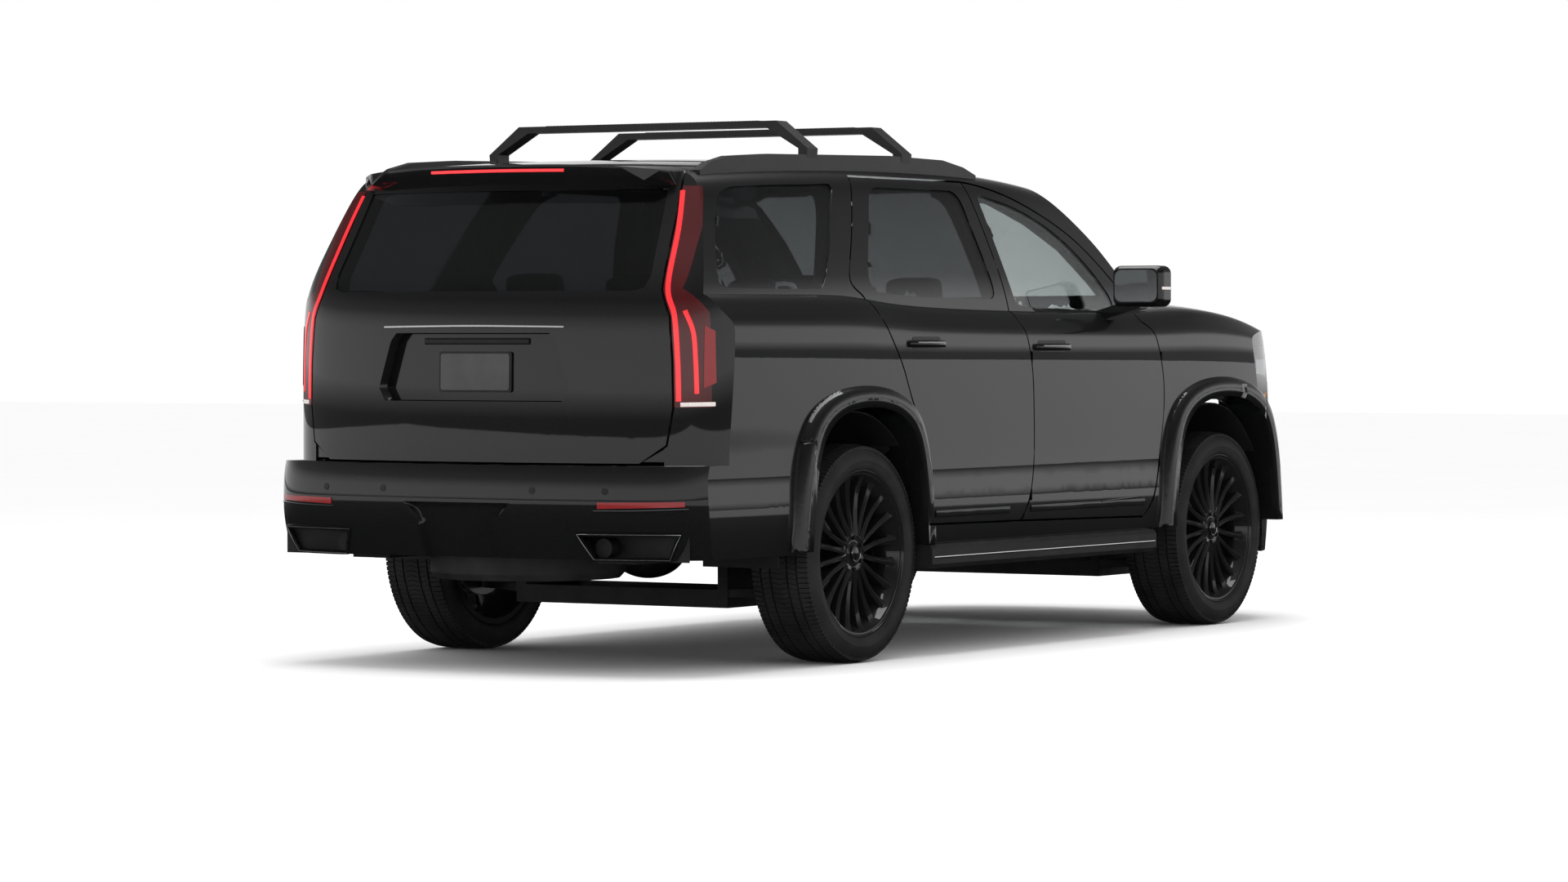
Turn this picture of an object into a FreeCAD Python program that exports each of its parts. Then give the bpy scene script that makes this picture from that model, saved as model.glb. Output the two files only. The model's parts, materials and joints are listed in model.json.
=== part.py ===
"""A full-size three-row luxury suv, built as separate panels, glass, wheels and running gear.

The frame has +X forward, +Y to the left and +Z up, with its origin on the ground under the
middle of the vehicle. All lengths are millimetres.
"""
import FreeCAD, Part
import math
import os
import re
import Sketcher

from FreeCAD import Vector

doc = FreeCAD.newDocument("suv")
sheet = doc.addObject("Spreadsheet::Sheet", "Sizes")

# Driving dimensions
SIZES = {
    "overall_length": 5382,
    "overall_width": 2059,
    "roof_height": 1940,
    "wheel_base": 3071,
    "rear_overhang": 1330,
    "wheel_track": 1700,
    "body_width": 1998,
    "shut_gap": 8,
    "hinge_inset": 7.5,
    "hood_hinge_inset": 8,
    "gate_hinge_inset": 10,
    "hinge_foot_length": 70,
    "hinge_setback": 34,
    "hood_hinge_setback": 14,
    "gate_hinge_setback": 22,
    "hinge_relief": 5,
    "low_gap_growth": 5,
    "door_turn_degrees": 65,
    "hood_turn_degrees": 50,
    "hinge_leaf_half": 5,
    "hinge_leaf_height": 44,
    "hinge_pin_radius": 4,
    "hinge_pin_engagement": 18,
    "running_clearance": 0.3,
    "door_draft_degrees": 14,
    "seal_gap": 24,
    "pillar_wall": 40,
    "panel_wall": 110,
    "frame_wall": 42,
    "tailgate_wall": 90,
    "bumper_wall": 60,
    "roof_wall": 30,
    "glass_inset": 3,
    "glass_thickness": 6,
    "tyre_diameter": 838,
    "tyre_width": 275,
    "tyre_sidewall": 98,
    "tyre_wall": 14,
    "rim_diameter": 642,
    "rim_width": 250,
    "rim_lip": 16,
    "rim_flange": 7,
    "rim_wall": 9,
    "hub_diameter": 170,
    "hub_cap_radius": 34,
    "hub_step": 10,
    "hub_bore": 78,
    "spoke_face": 98,
    "spoke_depth": 44,
    "spoke_width": 40,
    "spoke_spread": 56,
    "disc_offset": 30,
    "disc_diameter": 410,
    "disc_thickness": 34,
    "arch_half_length": 446,
    "arch_rise": 980,
    "front_arch_half_length": 500,
    "front_arch_rise": 994,
    "flare_band": 84,
    "flare_proud": 28,
    "liner_wall": 6,
    "front_housing_inner": 460,
    "rear_housing_inner": 560,
    "sill_height": 442,
    "rail_width": 90,
    "rail_bottom": 400,
    "rail_taper": 82,
    "floor_height": 550,
    "floor_thickness": 22,
    "rail_spacing": 800,
    "member_length": 120,
    "step_width": 150,
    "step_height": 98,
    "step_length": 1920,
    "bumper_reach": 1330,
    "bumper_top": 784,
    "knuckle_thickness": 36,
    "knuckle_length": 110,
    "knuckle_height": 280,
    "ball_pin_radius": 14,
    "ball_pin_length": 34,
    "arm_eye_radius": 26,
    "arm_width": 40,
    "arm_spread": 170,
    "caliper_gap": 15,
    "caliper_length": 120,
    "caliper_height": 160,
    "caliper_outer_radius": 240,
    "subframe_bottom": 205,
    "subframe_height": 70,
    "differential_radius": 118,
    "halfshaft_radius": 24,
    "spare_diameter": 740,
    "spare_top": 475,
    "spare_thickness": 136,
    "muffler_length": 560,
    "muffler_width": 170,
    "muffler_height": 140,
    "pipe_radius": 28,
    "tip_length": 130,
    "rack_rail_width": 36,
    "rack_rail_rise": 58,
    "bar_width": 78,
    "bar_height": 26,
    "bar_top": 2084,
    "mirror_width": 235,
    "mirror_depth": 120,
    "mirror_height": 172,
    "mirror_round": 34,
    "mirror_arm_half": 38,
    "steering_wheel_radius": 185,
    "steering_grip_radius": 15,
    "column_radius": 22,
    "column_tilt_degrees": 25,
    "seat_width": 540,
    "seat_cushion": 330,
    "seat_back": 600,
    "engine_length": 720,
    "engine_width": 640,
    "engine_height": 620,
    "engine_bottom": 400,
    "radiator_width": 780,
    "radiator_thickness": 60,
    "radiator_height": 620,
}


def write_sheet():
    """Fills the spreadsheet, one aliased cell for each size."""
    for row, (alias, value) in enumerate(SIZES.items(), start=1):
        sheet.set(f"A{row}", alias)
        sheet.set(f"B{row}", str(value))
        sheet.setAlias(f"B{row}", alias)
    doc.recompute()


write_sheet()


def size(alias):
    """The number in the cell with that alias."""
    return float(sheet.get(alias))


OVERALL_LENGTH = size("overall_length")
WHEELBASE = size("wheel_base")
BODY_HALF = size("body_width") / 2
ROOF = size("roof_height")
GAP = size("shut_gap")
REAR_AXLE_X = size("rear_overhang") - OVERALL_LENGTH / 2
FRONT_AXLE_X = REAR_AXLE_X + WHEELBASE
FRONT_OVERHANG = OVERALL_LENGTH - WHEELBASE - size("rear_overhang")
FAR = OVERALL_LENGTH
FORWARD = Vector(1, 0, 0)
LEFT = Vector(0, 1, 0)
UP = Vector(0, 0, 1)


def along(share):
    """X of a place given as a share of the wheelbase ahead of the rear axle."""
    return REAR_AXLE_X + share * WHEELBASE


def high(share):
    """Z of a place given as a share of the roof's height."""
    return share * ROOF


def wide(share):
    """Y of a place given as a share of the body's half width."""
    return share * BODY_HALF


# Surfaces
def clamped_knots(count, degree):
    """Knots and multiplicities of a clamped uniform B-spline with that many poles."""
    spans = count - degree
    knots = [i / spans for i in range(spans + 1)]
    mults = [degree + 1] + [1] * (spans - 1) + [degree + 1]
    return knots, mults


def smooth_surface(rows):
    """A bicubic B-spline surface whose poles are the given rows of points."""
    u_degree = min(3, len(rows) - 1)
    v_degree = min(3, len(rows[0]) - 1)
    u_knots, u_mults = clamped_knots(len(rows), u_degree)
    v_knots, v_mults = clamped_knots(len(rows[0]), v_degree)
    surface = Part.BSplineSurface()
    surface.buildFromPolesMultsKnots(
        rows, u_mults, v_mults, u_knots, v_knots, False, False, u_degree, v_degree)
    return surface


def slab(rows, direction):
    """The solid swept by a smooth surface along a direction."""
    return smooth_surface(rows).toShape().extrude(direction)


def tunnel(stations):
    """The solid under a smooth surface, whose stations are pole rows from the right edge to the left."""
    top = smooth_surface(stations).toShape()
    first, last = stations[0], stations[-1]
    edges = top.Edges
    right, left, rear, front = None, None, None, None
    for edge in edges:
        middle = edge.valueAt((edge.FirstParameter + edge.LastParameter) / 2)
        low = edge.valueAt(edge.FirstParameter)
        end = edge.valueAt(edge.LastParameter)
        if abs(low.x - end.x) > abs(low.y - end.y):
            if middle.y < 0:
                right = edge
            else:
                left = edge
        elif abs(middle.x - first[0].x) < abs(middle.x - last[0].x):
            rear = edge
        else:
            front = edge
    rear_line = Part.LineSegment(first[0], first[-1]).toShape()
    front_line = Part.LineSegment(last[0], last[-1]).toShape()
    caps = [Part.Face(Part.Wire([rear, rear_line])), Part.Face(Part.Wire([front, front_line]))]
    floor = Part.Face(Part.Wire(Part.sortEdges([right, rear_line, left, front_line])[0]))
    shell = Part.Shell([top, floor] + caps)
    shell.sewShape()
    solid = Part.Solid(shell)
    if solid.Volume < 0:
        solid.reverse()
    return solid


def mirrored_row(x, half):
    """A full pole row at one station, from its right half, listed from the edge to the centre."""
    right = [Vector(x, -y, z) for y, z in half]
    left = [Vector(x, y, z) for y, z in reversed(half)]
    if half[-1][0] == 0:
        left = left[1:]
    return right + left


# Lower body: side section from the sill to the shoulder, then across the hood or the belt
SECTION_SHARES = [
    (0.965, 0.130), (0.985, 0.215), (1.004, 0.290), (0.990, 0.365), (0.996, 0.470),
    (1.002, 0.580), (1.003, 0.655), (0.998, 0.674), (0.972, 0.695), (0.938, 0.727),
]
SECTION_TOP_SHARE = 0.735
SECTION_FIXED_SHARE = 0.580
# Station, width of the body there, and height of its top there, as shares
STATION_SHARES = [
    (-0.450, 0.955, 0.735), (-0.300, 0.975, 0.735), (-0.120, 0.993, 0.735), (0.000, 1.000, 0.736),
    (0.100, 1.000, 0.716), (0.300, 1.000, 0.708), (0.600, 1.000, 0.704), (0.800, 0.998, 0.704),
    (0.930, 0.995, 0.716), (1.050, 0.990, 0.704), (1.150, 0.975, 0.682), (1.240, 0.950, 0.645),
    (1.340, 0.920, 0.600),
]
HOOD_CROWN_SHARE = 0.020
# From the shoulder to the middle line: place across, rise of the crown, and how far the side's inset counts
CROWN_SHARES = [(0.86, 0.0, 1), (0.70, 0.6, 1), (0.35, 1.0, 0), (0.0, 1.0, 0)]


def lower_body(inset_side, inset_top):
    """The lower body without its ends: sills, doors, fenders, hood and belt line."""
    stations = []
    for x, width, top in STATION_SHARES:
        top_height = high(top) - inset_top
        half = []
        for y, z in SECTION_SHARES:
            rise = max(0, z - SECTION_FIXED_SHARE) / (SECTION_TOP_SHARE - SECTION_FIXED_SHARE)
            height = high(min(z, SECTION_FIXED_SHARE) + rise * (top - SECTION_FIXED_SHARE))
            half.append((wide(y * width) - inset_side, height - inset_top * rise))
        for across, crown, counted in CROWN_SHARES:
            half.append((
                wide(across * width) - inset_side * counted, top_height + high(HOOD_CROWN_SHARE) * crown))
        stations.append(mirrored_row(along(x), half))
    return tunnel(stations)


# Front face: how far the body reaches ahead of the front axle at places across it
NOSE_ACROSS_SHARES = [
    (0.0, 1.0), (0.30, 0.995), (0.58, 0.955), (0.78, 0.86), (0.90, 0.70), (0.97, 0.46), (1.04, 0.10),
]
NOSE_UP_SHARES = [
    (0.10, -0.060), (0.20, -0.010), (0.32, 0.0), (0.48, -0.004), (0.60, -0.030), (0.68, -0.085),
    (0.80, -0.22),
]


def nose(inset):
    """Everything behind the front face."""
    rows = []
    for z, back in NOSE_UP_SHARES:
        half = [
            (wide(y), FRONT_AXLE_X + FRONT_OVERHANG * (reach + back) - inset)
            for y, reach in NOSE_ACROSS_SHARES]
        right = [Vector(x, -y, high(z)) for y, x in reversed(half)]
        left = [Vector(x, y, high(z)) for y, x in half[1:]]
        rows.append(right + left)
    return slab(rows, Vector(-FAR, 0, 0))


# Rear face: how far the body reaches behind the rear axle
TAIL_ACROSS_SHARES = [
    (0.0, 0.0), (0.30, 0.008), (0.58, 0.040), (0.80, 0.085), (0.93, 0.150), (1.00, 0.260), (1.06, 0.42),
]
TAIL_UP_SHARES = [
    (0.15, 0.93), (0.38, 0.930), (0.50, 0.930), (0.62, 0.928), (0.70, 0.922), (0.745, 0.900),
    (0.82, 0.830), (0.92, 0.745), (1.02, 0.660), (1.08, 0.600),
]


def tail(inset):
    """Everything ahead of the rear face, from the tailgate's foot to the roof."""
    reach = size("rear_overhang")
    rows = []
    for z, back in TAIL_UP_SHARES:
        half = [
            (wide(y), REAR_AXLE_X - reach * (back - forward) + inset)
            for y, forward in TAIL_ACROSS_SHARES]
        right = [Vector(x, -y, high(z)) for y, x in reversed(half)]
        left = [Vector(x, y, high(z)) for y, x in half[1:]]
        rows.append(right + left)
    return slab(rows, Vector(FAR, 0, 0))


# Greenhouse: section from the belt over the roof
CABIN_SHARES = [
    (0.925, 0.600), (0.930, 0.680), (0.925, 0.745), (0.880, 0.830), (0.822, 0.925), (0.775, 0.978),
    (0.660, 0.996),
]
CABIN_STATION_SHARES = [
    (-0.420, 0.965, 0.958), (-0.250, 0.985, 0.980), (0.0, 1.0, 0.995), (0.250, 1.0, 1.0),
    (0.450, 1.0, 0.995), (0.620, 0.995, 0.975), (0.800, 0.985, 0.930), (1.000, 0.97, 0.88),
]
ROOF_CROWN_SHARE = 0.008
CROWN_ACROSS_SHARE = 0.33


def cabin(inset_side, inset_top):
    """The greenhouse without its windscreen."""
    stations = []
    base = CABIN_SHARES[0][1]
    for x, width, top in CABIN_STATION_SHARES:
        half = []
        for index, (y, z) in enumerate(CABIN_SHARES):
            height = high(base + (z - base) * (top - base) / (1 - base))
            lowered = inset_top * index / (len(CABIN_SHARES) - 1)
            half.append((wide(y * width) - inset_side, height - lowered))
        crown = high(top + ROOF_CROWN_SHARE) - inset_top
        half.append((wide(CROWN_ACROSS_SHARE * width), crown))
        half.append((0, crown))
        stations.append(mirrored_row(along(x), half))
    return tunnel(stations)


SCREEN_ACROSS_SHARES = [
    (0.0, 0.0), (0.30, -0.008), (0.58, -0.035), (0.76, -0.075), (0.88, -0.130), (1.00, -0.22),
]
SCREEN_UP_SHARES = [
    (0.60, 1.110), (0.72, 0.945), (0.78, 0.885), (0.84, 0.826), (0.90, 0.750), (0.945, 0.686),
    (0.985, 0.612), (1.02, 0.500), (1.08, 0.300),
]


def screen(inset):
    """Everything behind the windscreen's surface."""
    rows = []
    for z, forward in SCREEN_UP_SHARES:
        half = [(wide(y), along(forward + back) - inset) for y, back in SCREEN_ACROSS_SHARES]
        right = [Vector(x, -y, high(z)) for y, x in reversed(half)]
        left = [Vector(x, y, high(z)) for y, x in half[1:]]
        rows.append(right + left)
    return slab(rows, Vector(-FAR, 0, 0))


# Side view
def side_points(shares):
    """Points of the side view at the body's widest place, from shares of wheelbase and height."""
    return [Vector(along(x), -BODY_HALF, high(z)) for x, z in shares]


DRAFT = math.tan(math.radians(size("door_draft_degrees")))
INWARD = Vector(DRAFT, 1, 0)
START_SHARE = -0.15
DEPTH_SHARE = 0.75

FRONT_SHUT_SHARES = [
    (0.762, 0.677), (0.782, 0.658), (0.798, 0.618), (0.812, 0.556), (0.815, 0.475), (0.804, 0.384),
    (0.782, 0.293), (0.754, 0.254),
]
MIDDLE_SHUT_SHARES = [
    (0.349, 0.966), (0.366, 0.880), (0.384, 0.790), (0.400, 0.714), (0.412, 0.660), (0.428, 0.591),
    (0.437, 0.482), (0.438, 0.377), (0.424, 0.308), (0.400, 0.262),
]
REAR_SHUT_SHARES = [
    (0.060, 0.966), (0.040, 0.901), (0.020, 0.836), (0.002, 0.780), (-0.001, 0.755), (0.010, 0.738),
    (0.028, 0.722), (0.038, 0.700), (0.046, 0.672), (0.062, 0.637), (0.090, 0.580), (0.109, 0.528),
    (0.129, 0.481), (0.150, 0.425), (0.158, 0.374), (0.157, 0.320), (0.142, 0.266),
]
DOOR_TOP_SHARES = [
    (0.349, 0.966), (0.405, 0.957), (0.454, 0.943), (0.553, 0.899), (0.637, 0.845), (0.705, 0.778),
    (0.745, 0.725), (0.762, 0.677),
]
REAR_WINDOW_SHARES = [
    (0.096, 0.946), (0.325, 0.946), (0.338, 0.870), (0.356, 0.790), (0.372, 0.722), (0.150, 0.724),
    (0.058, 0.734), (0.044, 0.755), (0.048, 0.790), (0.072, 0.870),
]
FRONT_WINDOW_SHARES = [
    (0.375, 0.942), (0.410, 0.935), (0.480, 0.916), (0.550, 0.882), (0.610, 0.838), (0.665, 0.780),
    (0.700, 0.731), (0.708, 0.708), (0.690, 0.700), (0.560, 0.703), (0.440, 0.708), (0.422, 0.716),
    (0.404, 0.780), (0.386, 0.870),
]
QUARTER_WINDOW_SHARES = [
    (-0.050, 0.944), (0.010, 0.949), (-0.010, 0.900), (-0.032, 0.835), (-0.052, 0.780), (-0.068, 0.738),
    (-0.150, 0.736), (-0.292, 0.737), (-0.306, 0.748), (-0.300, 0.800), (-0.285, 0.870), (-0.262, 0.920),
    (-0.235, 0.932), (-0.140, 0.940),
]


def curve(points):
    """A smooth edge through points."""
    spline = Part.BSplineCurve()
    spline.interpolate(points)
    return spline.toShape()


def straight(start, end):
    """A straight edge."""
    return Part.LineSegment(start, end).toShape()


def shifted(points, distance):
    """The points moved sideways in the XZ plane by a distance."""
    moved = []
    for index, point in enumerate(points):
        before = points[max(index - 1, 0)]
        after = points[min(index + 1, len(points) - 1)]
        run = after - before
        normal = Vector(run.z, 0, -run.x)
        normal.normalize()
        moved.append(point + normal * distance)
    return moved


def side_prism(edges, inward=INWARD):
    """The solid behind a closed side-view outline, from outside the right flank inwards."""
    face = Part.Face(Part.Wire(Part.sortEdges(edges)[0]))
    face.translate(inward * wide(START_SHARE))
    return face.extrude(inward * wide(DEPTH_SHARE))


def ribbon(points, gap, inward=INWARD):
    """The solid of a shut line: a gap wide, from outside the right flank inwards."""
    one = shifted(points, gap / 2)
    two = shifted(points, -gap / 2)
    return side_prism([curve(one), curve(two), straight(one[0], two[0]), straight(one[-1], two[-1])], inward)


def outline_edges(points):
    """Straight edges round a list of points."""
    return [straight(a, b) for a, b in zip(points, points[1:] + points[:1])]


def rounded_outline(points, share):
    """Edges round a list of points, each corner cut back to a share of its shorter run by a curve."""
    edges = []
    count = len(points)
    ends = []
    for index, point in enumerate(points):
        before = points[index - 1]
        after = points[(index + 1) % count]
        reach = share * min(before.distanceToPoint(point), after.distanceToPoint(point))
        start = point + (before - point).normalize() * reach
        end = point + (after - point).normalize() * reach
        bend = Part.BezierCurve()
        bend.setPoles([start, point, end])
        edges.append(bend.toShape())
        ends.append((start, end))
    for index in range(count):
        edges.append(straight(ends[index][1], ends[(index + 1) % count][0]))
    return edges


WINDOW_ROUND_SHARE = 0.45


def window_prism(shares):
    """The solid over a window outline."""
    return side_prism(rounded_outline(side_points(shares), WINDOW_ROUND_SHARE))


def grown(points, middle, distance):
    """A convex outline's points moved out from its middle by a distance, square to its edges."""
    moved = []
    count = len(points)
    for index, point in enumerate(points):
        before = (point - points[index - 1]).normalize()
        after = (points[(index + 1) % count] - point).normalize()
        normal = Vector(before.z + after.z, 0, -(before.x + after.x))
        normal.normalize()
        if normal.dot(point - middle) < 0:
            normal = normal * -1
        moved.append(point + normal * distance)
    return moved


def box(x_range, y_range, z_range):
    """A box between three pairs of coordinates."""
    low = Vector(min(x_range), min(y_range), min(z_range))
    return Part.makeBox(
        abs(x_range[1] - x_range[0]), abs(y_range[1] - y_range[0]), abs(z_range[1] - z_range[0]), low)


def rear_prism(outline, x_from, x_to):
    """The solid over a closed outline of (y, z) points, between two stations."""
    points = [Vector(x_from, y, z) for y, z in outline]
    wire = Part.makePolygon(points + points[:1])
    return Part.Face(wire).extrude(Vector(x_to - x_from, 0, 0))


def both_sides(outline):
    """A symmetric (y, z) outline from its left half, listed from one end of the middle line to the other."""
    return [(y, z) for y, z in outline] + [(-y, z) for y, z in reversed(outline) if y != 0]


def mirrored(shape):
    """The left-hand twin of a right-hand shape."""
    return shape.mirror(Vector(0, 0, 0), Vector(0, 1, 0))


def biggest(shape):
    """The largest solid of a shape."""
    return max(shape.Solids, key=lambda solid: solid.Volume)


# Wheel arches
ARCH_SHARES = [
    (-1.000, 0.20), (-1.000, 0.31), (-0.987, 0.43), (-0.960, 0.57), (-0.924, 0.69), (-0.863, 0.80),
    (-0.760, 0.890), (-0.590, 0.950), (-0.330, 0.988), (0.0, 1.0), (0.330, 0.988), (0.590, 0.950),
    (0.760, 0.890), (0.863, 0.80), (0.924, 0.69), (0.960, 0.57), (0.987, 0.43), (1.000, 0.31), (1.000, 0.20),
]


def arch_points(centre, half_length, rise, grow, y):
    """Points of a wheel arch's edge, grown outwards by a distance."""
    points = []
    for x, z in ARCH_SHARES:
        points.append(Vector(centre + x * (half_length + grow), y, z * (rise + grow)))
    return points


def arch_wire(centre, half_length, rise, grow, y):
    """The closed outline of a wheel arch at one side plane."""
    points = arch_points(centre, half_length, rise, grow, y)
    return Part.Wire([curve(points), straight(points[-1], points[0])])


def arch_solid(centre, half_length, rise, grow, y_from, y_to):
    """The space of a wheel arch between two side planes."""
    face = Part.Face(arch_wire(centre, half_length, rise, grow, y_from))
    return face.extrude(Vector(0, y_to - y_from, 0))


# How far each arch stands behind its axle, as a share of its half length
REAR_ARCH_SHARE = 0.02
FRONT_ARCH_SHARE = 0.03
REAR_ARCH = (
    REAR_AXLE_X - REAR_ARCH_SHARE * size("arch_half_length"),
    size("arch_half_length"), size("arch_rise"))
FRONT_ARCH = (
    FRONT_AXLE_X - FRONT_ARCH_SHARE * size("front_arch_half_length"),
    size("front_arch_half_length"), size("front_arch_rise"))
# Sections of the flare: share of its band round the arch, share of its height over the flank
FLARE_SHARES = [(1.0, -2.0), (0.80, 0.75), (0.30, 1.0)]


def flare(arch):
    """The swelling of the flank round one wheel arch, on the right."""
    sections = [
        arch_wire(*arch, band * size("flare_band"), -(BODY_HALF + proud * size("flare_proud")))
        for band, proud in FLARE_SHARES]
    return Part.makeLoft(sections, True, False)


# Whole body, and what its walls leave free inside
def greenhouse(frame, top, back):
    """The greenhouse, inset on its sides, top and rear."""
    return cabin(frame, top).common(screen(frame)).common(tail(back))


def body_solid(side, top, end, back, frame):
    """The whole body, inset on its sides, top, front and rear, and on the greenhouse's sides."""
    low = lower_body(side, top).common(nose(end)).common(tail(back))
    return low.fuse(greenhouse(frame, top, back))


def hollow(extra):
    """The room inside the walls, smaller all round by an extra distance."""
    return body_solid(
        size("panel_wall") + extra, size("roof_wall") + extra, size("bumper_wall") + extra,
        size("tailgate_wall") + extra, size("frame_wall") + extra)


outer = body_solid(0, 0, 0, 0, 0)
glass_outer = greenhouse(size("glass_inset"), size("glass_inset"), size("glass_inset"))
pane_depth = size("glass_inset") + size("glass_thickness")
glass_inner = greenhouse(pane_depth, pane_depth, pane_depth)
room = hollow(0)
seal_room = hollow(size("seal_gap"))
ring_room = hollow(size("seal_gap") + size("pillar_wall"))


# Panels of the shell
PIECES = []


def keep(name, solids):
    """Adds a piece whose shape is worked out here, under the name of its node."""
    shape = solids if isinstance(solids, Part.Shape) else Part.makeCompound(solids)
    if len(shape.Solids) == 1:
        shape = shape.Solids[0]
    feature = doc.addObject("Part::Feature", name)
    feature.Shape = shape
    feature.Label = name
    PIECES.append(feature)
    return feature


SILL = size("sill_height")
RIGHT = box((-FAR, FAR), (-FAR, 0), (0, FAR))
FLARE_INNER_SHARE = 0.90
PANE_INNER_SHARE = 0.70
FLARE_ZONE = box((-FAR, FAR), (-FAR, -wide(FLARE_INNER_SHARE)), (SILL, FAR))
PANE_ZONE = box((-FAR, FAR), (-FAR, -wide(PANE_INNER_SHARE)), (0, FAR))
BELOW_SILL = box((-FAR, FAR), (-FAR, FAR), (0, SILL))


def shut_line(shares):
    """Points of one side-view line, and the solid of its gap."""
    points = side_points(shares)
    return points, ribbon(points, GAP)


front_line, front_ribbon = shut_line(FRONT_SHUT_SHARES)
middle_line, middle_ribbon = shut_line(MIDDLE_SHUT_SHARES)
rear_line, rear_ribbon = shut_line(REAR_SHUT_SHARES)
top_line, top_ribbon = shut_line(DOOR_TOP_SHARES)
roof_line, roof_ribbon = shut_line([REAR_SHUT_SHARES[0], MIDDLE_SHUT_SHARES[0]])
front_foot, front_foot_ribbon = shut_line([MIDDLE_SHUT_SHARES[-1], FRONT_SHUT_SHARES[-1]])
rear_foot, rear_foot_ribbon = shut_line([REAR_SHUT_SHARES[-1], MIDDLE_SHUT_SHARES[-1]])
door_ribbons = [
    front_ribbon, middle_ribbon, rear_ribbon, top_ribbon, roof_ribbon, front_foot_ribbon, rear_foot_ribbon]
front_door_prism = side_prism(
    [curve(front_line), curve(middle_line), curve(top_line), straight(*front_foot)])
rear_door_prism = side_prism(
    [curve(middle_line), curve(rear_line), straight(*roof_line), straight(*rear_foot)])
front_window = window_prism(FRONT_WINDOW_SHARES)
rear_window = window_prism(REAR_WINDOW_SHARES)
quarter_window = window_prism(QUARTER_WINDOW_SHARES)

# Heights where the flank swells beside a front shut line, and the next panel keeps further from it
FRONT_SWELL_SHARES = (0.272, 0.368)
REAR_SWELL_SHARES = (0.264, 0.312)


def grown_ribbon(points, zone):
    """A wider gap along part of one shut line, between two heights."""
    band = box((-FAR, FAR), (-FAR, 0), (high(zone[0]), high(zone[1])))
    return ribbon(points, GAP + 2 * size("low_gap_growth")).common(band)


front_swell = grown_ribbon(front_line, FRONT_SWELL_SHARES)
rear_swell = grown_ribbon(middle_line, REAR_SWELL_SHARES)

plain_shell = outer.cut(room)
right_shell = plain_shell.common(RIGHT)
front_door_panel = biggest(right_shell.common(front_door_prism).cut(door_ribbons))
rear_door_panel = biggest(right_shell.common(rear_door_prism).cut(door_ribbons))

arches = [
    arch_solid(*REAR_ARCH, 0, -FAR, -size("rear_housing_inner")),
    arch_solid(*FRONT_ARCH, 0, -FAR, -size("front_housing_inner"))]
left_arches = [mirrored(arch) for arch in arches]
rear_flare, front_flare = [flare(arch).common(FLARE_ZONE).cut(room) for arch in (REAR_ARCH, FRONT_ARCH)]
flared_half = right_shell.fuse([rear_flare, front_flare])


# Hinges: a leaf on the body reaches the pin, which turns in the moving panel
def hinge(axis_point, axis, inward, forward, depth, foot_start):
    """A leaf with its pin and foot, and the room they need in the panel that turns on them."""
    half = size("hinge_leaf_half")
    tall = size("hinge_leaf_height")
    clear = size("running_clearance")
    pin_radius = size("hinge_pin_radius")
    reach = size("hinge_pin_engagement")
    leaf = Part.makeBox(2 * half, depth, tall, Vector(-half, 0, -tall / 2))
    leaf = leaf.fuse(Part.makeCylinder(half, tall, Vector(0, 0, -tall / 2)))
    foot_length = half + size("hinge_foot_length")
    leaf = leaf.fuse(
        Part.makeBox(foot_length, depth - foot_start, tall, Vector(-half, foot_start, -tall / 2)))
    pin_length = tall + 2 * (clear + reach)
    leaf = leaf.fuse(Part.makeCylinder(pin_radius, pin_length, Vector(0, 0, -pin_length / 2)))
    slot_height = tall + 2 * clear
    side = half + 3 * clear
    slot = Part.makeBox(3 * depth, 2 * depth, slot_height, Vector(-side, -side, -slot_height / 2))
    bore_length = pin_length + 2 * clear
    bore = Part.makeCylinder(pin_radius + clear, bore_length, Vector(0, 0, -bore_length / 2))
    room_needed = slot.fuse(bore)
    place = FreeCAD.Placement(FreeCAD.Matrix(
        forward.x, inward.x, axis.x, axis_point.x, forward.y, inward.y, axis.y, axis_point.y,
        forward.z, inward.z, axis.z, axis_point.z, 0, 0, 0, 1))
    for shape in (leaf, room_needed):
        shape.Placement = place
    return leaf, room_needed


def turning_room(start, axis, length, proud, turn_degrees):
    """The room ahead of a panel's edge that lies proud of its hinge axis, as the panel turns."""
    radius = proud / math.cos(math.radians(turn_degrees) / 2) + size("hinge_relief")
    return Part.makeCylinder(radius, length, start, axis)


def skin_y(x, z):
    """Where the right flank lies at a station and height."""
    inside = outer.common(straight(Vector(x, -FAR, z), Vector(x, 0, z)))
    return inside.BoundBox.YMin


def skin_z(x, y):
    """How high the body's top lies over a point."""
    inside = outer.common(straight(Vector(x, y, SILL), Vector(x, y, FAR)))
    return inside.BoundBox.ZMax


FRONT_HINGE_SHARES = [0.43, 0.56]
REAR_HINGE_SHARES = [0.37, 0.525]
# Where each door's front shut line reaches furthest forward
FRONT_SHUT_SHARE = 0.815
REAR_SHUT_SHARE = 0.4385
# Heights where each door's shut line crosses its hinge axis
FRONT_CROSSING_SHARES = [(0.362, 0.395), (0.580, 0.612)]
REAR_CROSSING_SHARES = [(0.303, 0.334), (0.578, 0.614)]


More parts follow.
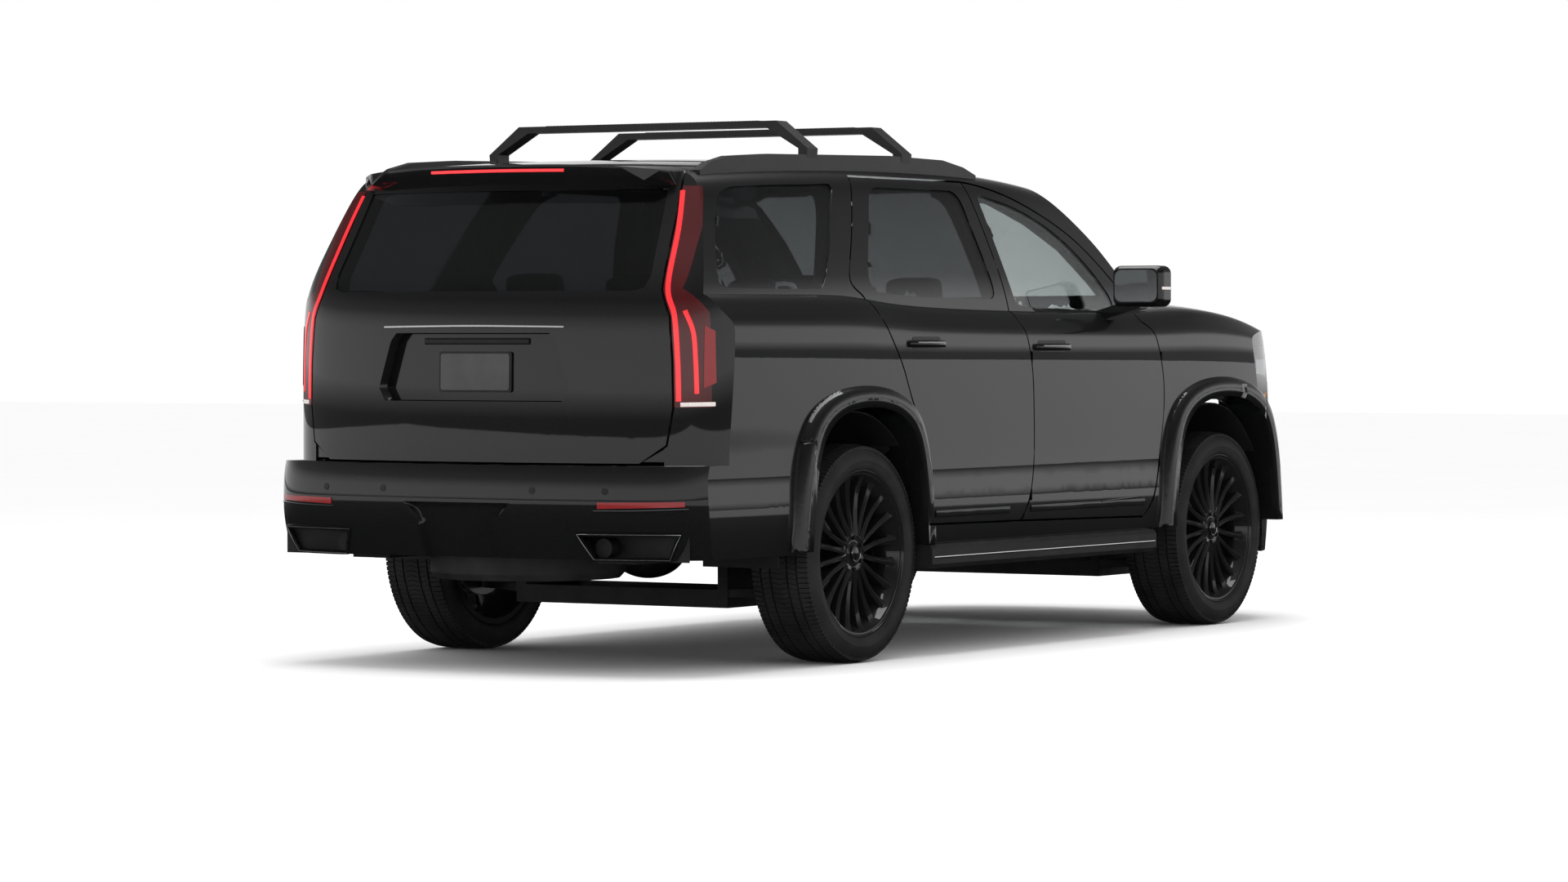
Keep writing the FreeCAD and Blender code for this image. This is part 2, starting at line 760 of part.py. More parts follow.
def door_hinges(front_share, height_shares, crossing_shares):
    """Hinges of a right-hand door on an axis that leans with its skin, and the room its edge turns in."""
    x = along(front_share) - GAP / 2 - size("hinge_setback")
    low, top = [
        Vector(x, skin_y(x, high(share)) + size("hinge_inset"), high(share)) for share in height_shares]
    axis = (top - low).normalize()
    foot_start = size("panel_wall") + size("seal_gap") - size("hinge_inset")
    depth = foot_start + size("hinge_inset") + size("pillar_wall") / 2
    pairs = [hinge(point, axis, axis.cross(FORWARD), FORWARD, depth, foot_start) for point in (low, top)]
    rooms = []
    for foot, head in crossing_shares:
        start, end = [low + axis * ((high(share) - low.z) / axis.z) for share in (foot, head)]
        proud = max(point.y - skin_y(x, point.z) for point in (start, end))
        rooms.append(turning_room(start, axis, (end - start).Length, proud, size("door_turn_degrees")))
    return [pair[0] for pair in pairs], [pair[1] for pair in pairs], rooms


front_leaves, front_slots, front_turning = door_hinges(
    FRONT_SHUT_SHARE, FRONT_HINGE_SHARES, FRONT_CROSSING_SHARES)
rear_leaves, rear_slots, rear_turning = door_hinges(
    REAR_SHUT_SHARE, REAR_HINGE_SHARES, REAR_CROSSING_SHARES)

# Pillars and frames behind the doors
FRAME_MARGIN = size("seal_gap") + GAP


def opening_prism(points):
    """The door opening in the frame behind a door: the door's outline, smaller all round."""
    middle = Vector(0, 0, 0)
    for point in points:
        middle += point
    middle = middle * (1 / len(points))
    return side_prism(outline_edges(grown(points, middle, -FRAME_MARGIN)))


front_outline = front_line + middle_line[::-1][1:] + top_line[1:-1]
rear_outline = middle_line + rear_line[::-1]
FRAME_ZONE_SHARES = [
    (-0.040, 0.755), (0.040, 0.980), (0.420, 0.975), (0.600, 0.930), (0.800, 0.740), (0.860, 0.600),
    (0.850, 0.225), (0.110, 0.225), (0.110, 0.420), (0.020, 0.640),
]
FRAME_INNER_SHARE = 0.62
frame_zone = side_prism(outline_edges(side_points(FRAME_ZONE_SHARES)))
frame_zone = frame_zone.common(box((-FAR, FAR), (-FAR, -wide(FRAME_INNER_SHARE)), (0, FAR)))
seal_zone = seal_room.common(frame_zone)
ring = seal_zone.cut([ring_room, opening_prism(front_outline), opening_prism(rear_outline)])
link = room.common(frame_zone).cut([seal_zone, front_door_prism, rear_door_prism] + door_ribbons)
frame = ring.fuse(link).cut(arches)


# Doors with their glass
glass_layer = glass_outer.cut(glass_inner)
side_glass_layer = glass_layer.common(PANE_ZONE)
for name, panel, window, slots in (
        ("door_front", front_door_panel, front_window, front_slots + rear_turning + [rear_swell]),
        ("door_rear", rear_door_panel, rear_window, rear_slots)):
    panel = biggest(panel.cut([window] + slots))
    pane = biggest(side_glass_layer.common(window))
    keep(f"{name}_right", panel)
    keep(f"{name}_left", mirrored(panel))
    keep(f"{name}_glass_right", pane)
    keep(f"{name}_glass_left", mirrored(pane))

# Seams of the body's other panels, as places in plan, in side view and from behind
HOOD_SIDE_SHARE = 0.862
HOOD_REAR_SHARES = [
    (0.862, 0.869), (0.80, 0.869), (0.70, 0.893), (0.56, 0.925), (0.40, 0.948), (0.20, 0.962), (0.0, 0.966),
]
HOOD_FRONT_HEIGHT_SHARE = 0.600
BUMPER_SEAM_SHARE = 1.118
GATE_SHARES = [
    (0.0, 0.404), (0.700, 0.404), (0.725, 0.413), (0.795, 0.439), (0.816, 0.510), (0.812, 0.600),
    (0.800, 0.680), (0.762, 0.731), (0.735, 0.850), (0.713, 0.940), (0.700, 0.975), (0.680, 1.06),
    (0.0, 1.06),
]
GATE_TOP_SHARE = -0.262
LAMP_SHARES = [
    (0.706, 0.932), (0.735, 0.850), (0.762, 0.731), (0.800, 0.680), (0.812, 0.600), (0.816, 0.510),
    (0.935, 0.510), (1.040, 0.520), (1.040, 0.690), (0.962, 0.728), (0.905, 0.745), (0.790, 0.932),
]
LAMP_SIDE_SHARES = [
    (-0.329, 0.50), (-0.329, 0.690), (-0.345, 0.735), (-0.272, 0.932), (-0.55, 0.932), (-0.55, 0.50),
]
REAR_GLASS_SHARES = [
    (0.0, 0.731), (0.660, 0.731), (0.700, 0.737), (0.712, 0.760), (0.690, 0.850), (0.672, 0.926),
    (0.0, 0.926),
]
BUMPER_FRONT_SHARE = -0.14
BUMPER_CORNER_SHARE = 0.79
REAR_BUMPER_SIDE_SHARE = 0.439
RECESS_SHARES = [(0.0, 0.520), (0.40, 0.520), (0.43, 0.545), (0.372, 0.636), (0.345, 0.651), (0.0, 0.651)]


def scaled_outline(shares):
    """A (y, z) outline symmetric about the middle, from shares of half width and height."""
    return both_sides([(wide(y), high(z)) for y, z in shares])


def side_outline(shares):
    """The (y, z) outline of one right-hand place."""
    return [(-wide(y), high(z)) for y, z in shares]


def plan_prism(points, z_from, z_to):
    """The solid over a closed outline of (x, y) points between two heights."""
    corners = [Vector(x, y, z_from) for x, y in points]
    return Part.Face(Part.makePolygon(corners + corners[:1])).extrude(Vector(0, 0, z_to - z_from))


def inflated(outline, distance):
    """A (y, z) outline that starts and ends on the middle line, grown by a distance on its right half."""
    points = [Vector(y, 0, z) for y, z in outline]
    moved = [outline[0]]
    for index in range(1, len(points) - 1):
        before = (points[index] - points[index - 1]).normalize()
        after = (points[index + 1] - points[index]).normalize()
        normal = Vector(before.z + after.z, 0, -(before.x + after.x)).normalize()
        moved.append((points[index].x + normal.x * distance, points[index].z + normal.z * distance))
    moved.append(outline[-1])
    start_lift = moved[1][1] - outline[1][1]
    end_lift = moved[-2][1] - outline[-2][1]
    moved[0] = (0, outline[0][1] + start_lift)
    moved[-1] = (0, outline[-1][1] + end_lift)
    return moved


gate_outline = [(wide(y), high(z)) for y, z in GATE_SHARES]
gate_prism = rear_prism(both_sides(gate_outline), -FAR, along(GATE_TOP_SHARE))
gate_room = rear_prism(both_sides(inflated(gate_outline, GAP)), -FAR, along(GATE_TOP_SHARE) + GAP)
lamp_side = [Vector(along(x), -FAR, high(z)) for x, z in LAMP_SIDE_SHARES]
lamp_prism = rear_prism(side_outline(LAMP_SHARES), -FAR, along(BUMPER_FRONT_SHARE)).common(
    Part.Face(Part.makePolygon(lamp_side + lamp_side[:1])).extrude(Vector(0, FAR, 0)))
rear_window_prism = rear_prism(scaled_outline(REAR_GLASS_SHARES), -FAR, along(BUMPER_FRONT_SHARE))
lower_back = box((-FAR, along(BUMPER_FRONT_SHARE)), (-FAR, FAR), (0, size("bumper_top")))
side_back = box(
    (-FAR, along(BUMPER_FRONT_SHARE)), (-FAR, -wide(BUMPER_CORNER_SHARE)), (0, high(REAR_BUMPER_SIDE_SHARE)))

hood_points = [(along(x), -wide(y)) for y, x in HOOD_REAR_SHARES]
hood_points = hood_points + [(x, -y) for x, y in reversed(hood_points[:-1])]
hood_front = [(FAR / 2, wide(HOOD_SIDE_SHARE)), (FAR / 2, -wide(HOOD_SIDE_SHARE))]
hood_prism = plan_prism(hood_points + hood_front, high(HOOD_FRONT_HEIGHT_SHARE), FAR)
COWL_GAP_SHARE = 1.5
hood_back = [(x - COWL_GAP_SHARE * GAP, y) for x, y in hood_points]
for end in (0, -1):
    hood_back[end] = (hood_back[end][0], hood_back[end][1] + math.copysign(GAP, hood_back[end][1]))
hood_room = plan_prism(
    hood_back + [(x, y + math.copysign(GAP, y)) for x, y in hood_front],
    high(HOOD_FRONT_HEIGHT_SHARE) - GAP, FAR)

gate_full = biggest(plain_shell.common(gate_prism))
hood_full = biggest(plain_shell.common(hood_prism))

# Windscreen, quarter glass and rear glass
SCREEN_SHARES = [
    (0.0, 0.737), (0.55, 0.737), (0.775, 0.739), (0.765, 0.780), (0.735, 0.845), (0.705, 0.905),
    (0.680, 0.945), (0.620, 0.956), (0.0, 0.962),
]
SCREEN_REAR_SHARE = 0.48
SCREEN_FRONT_SHARE = 1.10
screen_prism = rear_prism(scaled_outline(SCREEN_SHARES), along(SCREEN_REAR_SHARE), along(SCREEN_FRONT_SHARE))
keep("windshield", biggest(glass_layer.common(screen_prism)))
quarter_pane = biggest(side_glass_layer.common(quarter_window))
keep("quarter_glass", [quarter_pane, mirrored(quarter_pane)])
keep("rear_glass", biggest(glass_layer.common(rear_window_prism)))

# Tailgate with its spoiler, window and plate recess
SPOILER_SHARES = [(-0.262, 0.940), (-0.262, 1.10), (-0.360, 1.10), (-0.345, 0.952), (-0.300, 0.932)]
SPOILER_PLAN_SHARES = [
    (-0.262, 0.698), (-0.299, 0.698), (-0.322, 0.62), (-0.336, 0.42), (-0.343, 0.20), (-0.343, 0.0),
]
SPOILER_HALF_SHARE = 0.72
SPOILER_ROOT_SHARE = 0.50
RECESS_DEPTH_SHARE = 0.55
spoiler_side = [Vector(along(x), -wide(SPOILER_HALF_SHARE), high(z)) for x, z in SPOILER_SHARES]
spoiler_across = Vector(0, 2 * wide(SPOILER_HALF_SHARE), 0)
spoiler_plan = [(along(x), -wide(y)) for x, y in SPOILER_PLAN_SHARES]
spoiler_plan += [(x, -y) for x, y in reversed(spoiler_plan[:-1])]
spoiler = Part.Face(Part.makePolygon(spoiler_side + spoiler_side[:1])).extrude(spoiler_across)
spoiler = cabin(0, 0).common(spoiler)
spoiler = spoiler.common(plan_prism(spoiler_plan, SILL, FAR))
spoiler = spoiler.cut(tail(SPOILER_ROOT_SHARE * size("tailgate_wall")))
recess = tail(-size("tailgate_wall")).common(rear_prism(scaled_outline(RECESS_SHARES), -FAR, 0))
recess = recess.cut(tail(RECESS_DEPTH_SHARE * size("tailgate_wall")))
gate_hinge_x = along(GATE_TOP_SHARE) - size("gate_hinge_setback")
gate_inset = size("gate_hinge_inset")
hood_inset = size("hood_hinge_inset")
lid_depth = size("roof_wall") + size("seal_gap")
lid_foot = lid_depth - size("hinge_leaf_half") * 2


RISER_SHARES = (0.55, 1)


def riser(axis_x, y, forward, inset):
    """The block between a lid hinge's foot and the panel above it."""
    ends = [axis_x + forward * size("hinge_foot_length") * share for share in RISER_SHARES]
    half = size("hinge_leaf_height") / 2
    foot_z = skin_z(axis_x, y) - inset - lid_depth
    return room.common(box(ends, (y - half, y + half), (foot_z, foot_z + 3 * lid_depth)))


GATE_HINGE_SHARES = (-0.42, 0.42)
gate_hinge_z = skin_z(gate_hinge_x, wide(GATE_HINGE_SHARES[1])) - gate_inset
gate_pairs = [
    hinge(Vector(gate_hinge_x, wide(y), gate_hinge_z), LEFT, -UP, FORWARD, lid_depth, lid_foot)
    for y in GATE_HINGE_SHARES]
gate_risers = [riser(gate_hinge_x, wide(y), 1, gate_inset) for y in GATE_HINGE_SHARES]
gate = gate_full.cut([rear_window_prism, recess]).fuse(spoiler).cut([pair[1] for pair in gate_pairs])
keep("tailgate", biggest(gate))

# Hood
HOOD_HINGE_SHARE = 0.83
# Where the hood's rear line crosses its hinge axis on the right
HOOD_CROSSING_SHARES = [0.760, 0.805]
hood_hinge_x = hood_points[0][0] + size("hood_hinge_setback")
hood_hinge_y = wide(HOOD_HINGE_SHARE)
hood_hinge_z = skin_z(hood_hinge_x, hood_hinge_y) - hood_inset
hood_crossing = [-wide(share) for share in HOOD_CROSSING_SHARES]
hood_proud = max(skin_z(hood_hinge_x, y) - hood_hinge_z for y in hood_crossing)
hood_turning = turning_room(
    Vector(hood_hinge_x, hood_crossing[1], hood_hinge_z), LEFT, hood_crossing[0] - hood_crossing[1],
    hood_proud, size("hood_turn_degrees"))
hood_pairs = [
    hinge(Vector(hood_hinge_x, y, hood_hinge_z), -LEFT, -UP, -FORWARD, lid_depth, lid_foot)
    for y in (-hood_hinge_y, hood_hinge_y)]
keep("hood", biggest(hood_full.cut([pair[1] for pair in hood_pairs])))

# Front end: bumper, grille and headlamps
FRONT_FOOT_SHARE = 0.155
FRONT_END = box((along(BUMPER_SEAM_SHARE), FAR), (-FAR, FAR), (high(FRONT_FOOT_SHARE), FAR))
HEADLAMP_SHARES = [
    (0.600, 0.556), (0.600, 0.590), (0.874, 0.592), (0.900, 0.622), (1.060, 0.622), (1.060, 0.575),
    (0.930, 0.553),
]
GRILLE_SHARES = [
    (0.0, 0.300), (0.50, 0.300), (0.585, 0.350), (0.560, 0.560), (0.520, 0.588), (0.0, 0.588),
]
GRILLE_OPENING_SHARES = [(y * 0.95, 0.450 + (z - 0.450) * 0.93) for y, z in GRILLE_SHARES]
GRILLE_ROW_SHARES = [0.328 + 0.029 * row for row in range(9)]
GRILLE_COLUMN_SHARES = [-0.40, -0.20, 0.0, 0.20, 0.40]
GRILLE_FRONT_SHARE = 0.35
GRILLE_BACK_SHARE = 0.85
SLAT_SHARE = 0.10
headlamp_prism = rear_prism(side_outline(HEADLAMP_SHARES), along(BUMPER_SEAM_SHARE), FAR)
grille_prism = rear_prism(scaled_outline(GRILLE_SHARES), along(SCREEN_FRONT_SHARE), FAR)
front_shell = plain_shell.common(FRONT_END).fuse(
    [front_flare.common(FRONT_END), mirrored(front_flare).common(FRONT_END)])
front_shell = front_shell.cut([hood_room, grille_prism] + arches + left_arches)
keep("front_bumper", biggest(front_shell.cut([headlamp_prism, mirrored(headlamp_prism)])))
headlamp = biggest(front_shell.common(headlamp_prism))
keep("headlamps", [headlamp, mirrored(headlamp)])
grille_opening = rear_prism(scaled_outline(GRILLE_OPENING_SHARES), 0, FAR)
slat = SLAT_SHARE * size("bumper_wall")
grille_bars = [
    box((0, FAR), (-FAR, FAR), (high(share) - slat, high(share) + slat)) for share in GRILLE_ROW_SHARES]
grille_bars += [
    box((0, FAR), (wide(share) - slat, wide(share) + slat), (0, FAR)) for share in GRILLE_COLUMN_SHARES]
network = grille_prism.cut(grille_opening).fuse([grille_prism.common(bar) for bar in grille_bars])
grille_sheet = nose(GRILLE_FRONT_SHARE * size("bumper_wall")).common(grille_prism)
grille_sheet = grille_sheet.cut(nose(GRILLE_BACK_SHARE * size("bumper_wall")))
keep("grille", biggest(grille_sheet.common(network)))

# Rear bumper
BUMPER_BEND_SHARE = 0.85
BUMPER_UP_SHARES = [
    (0.10, 0.900), (0.19, 0.930), (0.24, 0.975), (0.29, 0.998), (0.34, 1.0), (0.39, 0.994), (0.42, 0.975),
    (0.50, 0.95),
]


def bumper_face(inset):
    """Everything ahead of the rear bumper's face."""
    rows = []
    for z, back in BUMPER_UP_SHARES:
        half = [
            (wide(y), REAR_AXLE_X - size("bumper_reach") * (back - forward * BUMPER_BEND_SHARE) + inset)
            for y, forward in TAIL_ACROSS_SHARES]
        right = [Vector(x, -y, high(z)) for y, x in reversed(half)]
        left = [Vector(x, y, high(z)) for y, x in half[1:]]
        rows.append(right + left)
    return slab(rows, Vector(FAR, 0, 0))


BUMPER_FOOT_SHARE = 0.222
LEDGE_SHARE = 0.25
OUTLET_SHARES = [(0.515, 0.270), (0.885, 0.270), (0.835, 0.2225), (0.560, 0.2225)]
OUTLET_FRONT_SHARE = -0.30
VALANCE_SHARES = [(0.0, 0.20), (0.17, 0.20), (0.17, 0.290), (0.24, 0.328), (0.0, 0.328)]
VALANCE_DEPTH_SHARE = 0.50
TRUNK_HALF_SHARE = 0.88
BUMPER_BACK = along(BUMPER_FRONT_SHARE)
BUMPER_FOOT = high(BUMPER_FOOT_SHARE)
bumper_wall = size("bumper_wall")
bumper_lid = size("bumper_top") - GAP
ledge = LEDGE_SHARE * bumper_wall
bumper_end = lower_body(0, 0).common(bumper_face(0))
bumper_room = lower_body(size("panel_wall"), 0).common(bumper_face(bumper_wall))
bumper = bumper_end.common(box((-FAR, BUMPER_BACK), (-FAR, FAR), (BUMPER_FOOT, bumper_lid)))
bumper = bumper.cut(bumper_room.common(box((-FAR, FAR), (-FAR, FAR), (0, bumper_lid - ledge))))
corner = flared_half.common(side_back).common(box((-FAR, FAR), (-FAR, FAR), (BUMPER_FOOT, FAR)))
corner = corner.cut(gate_room)
flare_end = rear_flare.common(lower_back)
bumper = bumper.fuse([corner, mirrored(corner), flare_end, mirrored(flare_end)])
outlet = rear_prism(side_outline(OUTLET_SHARES), -FAR, along(OUTLET_FRONT_SHARE))
valance = rear_prism(scaled_outline(VALANCE_SHARES), -FAR, 0)
valance = valance.common(bumper_face(-bumper_wall)).cut(bumper_face(VALANCE_DEPTH_SHARE * bumper_wall))
bumper = bumper.cut(arches + left_arches + [outlet, mirrored(outlet), valance])
trunk_half = wide(TRUNK_HALF_SHARE)
trunk_side = box((-FAR, FAR), (-trunk_half, trunk_half), (bumper_lid - 2 * ledge, size("bumper_top")))
keep("rear_bumper", biggest(bumper.cut(tail(size("tailgate_wall")).common(trunk_side))))

# Tail lamps
lamp = biggest(right_shell.common(lamp_prism).cut([gate_room, side_back, quarter_window]))
keep("tail_lamps", [lamp, mirrored(lamp)])

# Body sides, fenders, roof and cowl
FENDER_SHARES = [
    (0.700, 0.225), (0.745, 0.400), (0.745, 0.640), (0.762, 0.677), (0.790, 0.693), (0.838, 0.712),
    (0.850, 0.800), (BUMPER_SEAM_SHARE + 0.1, 0.800), (BUMPER_SEAM_SHARE + 0.1, 0.225),
]
FENDER_INNER_SHARE = 0.80
PANEL_FRONT_SHARE = 0.75
ROOF_SIDE_SHARE = 0.665
ROOF_FOOT_SHARE = 0.93
COWL_TOP_SHARE = 0.745
fender_prism = side_prism(outline_edges(side_points(FENDER_SHARES))).common(
    box((-FAR, along(BUMPER_SEAM_SHARE)), (-FAR, -wide(FENDER_INNER_SHARE)), (SILL, FAR)))
side_cuts = [front_door_prism, rear_door_prism, front_swell] + front_turning + door_ribbons + arches + [
    hood_turning, gate_room, hood_room, lamp_prism, lower_back, side_back, quarter_window, screen_prism,
    BELOW_SILL, FRONT_END]
flank = flared_half.cut(side_cuts)
hood_riser = riser(hood_hinge_x, -hood_hinge_y, -1, hood_inset)
fender = biggest(flank.common(fender_prism).fuse([hood_pairs[0][0], hood_riser]))
keep("front_fenders", [fender, mirrored(fender)])
panel_front = along(PANEL_FRONT_SHARE)
roof_zone = box((-FAR, panel_front), (-wide(ROOF_SIDE_SHARE), FAR), (high(ROOF_FOOT_SHARE), FAR))
cowl_zone = box((panel_front, FAR), (-wide(FENDER_INNER_SHARE), FAR), (0, high(COWL_TOP_SHARE)))
side = flank.cut([fender_prism, roof_zone, cowl_zone]).fuse(
    [frame.cut([hood_room, gate_room, screen_prism])] + front_leaves + rear_leaves)
side = biggest(side)
keep("bodyside_right", side)
keep("bodyside_left", mirrored(side))
half_roof = biggest(flank.common(roof_zone))
roof = half_roof.fuse([mirrored(half_roof)] + [pair[0] for pair in gate_pairs] + gate_risers)
keep("roof_panel", biggest(roof))
half_cowl = flank.common(cowl_zone)
cowl = half_cowl.fuse(mirrored(half_cowl))
keep("cowl", biggest(cowl))


# Pieces whose sizes are bound to the sheet
def cell(text):
    """An expression in size names, with each name pointing at its cell."""
    return re.sub(r"[a-z]+(?:_[a-z]+)+", lambda match: "Sizes." + match.group(), text)


def bound(kind, name, **expressions):
    """A document object whose properties follow expressions in the sheet's sizes."""
    item = doc.addObject(kind, name)
    for key, text in expressions.items():
        item.setExpression(key.replace("__", "."), cell(text))
    return item


def block(name, length, width, height, x, y, z):
    """A box bound to the sheet, centred on x and y, from its foot at z."""
    return bound(
        "Part::Box", name, Length=length, Width=width, Height=height,
        Placement__Base__x=f"{x} - ({length}) / 2", Placement__Base__y=f"{y} - ({width}) / 2",
        Placement__Base__z=z)


def rod(name, radius, height, x, y, z, axis=Vector(0, 0, 1)):
    """A cylinder bound to the sheet, from its foot along an axis."""
    item = bound("Part::Cylinder", name, Radius=radius, Height=height)
    item.Placement.Rotation = FreeCAD.Rotation(Vector(0, 0, 1), axis)
    for key, text in (("x", x), ("y", y), ("z", z)):
        item.setExpression(f"Placement.Base.{key}", cell(text))
    return item


def joined(name, items):
    """The union of several bound items."""
    fused = doc.addObject("Part::MultiFuse", name)
    fused.Shapes = items
    return fused


def less(name, base, tool):
    """One bound item cut by another."""
    cut = doc.addObject("Part::Cut", name)
    cut.Base = base
    cut.Tool = tool
    return cut


def twin(name, item):
    """The left-hand twin of a right-hand item."""
    other = doc.addObject("Part::Mirroring", name)
    other.Source = item
    other.Normal = Vector(0, 1, 0)
    return other


def keep_bound(item, name):
    """Marks a bound item as the piece of a node."""
    item.Label = name
    PIECES.append(item)
    return item


def plane_of(body, role):
    """One of a body's own origin planes."""
    return next(item for item in body.Origin.OriginFeatures if item.Role == role)


def profile(body, name, role, outlines, offset=None):
    """A sketch on one of a body's planes, with a closed run of bound points for each outline."""
    sketch = body.newObject("Sketcher::SketchObject", name)
    sketch.AttachmentSupport = [(plane_of(body, role), "")]
    sketch.MapMode = "FlatFace"
    if offset:
        sketch.setExpression("AttachmentOffset.Base.z", cell(offset))
    first = 0
    for outline in outlines:
        values = [[float(sheet.evalExpression(cell(text))) for text in pair] for pair in outline]
        count = len(values)
        for index in range(count):
            start = Vector(*values[index], 0)
            end = Vector(*values[(index + 1) % count], 0)
            sketch.addGeometry(Part.LineSegment(start, end))
        for index in range(count):
            sketch.addConstraint(
                Sketcher.Constraint("Coincident", first + index, 2, first + (index + 1) % count, 1))
        for index, pair in enumerate(outline):
            for kind, axis, text, value in zip(("DistanceX", "DistanceY"), (-2, -1), pair, values[index]):
                if value == 0:
                    sketch.addConstraint(Sketcher.Constraint("PointOnObject", first + index, 1, axis))
                else:
                    number = sketch.addConstraint(Sketcher.Constraint(kind, first + index, 1, value))
                    sketch.setExpression(f"Constraints[{number}]", cell(text))
        first += count
    return sketch


def turned(body, name, outline):
    """A full turn of one outline about the sketch's horizontal axis."""
    sketch = profile(body, name + "_outline", "XY_Plane", [outline])
    feature = body.newObject("PartDesign::Revolution", name)
    feature.Profile = sketch
    feature.ReferenceAxis = (sketch, ["H_Axis"])
    feature.Angle = 360
    return feature


def padded(body, name, role, outlines, length, offset=None, both=False):
    """A pad of one or more outlines."""
    sketch = profile(body, name + "_outline", role, outlines, offset)
    feature = body.newObject("PartDesign::Pad", name)
    feature.Profile = sketch
    feature.setExpression("Length", cell(length))
    feature.Midplane = both
    return feature


def placed_body(name, x, y, z, rotation=None):
    """A PartDesign body with its origin bound to a place."""
    body = doc.addObject("PartDesign::Body", name)
    if rotation:
        body.Placement.Rotation = rotation
    for key, text in (("x", x), ("y", y), ("z", z)):
        body.setExpression(f"Placement.Base.{key}", cell(text))
    return body


# Wheels: the outer face looks along +X of each wheel's own frame
SPOKE_COUNT = 10
REAR_X = "(rear_overhang - overall_length / 2)"
FRONT_X = f"({REAR_X} + wheel_base)"
AXLE_Z = "(tyre_diameter / 2)"
WHEEL_Y = "(wheel_track / 2)"
CORNERS = {
    "rear_right": (REAR_X, -1), "rear_left": (REAR_X, 1),
    "front_right": (FRONT_X, -1), "front_left": (FRONT_X, 1),
}


def wheel_body(name, corner):
    """A body placed at one wheel's centre, its X axis pointing outwards."""
    x, side = CORNERS[corner]
    return placed_body(
        name, x, f"{side} * {WHEEL_Y}", AXLE_Z, FreeCAD.Rotation(Vector(0, 0, 1), 90 * side))


def add_tyre(corner):
    """A tubeless tyre, open towards the rim between its beads."""
    body = wheel_body("tyre_" + corner, corner)
    bead = "(rim_diameter / 2 - rim_lip)"
    edge = "(rim_width / 2 - rim_flange)"
    tread = "tyre_diameter / 2"
    middle = "(rim_diameter / 4 + tyre_diameter / 4)"
    wall = "tyre_wall"
    turned(body, "carcass_" + corner, [
        (f"0 - {edge}", bead), (f"0 - {edge}", "rim_diameter / 2"), ("0 - tyre_width * 0.5", middle),
        ("0 - tyre_width * 0.485", f"{tread} - tyre_sidewall * 0.22"),
        ("0 - tyre_width * 0.44", f"{tread} - tyre_sidewall * 0.05"), ("0 - tyre_width * 0.34", tread),
        ("tyre_width * 0.34", tread), ("tyre_width * 0.44", f"{tread} - tyre_sidewall * 0.05"),
        ("tyre_width * 0.485", f"{tread} - tyre_sidewall * 0.22"),
        ("tyre_width * 0.5", middle), (edge, "rim_diameter / 2"), (edge, bead),
        (f"{edge} - {wall}", bead), (f"tyre_width * 0.5 - {wall}", middle),
        (f"tyre_width * 0.44 - {wall}", f"{tread} - {wall} * 1.5"),
        (f"0 - tyre_width * 0.44 + {wall}", f"{tread} - {wall} * 1.5"),
        (f"0 - tyre_width * 0.5 + {wall}", middle), (f"0 - {edge} + {wall}", bead),
    ])
    keep_bound(body, "tyre_" + corner)


def add_rim(corner):
    """A cast wheel with twin spokes, and the brake disc that its bolts hold to it."""
    body = wheel_body("wheel_" + corner, corner)
    disc_out = "(0 - disc_offset)"
    disc_in = "(0 - disc_offset - disc_thickness)"
    turned(body, "hub_" + corner, [
        ("spoke_face", "0"), ("spoke_face", "hub_cap_radius"), ("spoke_face - hub_step", "hub_diameter / 2"),
        (disc_out, "hub_diameter / 2"), (disc_out, "disc_diameter / 2"), (disc_in, "disc_diameter / 2"),
        (disc_in, "hub_bore / 2"),
        ("spoke_face - spoke_depth", "hub_bore / 2"), ("spoke_face - spoke_depth", "0"),
    ])
    inner = "(hub_diameter / 2 - rim_wall)"
    seat = "(rim_diameter / 2 - rim_lip)"
    outer_end = f"({seat} - rim_wall / 2)"
    outlines = []
    for sign in ("", "0 - "):
        outlines.append([
            (f"{sign}spoke_width * 0.10", inner), (f"{sign}spoke_width * 0.60", inner),
            (f"{sign}spoke_spread", outer_end), (f"{sign}(spoke_spread - spoke_width * 0.62)", outer_end)])
    spoke = padded(
        body, "spokes_" + corner, "YZ_Plane", outlines, "spoke_depth", "spoke_face - spoke_depth - hub_step")
    pattern = body.newObject("PartDesign::PolarPattern", "spoke_ring_" + corner)
    pattern.Originals = [spoke]
    pattern.Axis = (spoke.Profile[0], ["N_Axis"])
    pattern.Angle = 360
    pattern.Occurrences = SPOKE_COUNT
    body.Tip = pattern
    edge = "rim_width / 2"
    turned(body, "barrel_" + corner, [
        (f"0 - {edge}", f"{seat} - rim_wall"), (f"0 - {edge}", "rim_diameter / 2"),
        (f"0 - {edge} + rim_flange", "rim_diameter / 2"), (f"0 - {edge} + rim_flange", seat),
        (f"{edge} - rim_flange", seat), (f"{edge} - rim_flange", "rim_diameter / 2"),
        (edge, "rim_diameter / 2"), (edge, f"{seat} - rim_wall"),
    ])
    keep_bound(body, "wheel_" + corner)


for corner in CORNERS:
    add_tyre(corner)
    add_rim(corner)

# Hub carriers: spindle, upright plate and brake caliper
PLATE_Y = "(wheel_track / 2 - disc_offset - disc_thickness - caliper_gap - knuckle_thickness / 2)"
PIN_FOOT = "(tyre_diameter / 2 - knuckle_height / 2)"
PIN_HEAD = "(tyre_diameter / 2 + knuckle_height / 2)"


